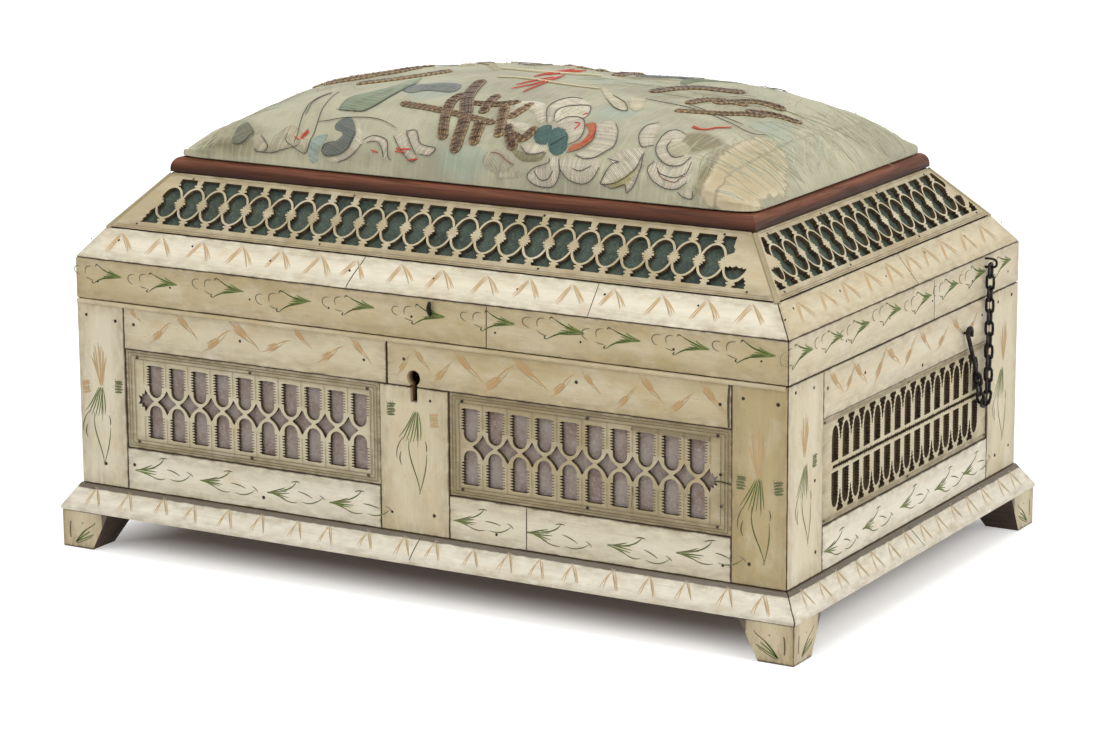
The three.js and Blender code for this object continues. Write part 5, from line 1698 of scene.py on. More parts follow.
    def pins(self) -> None:
        """Drives the pins of the plates."""
        stile = node_panel("front_stile_left", Side.FRONT)
        for x, z in ((-3.6, 83.2), (62.9, 82.9), (115.7, 81.7), (6.6, 69.9), (7.6, 30.2), (-9.2, 29.4),
                     (126.5, 30.2), (116, 58.5), (116.3, 48), (-117, 32.1), (-70.3, 82), (-19.6, 81.1),
                     (-136, 84.5), (-123.4, 83.4), (-129.5, 31.0), (-115.5, 83.0), (136.4, 84.0), (124.0, 84.6),
                     (-62.0, 27.4), (32.0, 27.0), (117.0, 28.4)):
            self.ornament.pin("case", stile, x, z - stile.low[1])
        face = node_panel("right_stile_front", Side.RIGHT)
        for side in (Side.RIGHT, Side.LEFT):
            panel = replace(face, side=side)
            for x, z in ((-86.8, 87.2), (-73.7, 86.1), (-63.5, 83.8), (-35.5, 83.1), (10.1, 76.2), (-71.4, 30.9),
                         (-72.4, 55.1), (60.0, 84.0), (74.0, 86.0), (86.0, 86.5), (74.0, 30.0), (86.0, 31.0)):
                self.ornament.pin("case", panel, x, z - panel.low[1])
        for side in Side:
            skirt, moulding = Band.SKIRT.panel(side), Band.MOULDING.panel(side)
            for x in self.steps(-side.half + 9, side.half - 9, 31):
                self.ornament.pin("lid", skirt, x, self.rng.uniform(5.0, 8.0), 0.7)
                self.ornament.pin("lid", moulding, x + 6, self.rng.uniform(6.5, 9.5), 0.7)
        for part in ("bottom", "middle", "top"):
            panel = node_panel(f"back_strip_{part}", Side.BACK)
            for x in self.steps(panel.x0 + 5, panel.x1 - 5, 54):
                for v in (3.0, panel.rise - 3.0):
                    self.ornament.pin("case", panel, x, v, 0.9)

    def build(self) -> None:
        """Lays out every side."""
        for part in (self.front, self.ends, self.back, self.feet, self.pins, self.ornament.build):
            part()


# Rods and cords


def cord_tree() -> GeometryNodeTree:
    """Makes the tree that turns paths into round rods.

    The base mesh is made of edges. Its points carry the rod's radius. The result has the map
    "stroke", in millimetres along the rod and once round it.
    """
    tree, given = tree_with("Rods along paths", {"Sides": "NodeSocketInt", "Material": "NodeSocketMaterial"})
    radius = add(tree, "InputNamedAttribute", {"Name": "radius"}, data_type="FLOAT")
    curves = add(tree, "MeshToCurve", {0: given.outputs["Geometry"]})
    sized = add(tree, "SetCurveRadius", {"Curve": curves, "Radius": radius})
    spine = add(tree, "SplineParameter")
    long = add(tree, "StoreNamedAttribute", {
        "Geometry": sized, "Name": "along", "Value": spine.outputs["Length"]}, data_type="FLOAT")
    circle = add(tree, "CurvePrimitiveCircle", {"Resolution": given.outputs["Sides"], "Radius": 1.0})
    turn = add(tree, "SplineParameter")
    marked = add(tree, "StoreNamedAttribute", {
        "Geometry": circle, "Name": "round", "Value": turn.outputs["Factor"]}, data_type="FLOAT")
    rod = add(tree, "CurveToMesh", {"Curve": long, "Profile Curve": marked, "Fill Caps": True, "Scale": radius})
    real = add(tree, "RealizeInstances", {0: rod})
    dressed = add(tree, "SetMaterial", {"Geometry": real, "Material": given.outputs["Material"]})
    add(tree, "GroupOutput", {0: dressed})
    return tree


def spline(row: Sequence[Vector], steps: int) -> list[Vector]:
    """Gives points of a smooth curve from a row's second point up to, but not at, its last but one."""
    found = []
    for a, b, c, d in zip(row, row[1:], row[2:], row[3:]):
        for t in (i / steps for i in range(steps)):
            found.append(0.5 * (2 * b + (c - a) * t + (2 * a - 5 * b + 4 * c - d) * t * t
                                + (3 * b - a - 3 * c + d) * t ** 3))
    return found


def tapered(radius: float, taper: float, count: int) -> list[float]:
    """Gives the radius at each of a rod's points, which is down to a share of itself at both ends."""
    swells = (max(0.0, math.sin(math.pi * i / (count - 1))) ** 0.5 for i in range(count))
    return [radius * (taper + (1 - taper) * swell) for swell in swells]


@dataclass
class Path:
    """A round rod's middle line, with its radius at each point, in millimetres."""

    points: list[tuple[float, float, float]]
    radii: list[float]
    dye: str = "#ffffff"

    @staticmethod
    def smooth(points: Sequence, radius: float, steps: int = 6, taper: float = 1.0, dye: str = "#ffffff") -> "Path":
        """Runs a smooth curve through points.

        Args:
            points: The points, in millimetres.
            radius: The rod's radius.
            steps: Pieces between two points.
            taper: Share of the radius that is left at both ends.
            dye: Colour of the rod, if its finish reads one.

        Returns:
            The path.
        """
        row = [Vector(p) for p in points]
        found = spline([2 * row[0] - row[1], *row, 2 * row[-1] - row[-2]], steps) + row[-1:]
        return Path([tuple(p) for p in found], tapered(radius, taper, len(found)), dye)


@dataclass
class Rods:
    """Makes rods, wires and cords with the rod tree."""

    tree: GeometryNodeTree

    def mesh(self, name: str, paths: Sequence[Path], finish: Finish, sides: int = 8) -> Mesh:
        """Makes one mesh of all paths.

        Args:
            name: The mesh's name.
            paths: The rods' middle lines.
            finish: Their finish.
            sides: Number of flats round a rod.

        Returns:
            The mesh, with the map "stroke", and the colour "dye" of each path.
        """
        points, edges, radii, dyes = [], [], [], []
        for path in paths:
            first = len(points)
            points += [Vector(p) * MM for p in path.points]
            edges += [(first + i, first + i + 1) for i in range(len(path.points) - 1)]
            radii += [r * MM for r in path.radii]
            dyes += [srgb(path.dye)] * len(path.points)
        base = new_mesh(name, points, (), edges)
        write_attribute(base, "radius", "FLOAT", radii)
        write_attribute(base, "dye", "FLOAT_COLOR", dyes)
        mesh = grown(in_scene(name, base), self.tree, {"Sides": sides, "Material": finish.material()})
        along, turn = (read(mesh.attributes[name].data, "value") for name in ("along", "round"))
        write_uv(mesh, "stroke", np.stack([along / MM, turn], axis=1))
        face_outwards(mesh)
        return mesh


def map_rod(mesh: Mesh, tone: float = 0.5) -> None:
    """Gives a bone rod the maps that the bone finish reads."""
    stroke = read(mesh.uv_layers["stroke"].data, "uv", 2)
    mesh.uv_layers.new(name="plate").data.foreach_set("uv", stroke.ravel())
    count = len(mesh.vertices)
    write_attribute(mesh, "edge", "FLOAT_COLOR", [(9.0, 9.0, 3.0, 3.0)] * count)
    write_attribute(mesh, "tone", "FLOAT", [tone] * count)


def thin_slab(name: str, matrix: Matrix, outline: Sequence[Point], thickness: float) -> Mesh:
    """Makes a closed flat slab below an outline and stands it with a matrix."""
    count = len(outline)
    points = [(x, y, 0) for x, y in outline] + [(x, y, -thickness) for x, y in outline]
    faces = [tuple(range(count)), tuple(range(2 * count - 1, count - 1, -1))]
    faces += [(i, i + count, (i + 1) % count + count, (i + 1) % count) for i in range(count)]
    mesh = new_mesh(name, points, faces)
    mesh.transform(matrix)
    return mesh


@dataclass
class Linings:
    """Paper behind the pierced plates of the case, and cloth behind those of the lid."""

    paper: float = 0.12
    behind: float = 2.05
    edge_gap: float = 0.3
    cloth_depth: float = 1.72
    cloth_short: Point = (10.5, 26.0)
    cloth_hem: float = 0.8
    cloth_steps: int = 24

    def build(self) -> None:
        """Hangs every lining."""
        for node, side, finish in (("front_fret_left", Side.FRONT, PAPER), ("front_fret_right", Side.FRONT, PAPER),
                                   ("right_fret", Side.RIGHT, BROWN_PAPER), ("left_fret", Side.LEFT, BROWN_PAPER)):
            panel = node_panel(node, side)
            gap = self.edge_gap
            sheet = rectangle(panel.x0 + gap, panel.x1 - gap, gap, panel.rise - gap)
            mesh = thin_slab(f"{node}_paper", panel.sunk(self.behind).place(0, 0), sheet, self.paper)
            finish_piece(f"{node}_paper", mesh, "case", [finish])
        for side in Side:
            panel = Band.HIP.panel(side)
            low, high = (side.half - short for short in self.cloth_short)
            steps, hem = self.cloth_steps, self.cloth_hem
            outline = [(-low + 2 * low * i / steps, hem) for i in range(steps + 1)]
            outline += [(high - 2 * high * i / steps, panel.rise - hem) for i in range(steps + 1)]
            mesh = new_mesh(f"lid_cloth_{side.name.lower()}", [(x, y, 0) for x, y in outline],
                            [(i, i + 1, 2 * steps - i, 2 * steps + 1 - i) for i in range(steps)])
            mesh.transform(panel.place(0, 0, -self.cloth_depth))
            piece = finish_piece(mesh.name, mesh, "lid", [CLOTH])


@dataclass
class Trims:
    """Bone beads on the lid's hips and on the case's front edge, and the stud over the keyhole."""

    rods: Rods
    hip_radius: float = 1.15
    hip_sink: float = 1.1
    seam_radius: float = 0.8

    def build(self) -> None:
        """Makes the beads and the stud."""
        (reach, foot), (inner, top), _ = Band.HIP.value
        hips = []
        for sx in (-1, 1):
            for sy in (-1, 1):
                ends = [(sx * (HALVES[0] + reach - k * (reach - inner)), sy * (HALVES[1] + reach - k * (reach - inner)),
                         foot + k * (top - foot) - self.hip_sink) for k in (0.02, 0.35, 0.7, 1.0)]
                hips.append(Path.smooth(ends, self.hip_radius, 3))
        mesh = self.rods.mesh("lid_hip_beads", hips, FRET_BONE)
        map_rod(mesh, 1.2)
        finish_piece("lid_hip_beads", mesh, "lid", [])
        seam = Path.smooth([(x, -92.05, 89.35) for x in np.linspace(-139.5, 139, 12)], self.seam_radius, 2)
        mesh = self.rods.mesh("case_seam_bead", [seam], BONE)
        map_rod(mesh, 0.7)
        finish_piece("case_seam_bead", mesh, "case", [])
        stud = Path.smooth([(7.5, -92.6, 99.3), (7.5, -93.3, 100.8), (7.5, -93.6, 102.2), (7.5, -93.0, 104.2)],
                           0.85, 4, 0.45)
        finish_piece("lid_front_stud", self.rods.mesh("lid_front_stud", [stud], IRON), "lid", [])


@dataclass
class CushionRail:
    """Half-round rail of four mitred lengths round the pincushion, held by pins."""

    ornament: Ornament
    inset: float = 24.5
    width: float = 6.0
    low: float = 133.65
    height: float = 5.0

    def section(self) -> list[Point]:
        """Draws the rail's section: distance inwards from the outer edge, and height."""
        rows = [(0.0, 0.0), (-0.0, 1.0)]
        rows += [(self.width / 2 * (1 - math.cos(a)), 1.0 + (self.height - 1.0) * math.sin(a))
                 for a in (math.pi * i / 14 for i in range(1, 14))]
        return rows + [(self.width, 1.0), (self.width, 0.0)]

    def build(self) -> None:
        """Makes the four lengths and their pins."""
        rng = random.Random(31)
        points, faces, slots = [], [], []
        section = self.section()
        count = len(section)
        for side in Side:
            half = side.half - self.inset
            first = len(points)
            stations = [-1.0, *np.linspace(-0.985, 0.985, 14), 1.0]
            for share in stations:
                wave = rng.uniform(-0.12, 0.12) if abs(share) < 0.98 else 0.0
                for inward, up in section:
                    local = Vector((share * (half - inward), -(side.reach - self.inset - inward) - wave,
                                    self.low + up + wave * 0.6))
                    points.append(side.turn @ local * MM)
            for s in range(len(stations) - 1):
                for i in range(count):
                    a, b = first + s * count + i, first + s * count + (i + 1) % count
                    faces.append((a, b, b + count, a + count))
                    slots.append(side.value % 2)
            faces += [tuple(first + i for i in range(count))[::-1],
                      tuple(first + (len(stations) - 1) * count + i for i in range(count))]
            slots += [side.value % 2] * 2
        mesh = new_mesh("cushion_rail_wood", points, faces)
        mesh.polygons.foreach_set("material_index", slots)
        face_outwards(mesh)
        piece = finish_piece("cushion_rail_wood", mesh, "lid", [], ["cushion_rail"], 40.0)
        for finish in (RAIL_X, RAIL_Y):
            piece.data.materials.append(finish.material())
        self.drive_pins(rng)

    def drive_pins(self, rng: random.Random) -> None:
        """Drives pins into the rail's crown and face."""
        for side in Side:
            half = side.half - self.inset
            middle = (-self.inset - self.width / 2, self.low + self.height)
            crown = Panel(side, -half, half, middle, (middle[0] - 1, middle[1]))
            xs = (-104, -68, -29.5, 8, 41, 73, 106) if side is Side.FRONT else np.linspace(-half + 8, half - 8, 5)
            for x in xs:
                self.ornament.pin("lid", crown, x + rng.uniform(-1, 1), rng.uniform(-0.5, 0.5), 0.9)


@dataclass
class StayChain:
    """Chain of bent iron wire that stays the lid: two strands, the hook, its staple and its pin."""

    rods: Rods
    tree: GeometryNodeTree
    x: float = 142.1
    pivot: Point = (61.7, 101.0)
    wire: float = 0.55
    link_radius: float = 1.35
    straight: float = 1.22
    long_links: int = 12
    short_links: int = 4
    turn: float = 3.8
    lean: float = 21.0
    hook_lean: float = 28.0
    shank: float = 18.7
    crook: float = 1.7

    @property
    def bearing(self) -> float:
        """Distance from a link's middle to the point where it bears on the next."""
        return self.straight + self.link_radius - self.wire * 0.9

    def link(self) -> Mesh:
        """Makes one oval link, in metres, long in Z and flat in the XZ plane."""
        points, faces = [], []
        around, sides = 16, 6
        for i in range(around):
            a = 2 * math.pi * i / around
            for k in range(sides):
                b = 2 * math.pi * k / sides
                reach = self.link_radius + self.wire * math.cos(b)
                lift = math.copysign(self.straight, math.sin(a)) if abs(math.sin(a)) > 1e-6 else 0.0
                points.append((reach * math.cos(a) * MM, self.wire * math.sin(b) * MM,
                               (reach * math.sin(a) + lift) * MM))
                faces.append((i * sides + k, (i + 1) % around * sides + k,
                              (i + 1) % around * sides + (k + 1) % sides, i * sides + (k + 1) % sides))
        return new_mesh("chain_link", points, faces)

    def ahead(self, point: Point, heading: float, distance: float) -> Point:
        """Steps from a point. A heading of zero points down and grows towards the front."""
        return (point[0] - distance * math.sin(heading), point[1] - distance * math.cos(heading))

    def strand(self, start: Point, count: int, headings: Sequence[float]) -> tuple[list[Placement], Point]:
        """Places the links of one strand, every other one turned, and gives its end."""
        placements, contact = [], start
        for i in range(count):
            before = self.straight if i == 0 else self.bearing
            heading = headings[i]
            middle = self.ahead(contact, heading, before)
            matrix = Matrix.Translation((self.x * MM, middle[0] * MM, middle[1] * MM)) \
                @ Matrix.Rotation(-heading, 4, "X") @ Matrix.Rotation(0 if i % 2 else math.pi / 2, 4, "Z")
            placements.append(Placement(matrix, 0))
            contact = self.ahead(middle, heading, self.bearing)
        return placements, contact

    def headings(self, count: int, straight: float, start: float, stop: float) -> list[float]:
        """Gives each link's heading along a strand that turns after a straight part."""
        travelled = [self.straight + 2 * self.bearing * i for i in range(count)]
        arc_length = self.turn * math.pi / 2
        return [start + (stop - start) * min(max((t - straight) / arc_length, 0), 1) for t in travelled]

    def build(self) -> None:
        """Makes the strands, the hook, the staple and the pin."""
        shapes = shape_collection("chain_links", [self.link()])
        length = self.straight + 2 * self.bearing * self.long_links
        down = self.headings(self.long_links, length - self.turn * math.pi / 2, 0, math.pi / 2)
        placements, elbow = self.strand(self.pivot, self.long_links, down)
        mesh = placed_shapes("stay_chain_links", placements, shapes, IRON, self.tree)
        finish_piece("stay_chain_links", mesh, "chain", [], ["stay_chain"], 50.0)
        rising = math.pi - math.radians(self.lean)
        placements, end = self.strand(elbow, self.short_links, self.headings(self.short_links, 0, math.pi / 2, rising))
        mesh = placed_shapes("return_chain_links", placements, shapes, IRON, self.tree)
        finish_piece("return_chain_links", mesh, "hook", [], ["chain_hook"], 50.0)
        self.build_hook(self.ahead(end, rising, -self.wire))

    def build_hook(self, start: Point) -> None:
        """Bends the hook, the staple on the lid and the pin on the case."""
        heading = math.pi - math.radians(self.hook_lean)
        top = self.ahead(start, heading, self.shank)
        middle = (top[0] + self.crook, top[1])
        row = [start, self.ahead(start, heading, self.shank * 0.33), self.ahead(start, heading, self.shank * 0.7)]
        row += [(middle[0] + self.crook * math.cos(a), middle[1] + self.crook * math.sin(a))
                for a in (math.pi * (1 - i / 4) for i in range(5))]
        row.append((middle[0] + self.crook, middle[1] - 1.6))
        hook = Path.smooth([(self.x, y, z) for y, z in row], 0.82, 5, 0.75)
        eye = [(self.x, start[0] + 1.25 * math.cos(a), start[1] - 0.9 + 1.25 * math.sin(a))
               for a in (math.pi / 2 + 2 * math.pi * i / 8 for i in range(9))]
        mesh = self.rods.mesh("chain_hook_wire", [hook, Path.smooth(eye, 0.5, 2)], IRON)
        finish_piece("chain_hook_wire", mesh, "hook", [])
        y, z = self.pivot
        bend = self.x + self.wire + 0.2
        root = HALVES[0] - 0.1
        staple = [(root, y, z), (bend, y, z), (bend + 1.3, y, z + 0.6), (bend + 1.5, y, z + 1.5),
                  (bend + 1.3, y, z + 2.4), (bend, y, z + 3.0), (root, y, z + 3.0)]
        mesh = self.rods.mesh("chain_staple_wire", [Path.smooth(staple, 0.45, 4)], IRON)
        finish_piece("chain_staple_wire", mesh, "lid", [], ["chain_staple"])
        stump = Path.smooth([(139.8, middle[0], middle[1] - 0.2), (141.3, middle[0], middle[1] - 0.2)], 0.5, 2)
        finish_piece("hook_pin", self.rods.mesh("hook_pin", [stump], IRON), "case", [])


@dataclass
class Carcass:
    """CAD solids that keep their shape: boards, lid frame, hinges and lock."""

    def build(self) -> None:
        """Gives each CAD solid its finish."""
        for node, made in frame["nodes"].items():
            finish = self.finish_of(node)
            if finish:
                made.data.materials.clear()
                made.data.materials.append(finish.material())
                LOG.info("%s: %s", node, finish.name)

    def finish_of(self, node: str) -> Finish | None:
        """Gives the finish of a CAD node, or None if the node has a piece of its own."""
        if node in ("case_wall_right", "case_wall_left"):
            return PINE_Y
        if node.startswith("case_") or node == "lid_frame":
            return PINE_X
        if node.startswith("hinge_"):
            return IRON
        return BRASS if node.startswith("lock_") else None


# Pincushion and its embroidery


# The drawing lies on a canvas that leans over one half of the cushion: x along the box and w up the canvas, in
# millimetres. The back half is worked like the front.


YARNS = {
    "white": "#d3cab3", "pale": "#c2b99c", "faint": "#bdb69c", "teal": "#4d6d66", "orange": "#c8774a",
    "olive": "#8b8763", "yellow": "#c0b47c", "slate": "#73776f", "sky": "#a5b3a5", "sage": "#939c80",
    "grey": "#88866f", "ink": "#3d3a33", "rose": "#8c4b3c", "cream": "#ded4b2", "red": "#cf4a2e",
}
# Width and middle line of each bar of gold cord.
GOLD_BARS = [
    (2.2, ((-29.9, -22.6), (-11.4, -24.7), (6.7, -26.9))),
    (3, ((-14.4, -11.8), (-13.2, -20.2), (-7.2, -36.2))),
    (3.8, ((-17.8, 3.4), (-11.2, -12.4), (-3.3, -26.9), (-0.7, -40.2))),
    (2, ((-5.5, -16.5), (3.3, -16.3), (9.7, -14.2))),
    (2.9, ((-1.2, -10.6), (0.1, -20.8))),
    (3.2, ((7.1, -18.3), (13.4, -33.1))),
    (3.5, ((3.1, -27.9), (5.2, -36.5))),
    (2.4, ((15.2, -15), (12.9, -23.5))),
    (3.1, ((15.2, -29.7), (20.6, -37.6))),
    (2.4, ((19, -33.1), (23.2, -34), (24.7, -29.1))),
    (3.6, ((44.7, 13.2), (51.3, 24.6), (64.6, 30.2))),
    (2.6, ((62.2, 6), (65, 14.7), (74.9, 16.4))),
    (3.3, ((68.2, 13), (74.4, 21.5), (83.5, 22.9))),
    (3.2, ((80.3, 11.9), (85.8, 15.9), (91.8, 17.6))),
    (2.1, ((-83.7, 13.4), (-80.4, 19.4), (-75.4, 25.8), (-68, 31.7))),
    (1.6, ((-73.4, 27.7), (-69.3, 30.9), (-64.2, 33.8))),
]
# Yarn and outline of each field of satin stitch, and which of its points have an ink outline: from, up to.
PETALS = [
    ("white", ((30.3, -24.3), (27.8, -18.4), (29.2, -13.8), (36.5, -11.8), (40.4, -18.9), (39.9, -21.5),
        (34, -21.4)), (0, 6)),
    ("white", ((28.4, -25.7), (23.4, -17), (22.3, -10), (24.9, -5.6), (30, -6), (36.6, -11.1), (30.4, -11.4),
        (27.3, -16.7), (29.3, -22.6)), (0, 5)),
    ("white", ((31.9, -25.6), (34, -21.5), (38.5, -21), (41.7, -23.5), (44.3, -29.1), (44.4, -33.5), (41.5, -35.7),
        (39.4, -30.9)), (0, 7)),
    ("orange", ((42.8, -24.7), (45, -23), (47.7, -26.5), (49.2, -32.3), (47.2, -35.9), (42.8, -38.1), (42.5, -36.2),
        (46, -33.6), (46.2, -28.7))),
    ("white", ((47.1, -24.7), (49, -21.6), (52.6, -22.1), (56.3, -27.2), (58.1, -33.6), (56, -36.8), (53, -39.8),
        (49.1, -40.7), (46, -39.5), (49.7, -35.8), (50.1, -31.3)), (2, 9)),
    ("teal", ((26.7, -32.8), (26.1, -28.8), (28.5, -26.7), (30.9, -27.2), (32.8, -32.7), (32.6, -35.6),
        (29.8, -35.9))),
    ("teal", ((32.5, -33.1), (31.8, -29.7), (33.4, -27.8), (36.6, -27.9), (40.3, -33.1), (41.3, -37.7), (38.8, -40),
        (35.4, -38.3))),
    ("white", ((23.7, -37.3), (24.6, -35.9), (28.9, -35.7), (33.3, -36.5), (33.5, -38.9), (30.2, -40),
        (26.8, -39.7))),
    ("white", ((11.6, -24.1), (10.9, -19.4), (10, -13.8), (14.7, -11.7), (20.5, -13.8), (26.7, -24.1), (24.7, -25.4),
        (20.1, -20), (13.8, -17.1), (13.1, -21.2), (15, -26.1), (19.5, -26.3), (22.5, -26.8), (22.8, -30.2),
        (18.9, -30), (14.5, -28))),
    ("olive", ((20.5, -38.8), (24.6, -39.4), (29.2, -40.4), (34.1, -39), (33.5, -41.7), (29.4, -42.5), (25, -42.2))),
    ("white", ((29.3, -46.1), (32, -44.2), (36.5, -42.9), (36.7, -40.9), (40.2, -41), (41.7, -44.9), (41, -47.6),
        (38.9, -49.3), (33.5, -49.2), (29.8, -47.9))),
    ("white", ((40.5, -41.1), (41.7, -44.5), (45.2, -47), (51.1, -47.9), (54.7, -45.8), (56.1, -42.9), (54.4, -40.1),
        (46.9, -40.4))),
    ("faint", ((11.2, -44), (12.5, -40.7), (16, -39.8), (20.9, -43.2), (23.2, -43.9), (19.3, -46.3), (13.8, -46.1))),
    ("faint", ((16.5, -46.6), (19.3, -46.1), (25.7, -45.6), (26.4, -47), (21.6, -48), (18.2, -48.1))),
    ("white", ((57.6, -39), (59.3, -36.4), (62.2, -34.3), (67.9, -32.4), (69.2, -35.6), (68.2, -41.7), (63.6, -45.8),
        (57.5, -47.2), (57.9, -45.2), (60.1, -40.7))),
    ("yellow", ((59.4, -47), (62.7, -45), (67.1, -42.6), (69.4, -41.2), (67.4, -45.5), (66.6, -47.1), (62.4, -47.5))),
    ("white", ((69.3, -34.5), (70.8, -39), (70.4, -44.1), (67.5, -48.7), (66.2, -46.6), (68.7, -43.1))),
    ("white", ((65.4, -17.3), (63.2, -21.1), (64.1, -27.7), (67.2, -32), (70.8, -30.6), (69.3, -26.6),
        (68.3, -21.8))),
    ("white", ((78, -22.1), (74, -20.3), (71.7, -23.4), (71.8, -30.3), (74.4, -35.3), (79.2, -38.1), (84.3, -37.5),
        (85.5, -33.1), (83.1, -33.5), (79.7, -34.8), (75.9, -31.4), (75.7, -28.3), (78.6, -26.2))),
    ("pale", ((78.7, -26.4), (76, -28.3), (76.1, -31.3), (79.7, -34.6), (83.3, -33.3), (83.6, -29.4))),
    ("white", ((74.1, -37.4), (72.6, -40.5), (75.2, -43.9), (80, -46.1), (84.9, -46.4), (88.6, -44.5), (88.6, -39.4),
        (86.6, -35.2), (82.1, -38.4)), (0, 6)),
    ("white", ((85.8, -47.1), (88.4, -46.6), (91.4, -46.6), (91.4, -48.7), (88.7, -48.5))),
    ("pale", ((28.7, 6.7), (38.3, -4.5), (45.2, -10.7), (50.1, -11.5), (46.2, -5.3), (37.6, 1), (28.1, 9.4))),
    ("pale", ((44.1, -1), (46.1, 2.4), (48.9, 1.4), (53.4, -7.2), (51.9, -10.5))),
    ("pale", ((28.4, -17.6), (29.9, -13.1), (36, -12.3), (39.9, -17.3), (40.4, -21.8), (34.5, -20.3), (31.3, -22.4))),
    ("slate", ((-50.7, -37.1), (-49.5, -33.7), (-45.5, -32.8), (-41.2, -39.3), (-42.2, -44.2), (-45.9, -46.2),
        (-50.8, -47), (-53.2, -45.4), (-52.2, -43.2), (-48.3, -42.5), (-46, -39.7)), (7, 10), (3, 8)),
    ("white", ((-43.1, -33.9), (-40.2, -35.8), (-37, -42.7), (-40.3, -46.3), (-46.3, -48.4), (-50, -47.8),
        (-44, -46.1), (-40.3, -42.9), (-41, -38.6)), (2, 5)),
    ("sky", ((-57.6, -48.5), (-58.8, -44.7), (-57.6, -40.8), (-53, -39.5), (-52.7, -42.7), (-54.5, -44.9),
        (-54.5, -48.4))),
    ("white", ((-36.8, -41.3), (-33.4, -38.9), (-28.1, -40.2), (-26.2, -45), (-24.9, -46), (-27.9, -45.8),
        (-29.4, -42.1), (-32.6, -40.9), (-36.1, -42.4)), (0, 5)),
    ("white", ((-26.3, -38.1), (-22.5, -36.2), (-19, -41.3), (-14, -45.3), (-17.2, -45.8), (-21.9, -42.7))),
    ("slate", ((-42, -8.8), (-41.4, -4.9), (-36.3, -5.4), (-31.4, -11.9), (-34, -13.9))),
    ("slate", ((-37.2, -12.3), (-39.7, -5.8), (-34.5, -3.4), (-29.4, 0), (-22.1, -1.3), (-19.4, -9.6), (-29.1, -10.6),
        (-32.4, -13.2))),
    ("sage", ((-53.4, -28.5), (-54.8, -20.1), (-49.5, -12.9), (-46.1, -6.3), (-45.7, 6.5), (-40.3, -2.8),
        (-38.5, -18.3), (-42.3, -27.9), (-47.9, -28.8))),
    ("white", ((-21.9, -35.7), (-18.3, -35.2), (-14.2, -40.4), (-8, -41.5), (-9.6, -43.9), (-14.1, -43.9),
        (-17.8, -41.7)), (0, 6)),
    ("pale", ((-81.4, -46.5), (-81.7, -43.7), (-80.5, -41.2), (-75.9, -45.1), (-76.8, -47.2)), (2, 5)),
    ("pale", ((-75, -46.6), (-68.9, -45.8), (-63.8, -43.9), (-59.8, -46.2), (-61.4, -41.4), (-69.5, -36.3),
        (-74, -39.8), (-75.5, -43.5))),
    ("grey", ((-90.1, -45.9), (-92.2, -40.6), (-90.6, -35.3), (-84.2, -40), (-84.2, -44.4))),
]
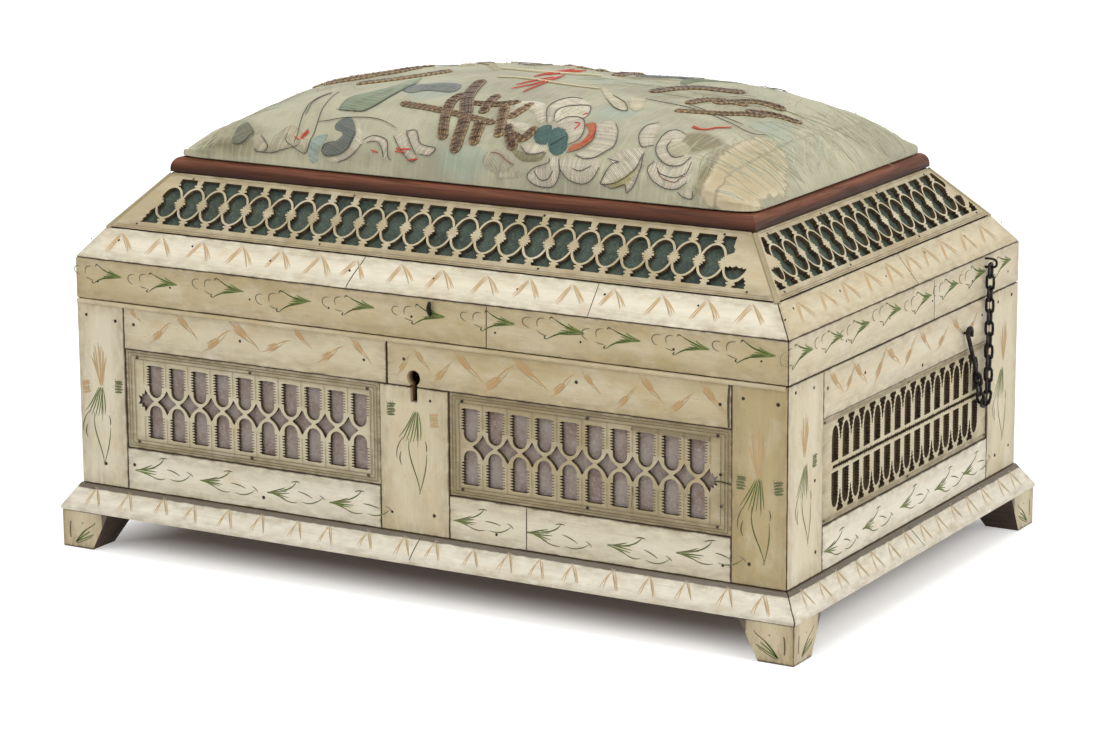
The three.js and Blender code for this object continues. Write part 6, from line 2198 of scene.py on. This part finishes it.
# Radius of each kind of outline cord, and its lines.
OUTLINES = {
    "ink": (0.15, [
        ((47.2, -25.7), (49.6, -32.2), (47.8, -36.1), (44.1, -38.6), (42, -38.8)), ((36.4, -41), (36.5, -42.9),
        (32, -44.2), (29.3, -46.1), (29.8, -47.9), (33.5, -49.2), (38.9, -49.3), (41, -47.6), (41.7, -44.9),
        (40.4, -41.6)), ((31.6, -45.4), (34, -47.4), (37.2, -47.4), (39.2, -45.1)), ((40.6, -41.5), (41.7, -44.5),
        (45.2, -47), (51.1, -47.9), (54.7, -45.8), (56.1, -42.9)), ((46.4, -44.1), (49.7, -44.5), (53.4, -42.7)),
        ((23.7, -37.3), (26.8, -39.7), (30.2, -40), (33.5, -38.9)), ((34.5, -36), (36.5, -34.7), (38.9, -32.1)),
        ((57.6, -39), (61.8, -39.6), (60.1, -40.7), (57.9, -45.2), (57.5, -47.2), (63.6, -45.8), (68.2, -41.7),
        (69.2, -35.6)), ((57.5, -47.2), (61.7, -48), (63.8, -47.2), (66.2, -46.6), (67.5, -48.7), (70.4, -44.1),
        (69.3, -34.5)), ((65.7, -17.2), (63.2, -21.1), (64.1, -27.7), (67.2, -32), (70.8, -30.6)), ((78, -22.1),
        (74, -20.3), (71.7, -23.4), (71.8, -30.3), (74.4, -35.3), (79.2, -38.1), (84.3, -37.5), (85.8, -33.7)),
        ((75.8, -27.4), (76.1, -31.3), (79.8, -34.8), (83.5, -33.7)), ((75.6, -39.3), (78, -41.8), (83.8, -42.7),
        (86.9, -40.3), (87.1, -36.2)), ((85.8, -47.2), (88, -48.4), (91.5, -48.7), (91.4, -46.6)), ((37.7, -3.6),
        (45.2, -10.7), (50.5, -12.1), (45.5, -5), (37, 0.8)), ((48.3, 2.3), (56.7, 1.4), (67.1, 0.4), (75, -1.5),
        (83.2, -4.2), (90.7, -6), (94.3, -3.5)), ((64, 3.2), (73.6, 0.9), (81.5, -1.2), (86, -2.2)), ((-65.5, -42.9),
        (-65.6, -39.5), (-67.1, -33.3), (-68.9, -22.8), (-67.7, -14)), ((-66.4, -31.2), (-67.9, -22.1), (-66.1, -15)),
        ((-69.8, -39.7), (-69, -42.8), (-65.7, -44.6), (-59.8, -46.4), (-59, -42.5), (-58.8, -37.6), (-61, -26.4),
        (-63.7, -14.4)), ((-90.1, -45.9), (-87.3, -45.7), (-85.1, -43.8), (-84.2, -40)), ((-81.4, -46.5),
        (-79.9, -47.1), (-75.7, -47.3), (-68.9, -45.9), (-63.7, -44.1)), ((-35.5, -42), (-31.8, -41.2),
        (-29.1, -43.2), (-27.9, -45.6)), ((-26.3, -38.1), (-21.9, -42.7), (-17.2, -45.8), (-14, -45.3)),
        ((-22.3, -35.3), (-19.3, -39.5), (-14.8, -44.2)), ((-59.1, -34.5), (-52.6, -33.7), (-43.1, -32.1),
        (-34.1, -32.2), (-26.5, -35)), ((-54.5, -28.6), (-47.8, -29.1), (-42.3, -27.9), (-38.5, -18.3),
        (-38.5, -2.6))]),
    "rose": (0.15, [
        ((13.7, -41.1), (17, -41.2), (20.9, -43.2), (23.2, -43.9)), ((76.1, -40.5), (79.2, -43.4), (84.3, -44),
        (86.9, -41.7))]),
    "cream": (0.5, [
        ((-16.6, 11.3), (-6.4, 11.5), (4.6, 9.7), (17.5, 7.4), (28.1, 6.4))]),
    "red": (0.3, [
        ((38.3, -24.3), (40.5, -24.7), (40.3, -28.1)), ((38.6, -19.3), (39.6, -17.9)), ((46.7, -34.9), (48.4, -30),
        (46.4, -24.9)), ((-4.3, 14.7), (-4.1, 21.9), (-2.7, 29), (1.2, 34.9)), ((-4.8, 17.3), (-5.1, 26.2),
        (-5, 36.8)), ((-2.7, 18.7), (0.1, 25.4), (2.5, 31.1)), ((76.7, -16.3), (80.5, -15.5), (82.2, -11.5),
        (84.6, -6.7)), ((76.2, -14.8), (79.4, -15.8)), ((-63.6, -41.5), (-61.9, -37.7)), ((-62.7, -42),
        (-61.2, -38.5)), ((-66.3, -41), (-63.7, -42.2)), ((-33, -44), (-30.1, -44.6)), ((-23.6, -42.6),
        (-18.7, -42.4)), ((-23.7, -43.4), (-19.7, -43.3)), ((-21.5, -42.4), (-17.8, -42.3)), ((-18.6, -45.5),
        (-14.1, -45.3))]),
}
BARE_PATCH = ((95.7, -49), (94.9, -43.2), (94, -31.8), (92.7, -21.1), (92.5, -9.4), (95.2, -5.2),
              (100.5, -7.2), (104.4, -11.5), (109, -22.3), (112.4, -30.1), (113, -35.1), (111.6, -42),
              (113.4, -45.9), (111.8, -50.9))


@dataclass(frozen=True)
class Canvas:
    """A plane that leans over one side of the cushion. Work drawn on it drops onto the silk."""

    side: Side
    surface: BVHTree
    lean: float = 40.0
    base: float = 139.3

    def drop(self, x: float, w: float, lift: float) -> Vector | None:
        """Finds the place on the silk below a point of the canvas.

        Args:
            x: Place along the side.
            w: Place up the canvas.
            lift: Height above the silk.

        Returns:
            The place in millimetres, or None beside the cushion.
        """
        c, s = math.cos(math.radians(self.lean)), math.sin(math.radians(self.lean))
        turn = self.side.turn.to_3x3()
        out = turn @ Vector((0, -s, c))
        start = turn @ Vector((x, w * c, w * s)) + Vector((0, 0, self.base)) + out * 90
        place, normal, _, _ = self.surface.ray_cast(start * MM, -out)
        return None if place is None else place / MM + normal * lift

    def path(self, row: Sequence[Point], radius: float, dye: str, lift: float, step: float = 2.2,
             taper: float = 1.0) -> Path | None:
        """Lays a thread along points of the canvas.

        Args:
            row: The points.
            radius: The thread's radius.
            dye: Its colour.
            lift: Height of its middle above the silk.
            step: Largest distance between two of its points.
            taper: Share of the radius that is left at its ends.

        Returns:
            The thread, or None if it would run off the cushion.
        """
        places = []
        for (x0, w0), (x1, w1) in zip(row, row[1:]):
            pieces = max(1, math.ceil(math.dist((x0, w0), (x1, w1)) / step))
            places += [self.drop(x0 + (x1 - x0) * i / pieces, w0 + (w1 - w0) * i / pieces, lift)
                       for i in range(pieces)]
        places.append(self.drop(*row[-1], lift))
        if len(places) < 2 or any(place is None for place in places):
            return None
        return Path([tuple(place) for place in places], tapered(radius, taper, len(places)), dye)


def rounded(points: Sequence[Point], closed: bool, steps: int = 5) -> list[Point]:
    """Runs a smooth line through points of the canvas.

    Args:
        points: The points.
        closed: True if the line returns to its start.
        steps: Pieces between two points.

    Returns:
        The line's points.
    """
    row = [Vector(p) for p in points]
    found = spline([row[-1], *row, row[0], row[1]] if closed else [row[0], *row, row[-1]], steps)
    return [(p.x, p.y) for p in (found if closed else found + row[-1:])]


def outline_distance(outline: Sequence[Point], places: np.ndarray) -> np.ndarray:
    """Gives the distance of places from a closed outline, positive inside it."""
    start = np.array(outline)
    stop = np.roll(start, -1, axis=0)
    nearest, inside = np.full(len(places), 1e9), np.zeros(len(places), bool)
    for a, b in zip(start, stop):
        run = b - a
        share = np.clip((places - a) @ run / max(run @ run, 1e-9), 0, 1)
        nearest = np.minimum(nearest, np.linalg.norm(places - a - share[:, None] * run, axis=1))
        crosses = (a[1] > places[:, 1]) != (b[1] > places[:, 1])
        at = a[0] + (places[:, 1] - a[1]) / (run[1] if abs(run[1]) > 1e-9 else 1e-9) * run[0]
        inside ^= crosses & (places[:, 0] < at)
    return np.where(inside, nearest, -nearest)


def tinted(code: str, share: float) -> str:
    """Makes a colour lighter, or darker if the share is below one."""
    return "#" + "".join(f"{min(255, round(int(code[i:i + 2], 16) * share)):02x}" for i in (1, 3, 5))


@dataclass
class Embroidery:
    """Satin stitch, outlines in dark cord, couched gold bars and loose floss on the pincushion."""

    rods: Rods
    spacing: float = 0.5
    yarn: float = 0.3
    longest: float = 8.0
    gold_cord: float = 0.42
    rng: random.Random = field(default_factory=lambda: random.Random(77))

    def satin(self, canvas: Canvas, outline: Sequence[Point], dye: str) -> list[Path]:
        """Fills an outline with stitches that lie side by side.

        Args:
            canvas: The canvas.
            outline: The closed outline.
            dye: Colour of the yarn.

        Returns:
            One path for each stitch.
        """
        shape = np.array(rounded(outline, True))
        centre = shape.mean(axis=0)
        _, axes = np.linalg.eigh(np.cov((shape - centre).T))
        turned = (shape - centre) @ axes
        threads = []
        rows = np.arange(turned[:, 1].min() + self.spacing / 2, turned[:, 1].max(), self.spacing)
        following = np.roll(turned, -1, axis=0)
        for row in rows:
            crossing = (turned[:, 1] <= row) != (following[:, 1] <= row)
            a, b = turned[crossing], following[crossing]
            cuts = sorted(a[:, 0] + (row - a[:, 1]) / (b[:, 1] - a[:, 1]) * (b[:, 0] - a[:, 0]))
            for start, stop in zip(cuts[::2], cuts[1::2]):
                threads += self.stitches(canvas, centre, axes, row, start, stop, dye)
        return threads

    def stitches(self, canvas: Canvas, centre: np.ndarray, axes: np.ndarray, row: float, start: float,
                 stop: float, dye: str) -> list[Path]:
        """Makes the stitches of one row, split where it is longer than a stitch."""
        count = max(1, math.ceil((stop - start) / self.longest))
        cuts = [start + (stop - start) * i / count for i in range(count + 1)]
        cuts = [cuts[0] - 0.1, *[c + self.rng.uniform(-1.6, 1.6) for c in cuts[1:-1]], cuts[-1] + 0.1]
        tone = self.rng.uniform(0.9, 1.06)
        found = []
        for left, right in zip(cuts, cuts[1:]):
            ends = [tuple(centre + axes @ np.array([across, row + self.rng.uniform(-0.08, 0.08)]))
                    for across in (left, right)]
            if right - left > 0.4:
                found.append(canvas.path(ends, self.yarn, tinted(dye, tone), 0.08, taper=0.6))
        return [path for path in found if path]

    def bar(self, canvas: Canvas, width: float, points: Sequence[Point]) -> list[Path]:
        """Lays gold cord to and fro in a bar, with a twisted cord round it."""
        line = rounded(points, False, 6)
        found = []
        turns = max(1, round(width / 2 / (self.gold_cord * 1.7)))
        for k in range(turns):
            offset = width / 2 - k * self.gold_cord * 1.75
            dye = "#8c7350" if k == 0 else self.rng.choice(["#6e573c", "#7b6245", "#5c4833"])
            loop = self.round_line(line, offset)
            found.append(canvas.path(loop, self.gold_cord, tinted(dye, self.rng.uniform(0.9, 1.1)), 0.3, 1.2))
        found.append(canvas.path(line, self.gold_cord, "#6b4c2e", 0.3, 1.2))
        for i in range(1, len(line) - 1, 2):
            (x0, w0), (x1, w1) = line[i - 1], line[i + 1]
            ahead = Vector((x1 - x0, w1 - w0)).normalized()
            across = Vector((-ahead.y, ahead.x)) * width / 2
            ends = [(line[i][0] - across.x, line[i][1] - across.y), (line[i][0] + across.x, line[i][1] + across.y)]
            found.append(canvas.path(ends, 0.14, "#563d27", 0.72, 0.9))
        return [path for path in found if path]

    def round_line(self, line: Sequence[Point], offset: float) -> list[Point]:
        """Gives a closed loop at a distance from an open line."""
        sides: list[list[Point]] = [[], []]
        for i, (x, w) in enumerate(line):
            before, after = line[max(i - 1, 0)], line[min(i + 1, len(line) - 1)]
            ahead = Vector((after[0] - before[0], after[1] - before[1])).normalized()
            for sign, side in zip((1, -1), sides):
                side.append((x - ahead.y * sign * offset, w + ahead.x * sign * offset))
        ends = []
        for i, direction in ((-1, 1), (0, -1)):
            a, b = line[i], line[-2 if i == -1 else 1]
            ahead = Vector((a[0] - b[0], a[1] - b[1])).normalized() * offset
            across = Vector((-ahead.y, ahead.x))
            ends.append([(a[0] + ahead.x * math.sin(t) + across.x * direction * math.cos(t) * direction,
                          a[1] + ahead.y * math.sin(t) + across.y * direction * math.cos(t) * direction)
                         for t in (math.pi / 4, math.pi / 2, 3 * math.pi / 4)])
        return [*sides[0], *ends[0], *sides[1][::-1], *ends[1], sides[0][0]]

    def floss(self, canvas: Canvas, middle: Point, spread: Point, count: int, length: float, lean: float,
              dyes: Sequence[str], radius: float = 0.11) -> list[Path]:
        """Lays loose strands of floss over a worn place.

        Args:
            canvas: The canvas.
            middle: Middle of the place.
            spread: Half its width and half its height.
            count: Number of strands.
            length: Mean length of a strand.
            lean: Direction of the strands in degrees from X.
            dyes: Their colours.
            radius: Their radius.

        Returns:
            The strands.
        """
        found = []
        for _ in range(count):
            x = middle[0] + spread[0] * self.rng.uniform(-1, 1)
            w = middle[1] + spread[1] * self.rng.uniform(-1, 1)
            angle = math.radians(lean + self.rng.gauss(0, 7))
            reach = length * self.rng.uniform(0.5, 1.4)
            sway = self.rng.uniform(-1.4, 1.4)
            row = [(x + reach * (t - 0.5) * math.cos(angle) - sway * math.sin(math.pi * t) * math.sin(angle),
                    w + reach * (t - 0.5) * math.sin(angle) + sway * math.sin(math.pi * t) * math.cos(angle))
                   for t in (0, 0.25, 0.5, 0.75, 1)]
            path = canvas.path(row, radius * self.rng.uniform(0.7, 1.3),
                               tinted(self.rng.choice(dyes), self.rng.uniform(0.92, 1.06)),
                               self.rng.uniform(-0.05, 0.12), 2.2, 0.4)
            found += [path] if path else []
        return found

    def fuzz(self, canvas: Canvas, spans: Sequence[tuple[float, float, float, float, int]]) -> list[Path]:
        """Stands short broken fibres on the silk.

        Args:
            canvas: The canvas.
            spans: Rectangles of the canvas as x0, x1, w0, w1, each with its number of fibres.

        Returns:
            The fibres.
        """
        found = []
        for x0, x1, w0, w1, count in spans:
            for _ in range(count):
                x, w = self.rng.uniform(x0, x1), self.rng.uniform(w0, w1)
                root, tip = canvas.drop(x, w, -0.1), canvas.drop(x, w, self.rng.uniform(0.5, 1.5))
                if root is None or tip is None:
                    continue
                swing = Vector([self.rng.gauss(0, 0.7) for _ in range(3)])
                middle = (root + tip) / 2 + swing * 0.3
                found.append(Path([tuple(root), tuple(middle), tuple(tip + swing)], [0.09, 0.07, 0.03],
                                  tinted(self.rng.choice(["#c5bea2", "#b3b59c", "#d0c8b0"]), 1.0)))
        return found

    def front_half(self, canvas: Canvas, plain: bool) -> tuple[list[Path], list[Path]]:
        """Works the drawing on one half of the cushion.

        Args:
            canvas: The canvas of that half.
            plain: True to leave out what only the worn front has.

        Returns:
            Threads of silk, and cords of gold.
        """
        silk, gold = [], []
        drawn = [(yarn, radius, points) for yarn, (radius, rows) in OUTLINES.items() for points in rows]
        for yarn, outline, *inked in PETALS:
            silk += self.satin(canvas, outline, YARNS[yarn])
            drawn += [("ink", OUTLINES["ink"][0], outline[start:stop]) for start, stop in inked]
        for yarn, radius, points in drawn:
            path = canvas.path(rounded(points, False), radius, YARNS[yarn], 0.42, 1.2, 0.6)
            silk += [path] if path else []
        for width, points in GOLD_BARS:
            gold += self.bar(canvas, width, points)
        for worn in [] if plain else [
                ((108.0, 1.0), (5.0, 10.0), 70, 15.0, -62.0, ["#c9c5ab", "#bcc0a9", "#d6cfb4"]),
                ((91.5, -30.0), (1.2, 16.0), 22, 10.0, -82.0, ["#a8a07c", "#b8b08e", "#c9c2a4"]),
                ((-104.0, -36.0), (8.0, 12.0), 60, 12.0, 66.0, ["#c9bf9f", "#bdb593", "#d6cdb2"]),
                ((60.0, 22.0), (46.0, 12.0), 60, 18.0, 8.0, ["#a9a688", "#b5b193", "#c4bea3"])]:
            silk += self.floss(canvas, *worn)
        return silk, gold

    def build(self, cushion: Mesh) -> list[Object]:
        """Works the whole cushion.

        Args:
            cushion: Mesh of the silk.

        Returns:
            The pieces that go with the cushion.
        """
        work = bmesh.new()
        work.from_mesh(cushion)
        surface = BVHTree.FromBMesh(work)
        work.free()
        front, back, right, left = (Canvas(side, surface) for side in (Side.FRONT, Side.BACK, Side.RIGHT, Side.LEFT))
        silk, gold = self.front_half(front, False)
        more_silk, more_gold = self.front_half(back, True)
        loose = self.floss(right, (0.0, -71.0), (60.0, 10.0), 260, 16.0, 88.0, ["#c2bfa4", "#cbc6ab", "#b7b497"])
        loose += self.floss(left, (0.0, -71.0), (60.0, 10.0), 160, 16.0, 92.0, ["#c2bfa4", "#cbc6ab", "#b7b497"])
        loose += self.fuzz(front, [(-113, -60, -10, 14, 90), (-60, 60, 30, 48, 90), (60, 112, 8, 40, 90)])
        loose += self.fuzz(right, [(30, 64, -88, -60, 90)])
        pieces = []
        for name, paths, finish, sides in (
                ("embroidery_silk", silk + more_silk + loose, SILK_YARN, 5),
                ("embroidery_gold", gold + more_gold, GOLD_CORD, 6)):
            mesh = self.rods.mesh(name, paths, finish, sides)
            pieces.append(finish_piece(name, mesh, "lid", [], (), 60.0))
        return pieces


@dataclass
class Pincushion:
    """The padded silk cushion: a low dome whose cloth is drawn in under the rail."""

    rods: Rods
    half: Point = (114.0, 66.0)
    edge: float = 139.3
    floor: float = 134.4
    crown: float = 26.5
    lean: float = 0.02
    grid: tuple[int, int] = (80, 50)
    loose: float = 0.035
    pressure: float = 4.0
    mass: float = 0.3
    stiffness: float = 0.3
    frames: int = 20
    largest_move: float = 6.0
    swell_passes: int = 60
    swell_kept: float = 0.97
    fold_share: float = 0.4
    deepest: float = 1.6
    tuck: tuple[Point, Point] = ((1.2, 0.5), (4.9, 0.9))
    tucked: float = 5.0

    def height(self, x: float, y: float) -> float:
        """Gives the padding's height over a place, before the cloth settles."""
        across, deep = min(abs(x / self.half[0]), 1.0), min(abs(y / self.half[1]), 1.0)
        dome = (1 - across ** 3) ** 0.6 * (1 - deep ** 2) ** 0.3
        return self.edge + self.crown * dome * (1 + self.lean * x / self.half[0])

    def plan(self, s: float, t: float) -> Point:
        """Maps a square onto the cushion's outline, a rectangle with rounded corners."""
        reach = max(abs(s), abs(t))
        if reach < 1e-6:
            return (0.0, 0.0)
        rounding = (abs(s / reach) ** 30 + abs(t / reach) ** 30) ** (-1 / 30)
        share = reach ** 3
        factor = 1 + (rounding - 1) * share
        return (s * factor * self.half[0], t * factor * self.half[1])

    def sheet(self, finer: int = 1) -> np.ndarray:
        """Gives the dome's points, row by row, in millimetres.

        Args:
            finer: Number by which the grid is split.

        Returns:
            An array of rows, columns and three coordinates.
        """
        columns, rows = self.grid[0] * finer, self.grid[1] * finer
        points = np.zeros((rows + 1, columns + 1, 3))
        for j in range(rows + 1):
            for i in range(columns + 1):
                x, y = self.plan(math.sin(math.pi / 2 * (2 * i / columns - 1)),
                                 math.sin(math.pi / 2 * (2 * j / rows - 1)))
                inside = 0 < i < columns and 0 < j < rows
                points[j, i] = (x, y, self.height(x, y) if inside else self.edge)
        return points

    def closed(self, sheet: np.ndarray) -> tuple[Mesh, list[int]]:
        """Closes the dome with its underside.

        Args:
            sheet: The dome's points.

        Returns:
            The mesh, and the points that the rail holds.
        """
        rows, columns = sheet.shape[0] - 1, sheet.shape[1] - 1
        points = [tuple(p) for p in sheet.reshape(-1, 3)]
        wide = columns + 1
        faces = [(j * wide + i, j * wide + i + 1, (j + 1) * wide + i + 1, (j + 1) * wide + i)
                 for j in range(rows) for i in range(columns)]
        rim = [i for i in range(columns)] + [j * wide + columns for j in range(rows)]
        rim += [rows * wide + i for i in range(columns, 0, -1)] + [j * wide for j in range(rows, 0, -1)]
        held, above = list(rim), rim
        for inward, z in (*((inward, self.edge - drop) for inward, drop in self.tuck), (self.tucked, self.floor)):
            ring = []
            for index in rim:
                x, y, _ = points[index]
                ring.append(len(points))
                points.append((x * (1 - inward / self.half[0]), y * (1 - inward / self.half[1]), z))
            faces += [(above[(i + 1) % len(ring)], ring[(i + 1) % len(ring)], ring[i], above[i])
                      for i in range(len(ring))]
            held += ring
            above = ring
        faces.append(tuple(above[::-1]))
        return new_mesh("cushion_silk", [(x * MM, y * MM, z * MM) for x, y, z in points], faces), held

    def settled(self) -> np.ndarray:
        """Lets the cloth settle over its padding.

        Returns:
            How far each point of the dome moves, in millimetres, capped, without the dome's general swell.
        """
        mesh, held = self.closed(self.sheet())
        start = points_of(mesh)
        cloth = in_scene("cushion_cloth", mesh)
        group = cloth.vertex_groups.new(name="held")
        group.add(held, 1.0, "REPLACE")
        modifier = cloth.modifiers.new("Cloth", "CLOTH")
        settings = modifier.settings
        settings.quality, settings.mass = 5, self.mass
        settings.use_pressure, settings.uniform_pressure_force = True, self.pressure
        settings.vertex_group_mass = "held"
        settings.shrink_min = settings.shrink_max = -self.loose
        settings.bending_stiffness = self.stiffness
        settings.effector_weights.gravity = 0.0
        modifier.collision_settings.use_collision = False
        modifier.point_cache.frame_start, modifier.point_cache.frame_end = 1, self.frames
        scene = bpy.context.scene
        for number in range(1, self.frames + 1):
            scene.frame_set(number)
        moves = points_of(cloth.evaluated_get(bpy.context.evaluated_depsgraph_get()).data) - start
        scene.frame_set(1)
        bpy.data.objects.remove(cloth)
        rows, columns = self.grid[1] + 1, self.grid[0] + 1
        moves = moves[:rows * columns].reshape(rows, columns, 3) / MM
        length = np.linalg.norm(moves, axis=2, keepdims=True)
        LOG.info("cushion cloth moved by at most %.1f mm", float(length.max()))
        moves *= np.minimum(1.0, self.largest_move / np.maximum(length, 1e-9))
        swell = moves.copy()
        for _ in range(self.swell_passes):
            swell[1:-1, 1:-1] = (swell[:-2, 1:-1] + swell[2:, 1:-1] + swell[1:-1, :-2] + swell[1:-1, 2:]) / 4
        folds = (moves - swell * self.swell_kept) * self.fold_share
        return folds * np.minimum(1.0, self.deepest / np.maximum(np.linalg.norm(folds, axis=2, keepdims=True), 1e-9))

    def pucker(self, mesh: Mesh) -> None:
        """Draws the cloth into folds along the rail and gives the padding its lumps."""
        places = points_of(mesh) / MM
        normals = read(mesh.vertices, "normal", 3)
        x, y, z = places.T
        end, front = self.half[0] - abs(x), self.half[1] - abs(y)
        across = 0.6 * np.sin(y / 1.25 + 1.4 * np.sin(y / 7.3)) + 0.5 * np.sin(y / 2.9 + 1.0)
        along = 0.6 * np.sin(x / 1.6 + 1.7 * np.sin(x / 11.0)) + 0.5 * np.sin(x / 4.1 + 2.0)
        lift = 0.5 * across * np.exp(-end / 13.0) * np.clip(end / 3.0, 0, 1)
        lift += 0.3 * along * np.exp(-front / 8.0) * np.clip(front / 3.0, 0, 1)
        # The front is creased a little above the rail, where the cloth is drawn down.
        lift -= 0.5 * np.exp(-((front - 5.0) / 1.6) ** 2) * (end > 4)
        lumps = np.sin(x / 17.0 + 0.7) * np.sin(y / 13.0 + 1.9) + 0.6 * np.sin(x / 7.9) * np.sin(y / 8.7 + x / 21.0)
        lift += 0.45 * lumps * np.clip(np.minimum(end, front) / 12.0, 0, 1)
        lift *= z > self.edge + 0.2
        moved = places + normals * lift[:, None]
        mesh.vertices.foreach_set("co", (moved * MM).astype(np.float32).ravel())
        mesh.update()

    def wash(self, mesh: Mesh) -> None:
        """Writes the map "weave" and the colour "wash": bare, soiled, teal and faded places."""
        places = points_of(mesh) / MM
        x, y, z = places.T
        lean = math.radians(Canvas.lean)
        w = y * math.cos(lean) + (z - self.edge) * math.sin(lean)

        def spot(at_x: float, at_w: float, wide: float, high: float) -> np.ndarray:
            return np.clip(1.6 - np.hypot((x - at_x) / wide, (w - at_w) / high), 0, 1)

        distance = outline_distance(rounded(BARE_PATCH, True, 3), np.stack([x, w], axis=1))
        bare = np.clip(0.55 + distance / 5.0, 0, 1) * (y < 0)
        tear = np.exp(-np.hypot((x - 103.5) / 5.5, (w + 45.5) / 0.9) ** 2)
        bare = np.clip(bare - tear, 0, 1)
        soil = spot(84, -24, 6, 7) + 0.5 * spot(-95, -40, 14, 8) + 0.45 * spot(60, 12, 34, 14)
        soil += 0.7 * spot(93, -36, 2.2, 14) + 0.35 * spot(-60, -47, 60, 3)
        teal = spot(4, -44, 9, 5) + spot(47, -14, 7, 6) + spot(-28, -8, 9, 10) + spot(95, 5, 9, 9)
        teal += 0.8 * spot(-98, -14, 8, 20) + 0.6 * spot(30, 20, 30, 7) + 0.5 * spot(104, -12, 7, 9)
        faded = spot(-106, -20, 7, 26) + 0.6 * spot(105, 14, 12, 18) + 0.5 * spot(60, -44, 16, 4)
        shares = np.clip(np.stack([bare, soil, teal, faded], axis=1), 0, 1)
        write_attribute(mesh, "wash", "FLOAT_COLOR", shares)
        ends = abs(x) > self.half[0] - 14
        write_uv(mesh, "weave", np.stack([np.where(ends, y, x), np.where(ends, x, y)], axis=1))

    def build(self) -> None:
        """Makes the cushion."""
        sheet = self.sheet(2)
        moves = self.settled()
        for axis in (0, 1):
            moves = np.swapaxes(moves, 0, axis)
            between = (moves[1:] + moves[:-1]) / 2
            finer = np.zeros((len(moves) * 2 - 1, *moves.shape[1:]))
            finer[::2], finer[1::2] = moves, between
            moves = np.swapaxes(finer, 0, axis)
        sheet = sheet + moves
        mesh, _ = self.closed(sheet)
        self.pucker(mesh)
        self.wash(mesh)
        Embroidery(self.rods).build(mesh)
        piece = finish_piece("cushion_silk", mesh, "lid", [SILK], ["cushion"], 80.0)


# Studio and main


@dataclass(frozen=True)
class Studio:
    """The camera of the photograph, soft lamps, a pale table and a white backdrop."""

    focal_pixels: float = 3651.876
    azimuth: float = 30.195
    elevation: float = 13.279
    roll: float = -0.345
    target: tuple[float, float, float] = (0.0, 0.0, 80.0)
    distance: float = 1299.438
    shift: Point = (-0.329, -17.71)
    image_width: int = 1100
    sensor: float = 36.0
    lit: tuple[float, float, float] = (0.0, 0.0, 0.08)

    def camera(self) -> None:
        """Sets the camera where the photograph's perspective puts it."""
        a, e, r = (math.radians(v) for v in (self.azimuth, self.elevation, self.roll))
        back = Vector((math.sin(a) * math.cos(e), -math.cos(a) * math.cos(e), math.sin(e)))
        level = Vector((math.cos(a), math.sin(a), 0))
        upright = back.cross(level)
        right = math.cos(r) * level + math.sin(r) * upright
        up = -math.sin(r) * level + math.cos(r) * upright
        place = Vector(self.target) + back * self.distance + right * self.shift[0] + up * self.shift[1]
        data = bpy.data.cameras.new("camera")
        data.sensor_width = self.sensor
        data.lens = self.focal_pixels / self.image_width * data.sensor_width
        data.clip_start, data.clip_end = 0.05, 20.0
        camera = in_scene("camera", data)
        camera.matrix_world = Matrix.Translation(place * MM) @ Matrix((right, up, back)).transposed().to_4x4()
        bpy.context.scene.camera = camera

    def lamp(self, name: str, place: Sequence[float], size: float, watts: float) -> None:
        """Hangs one square soft lamp that faces the box.

        Args:
            name: The lamp's name.
            place: Where it hangs, in metres.
            size: Length of its side, in metres.
            watts: Its power.
        """
        data = bpy.data.lights.new(name, "AREA")
        data.size, data.energy = size, watts
        lamp = in_scene(name, data)
        lamp.location = place
        lamp.rotation_euler = (Vector(self.lit) - Vector(place)).to_track_quat("-Z", "Y").to_euler()

    def world(self) -> None:
        """Lights the scene evenly and shows white to the camera."""
        world = bpy.data.worlds.new("studio")
        bpy.context.scene.world = world
        world.use_nodes = True
        tree = world.node_tree
        rays = add(tree, "LightPath")
        seen = add(tree, "Math", {0: rays.outputs["Is Camera Ray"], 1: rays.outputs["Is Transmission Ray"]},
                   operation="MAXIMUM")
        seen = add(tree, "Math", {0: seen, 1: rays.outputs["Is Glossy Ray"]}, operation="MAXIMUM")
        strength = add(tree, "MapRange", {0: seen, 3: 0.42, 4: 1.0})
        feed(tree, tree.nodes["Background"], {"Color": srgb("#ffffff"), "Strength": strength})

    def table(self) -> None:
        """Lays the table under the box."""
        floor = in_scene("table", new_mesh("table", [(-6, -6, 0), (6, -6, 0), (6, 6, 0), (-6, 6, 0)], [(0, 1, 2, 3)]))
        floor.data.materials.append(PlainFloor().material())

    def build(self) -> None:
        """Builds the whole studio."""
        self.camera()
        self.world()
        self.table()
        self.lamp("key", (-0.6, -1.5, 1.9), 1.2, 13.0)
        self.lamp("fill", (1.7, -0.5, 1.1), 1.2, 13.0)
        self.lamp("top", (0.1, 0.2, 2.2), 1.4, 17.0)
        bpy.context.scene.view_settings.view_transform = "Standard"


def main() -> None:
    """Builds every sub-assembly in order."""
    logging.basicConfig(level=logging.INFO, format="%(message)s")
    Studio().build()
    placing, piercing = placing_tree(), piercing_tree()
    ornament = Ornament(placing)
    plates = BonePlates()
    plates.build()
    Feet(plates).build()
    FrontFrets().build(piercing, plates, ornament)
    SideFrets().build(piercing, plates, ornament)
    LidFrets().build(piercing, plates, ornament)
    rods = Rods(cord_tree())
    Linings().build()
    Trims(rods).build()
    CushionRail(ornament).build()
    StayChain(rods, placing).build()
    Engraving(ornament).build()
    Carcass().build()
    Pincushion(rods).build()


if __name__ == "__main__":
    main()
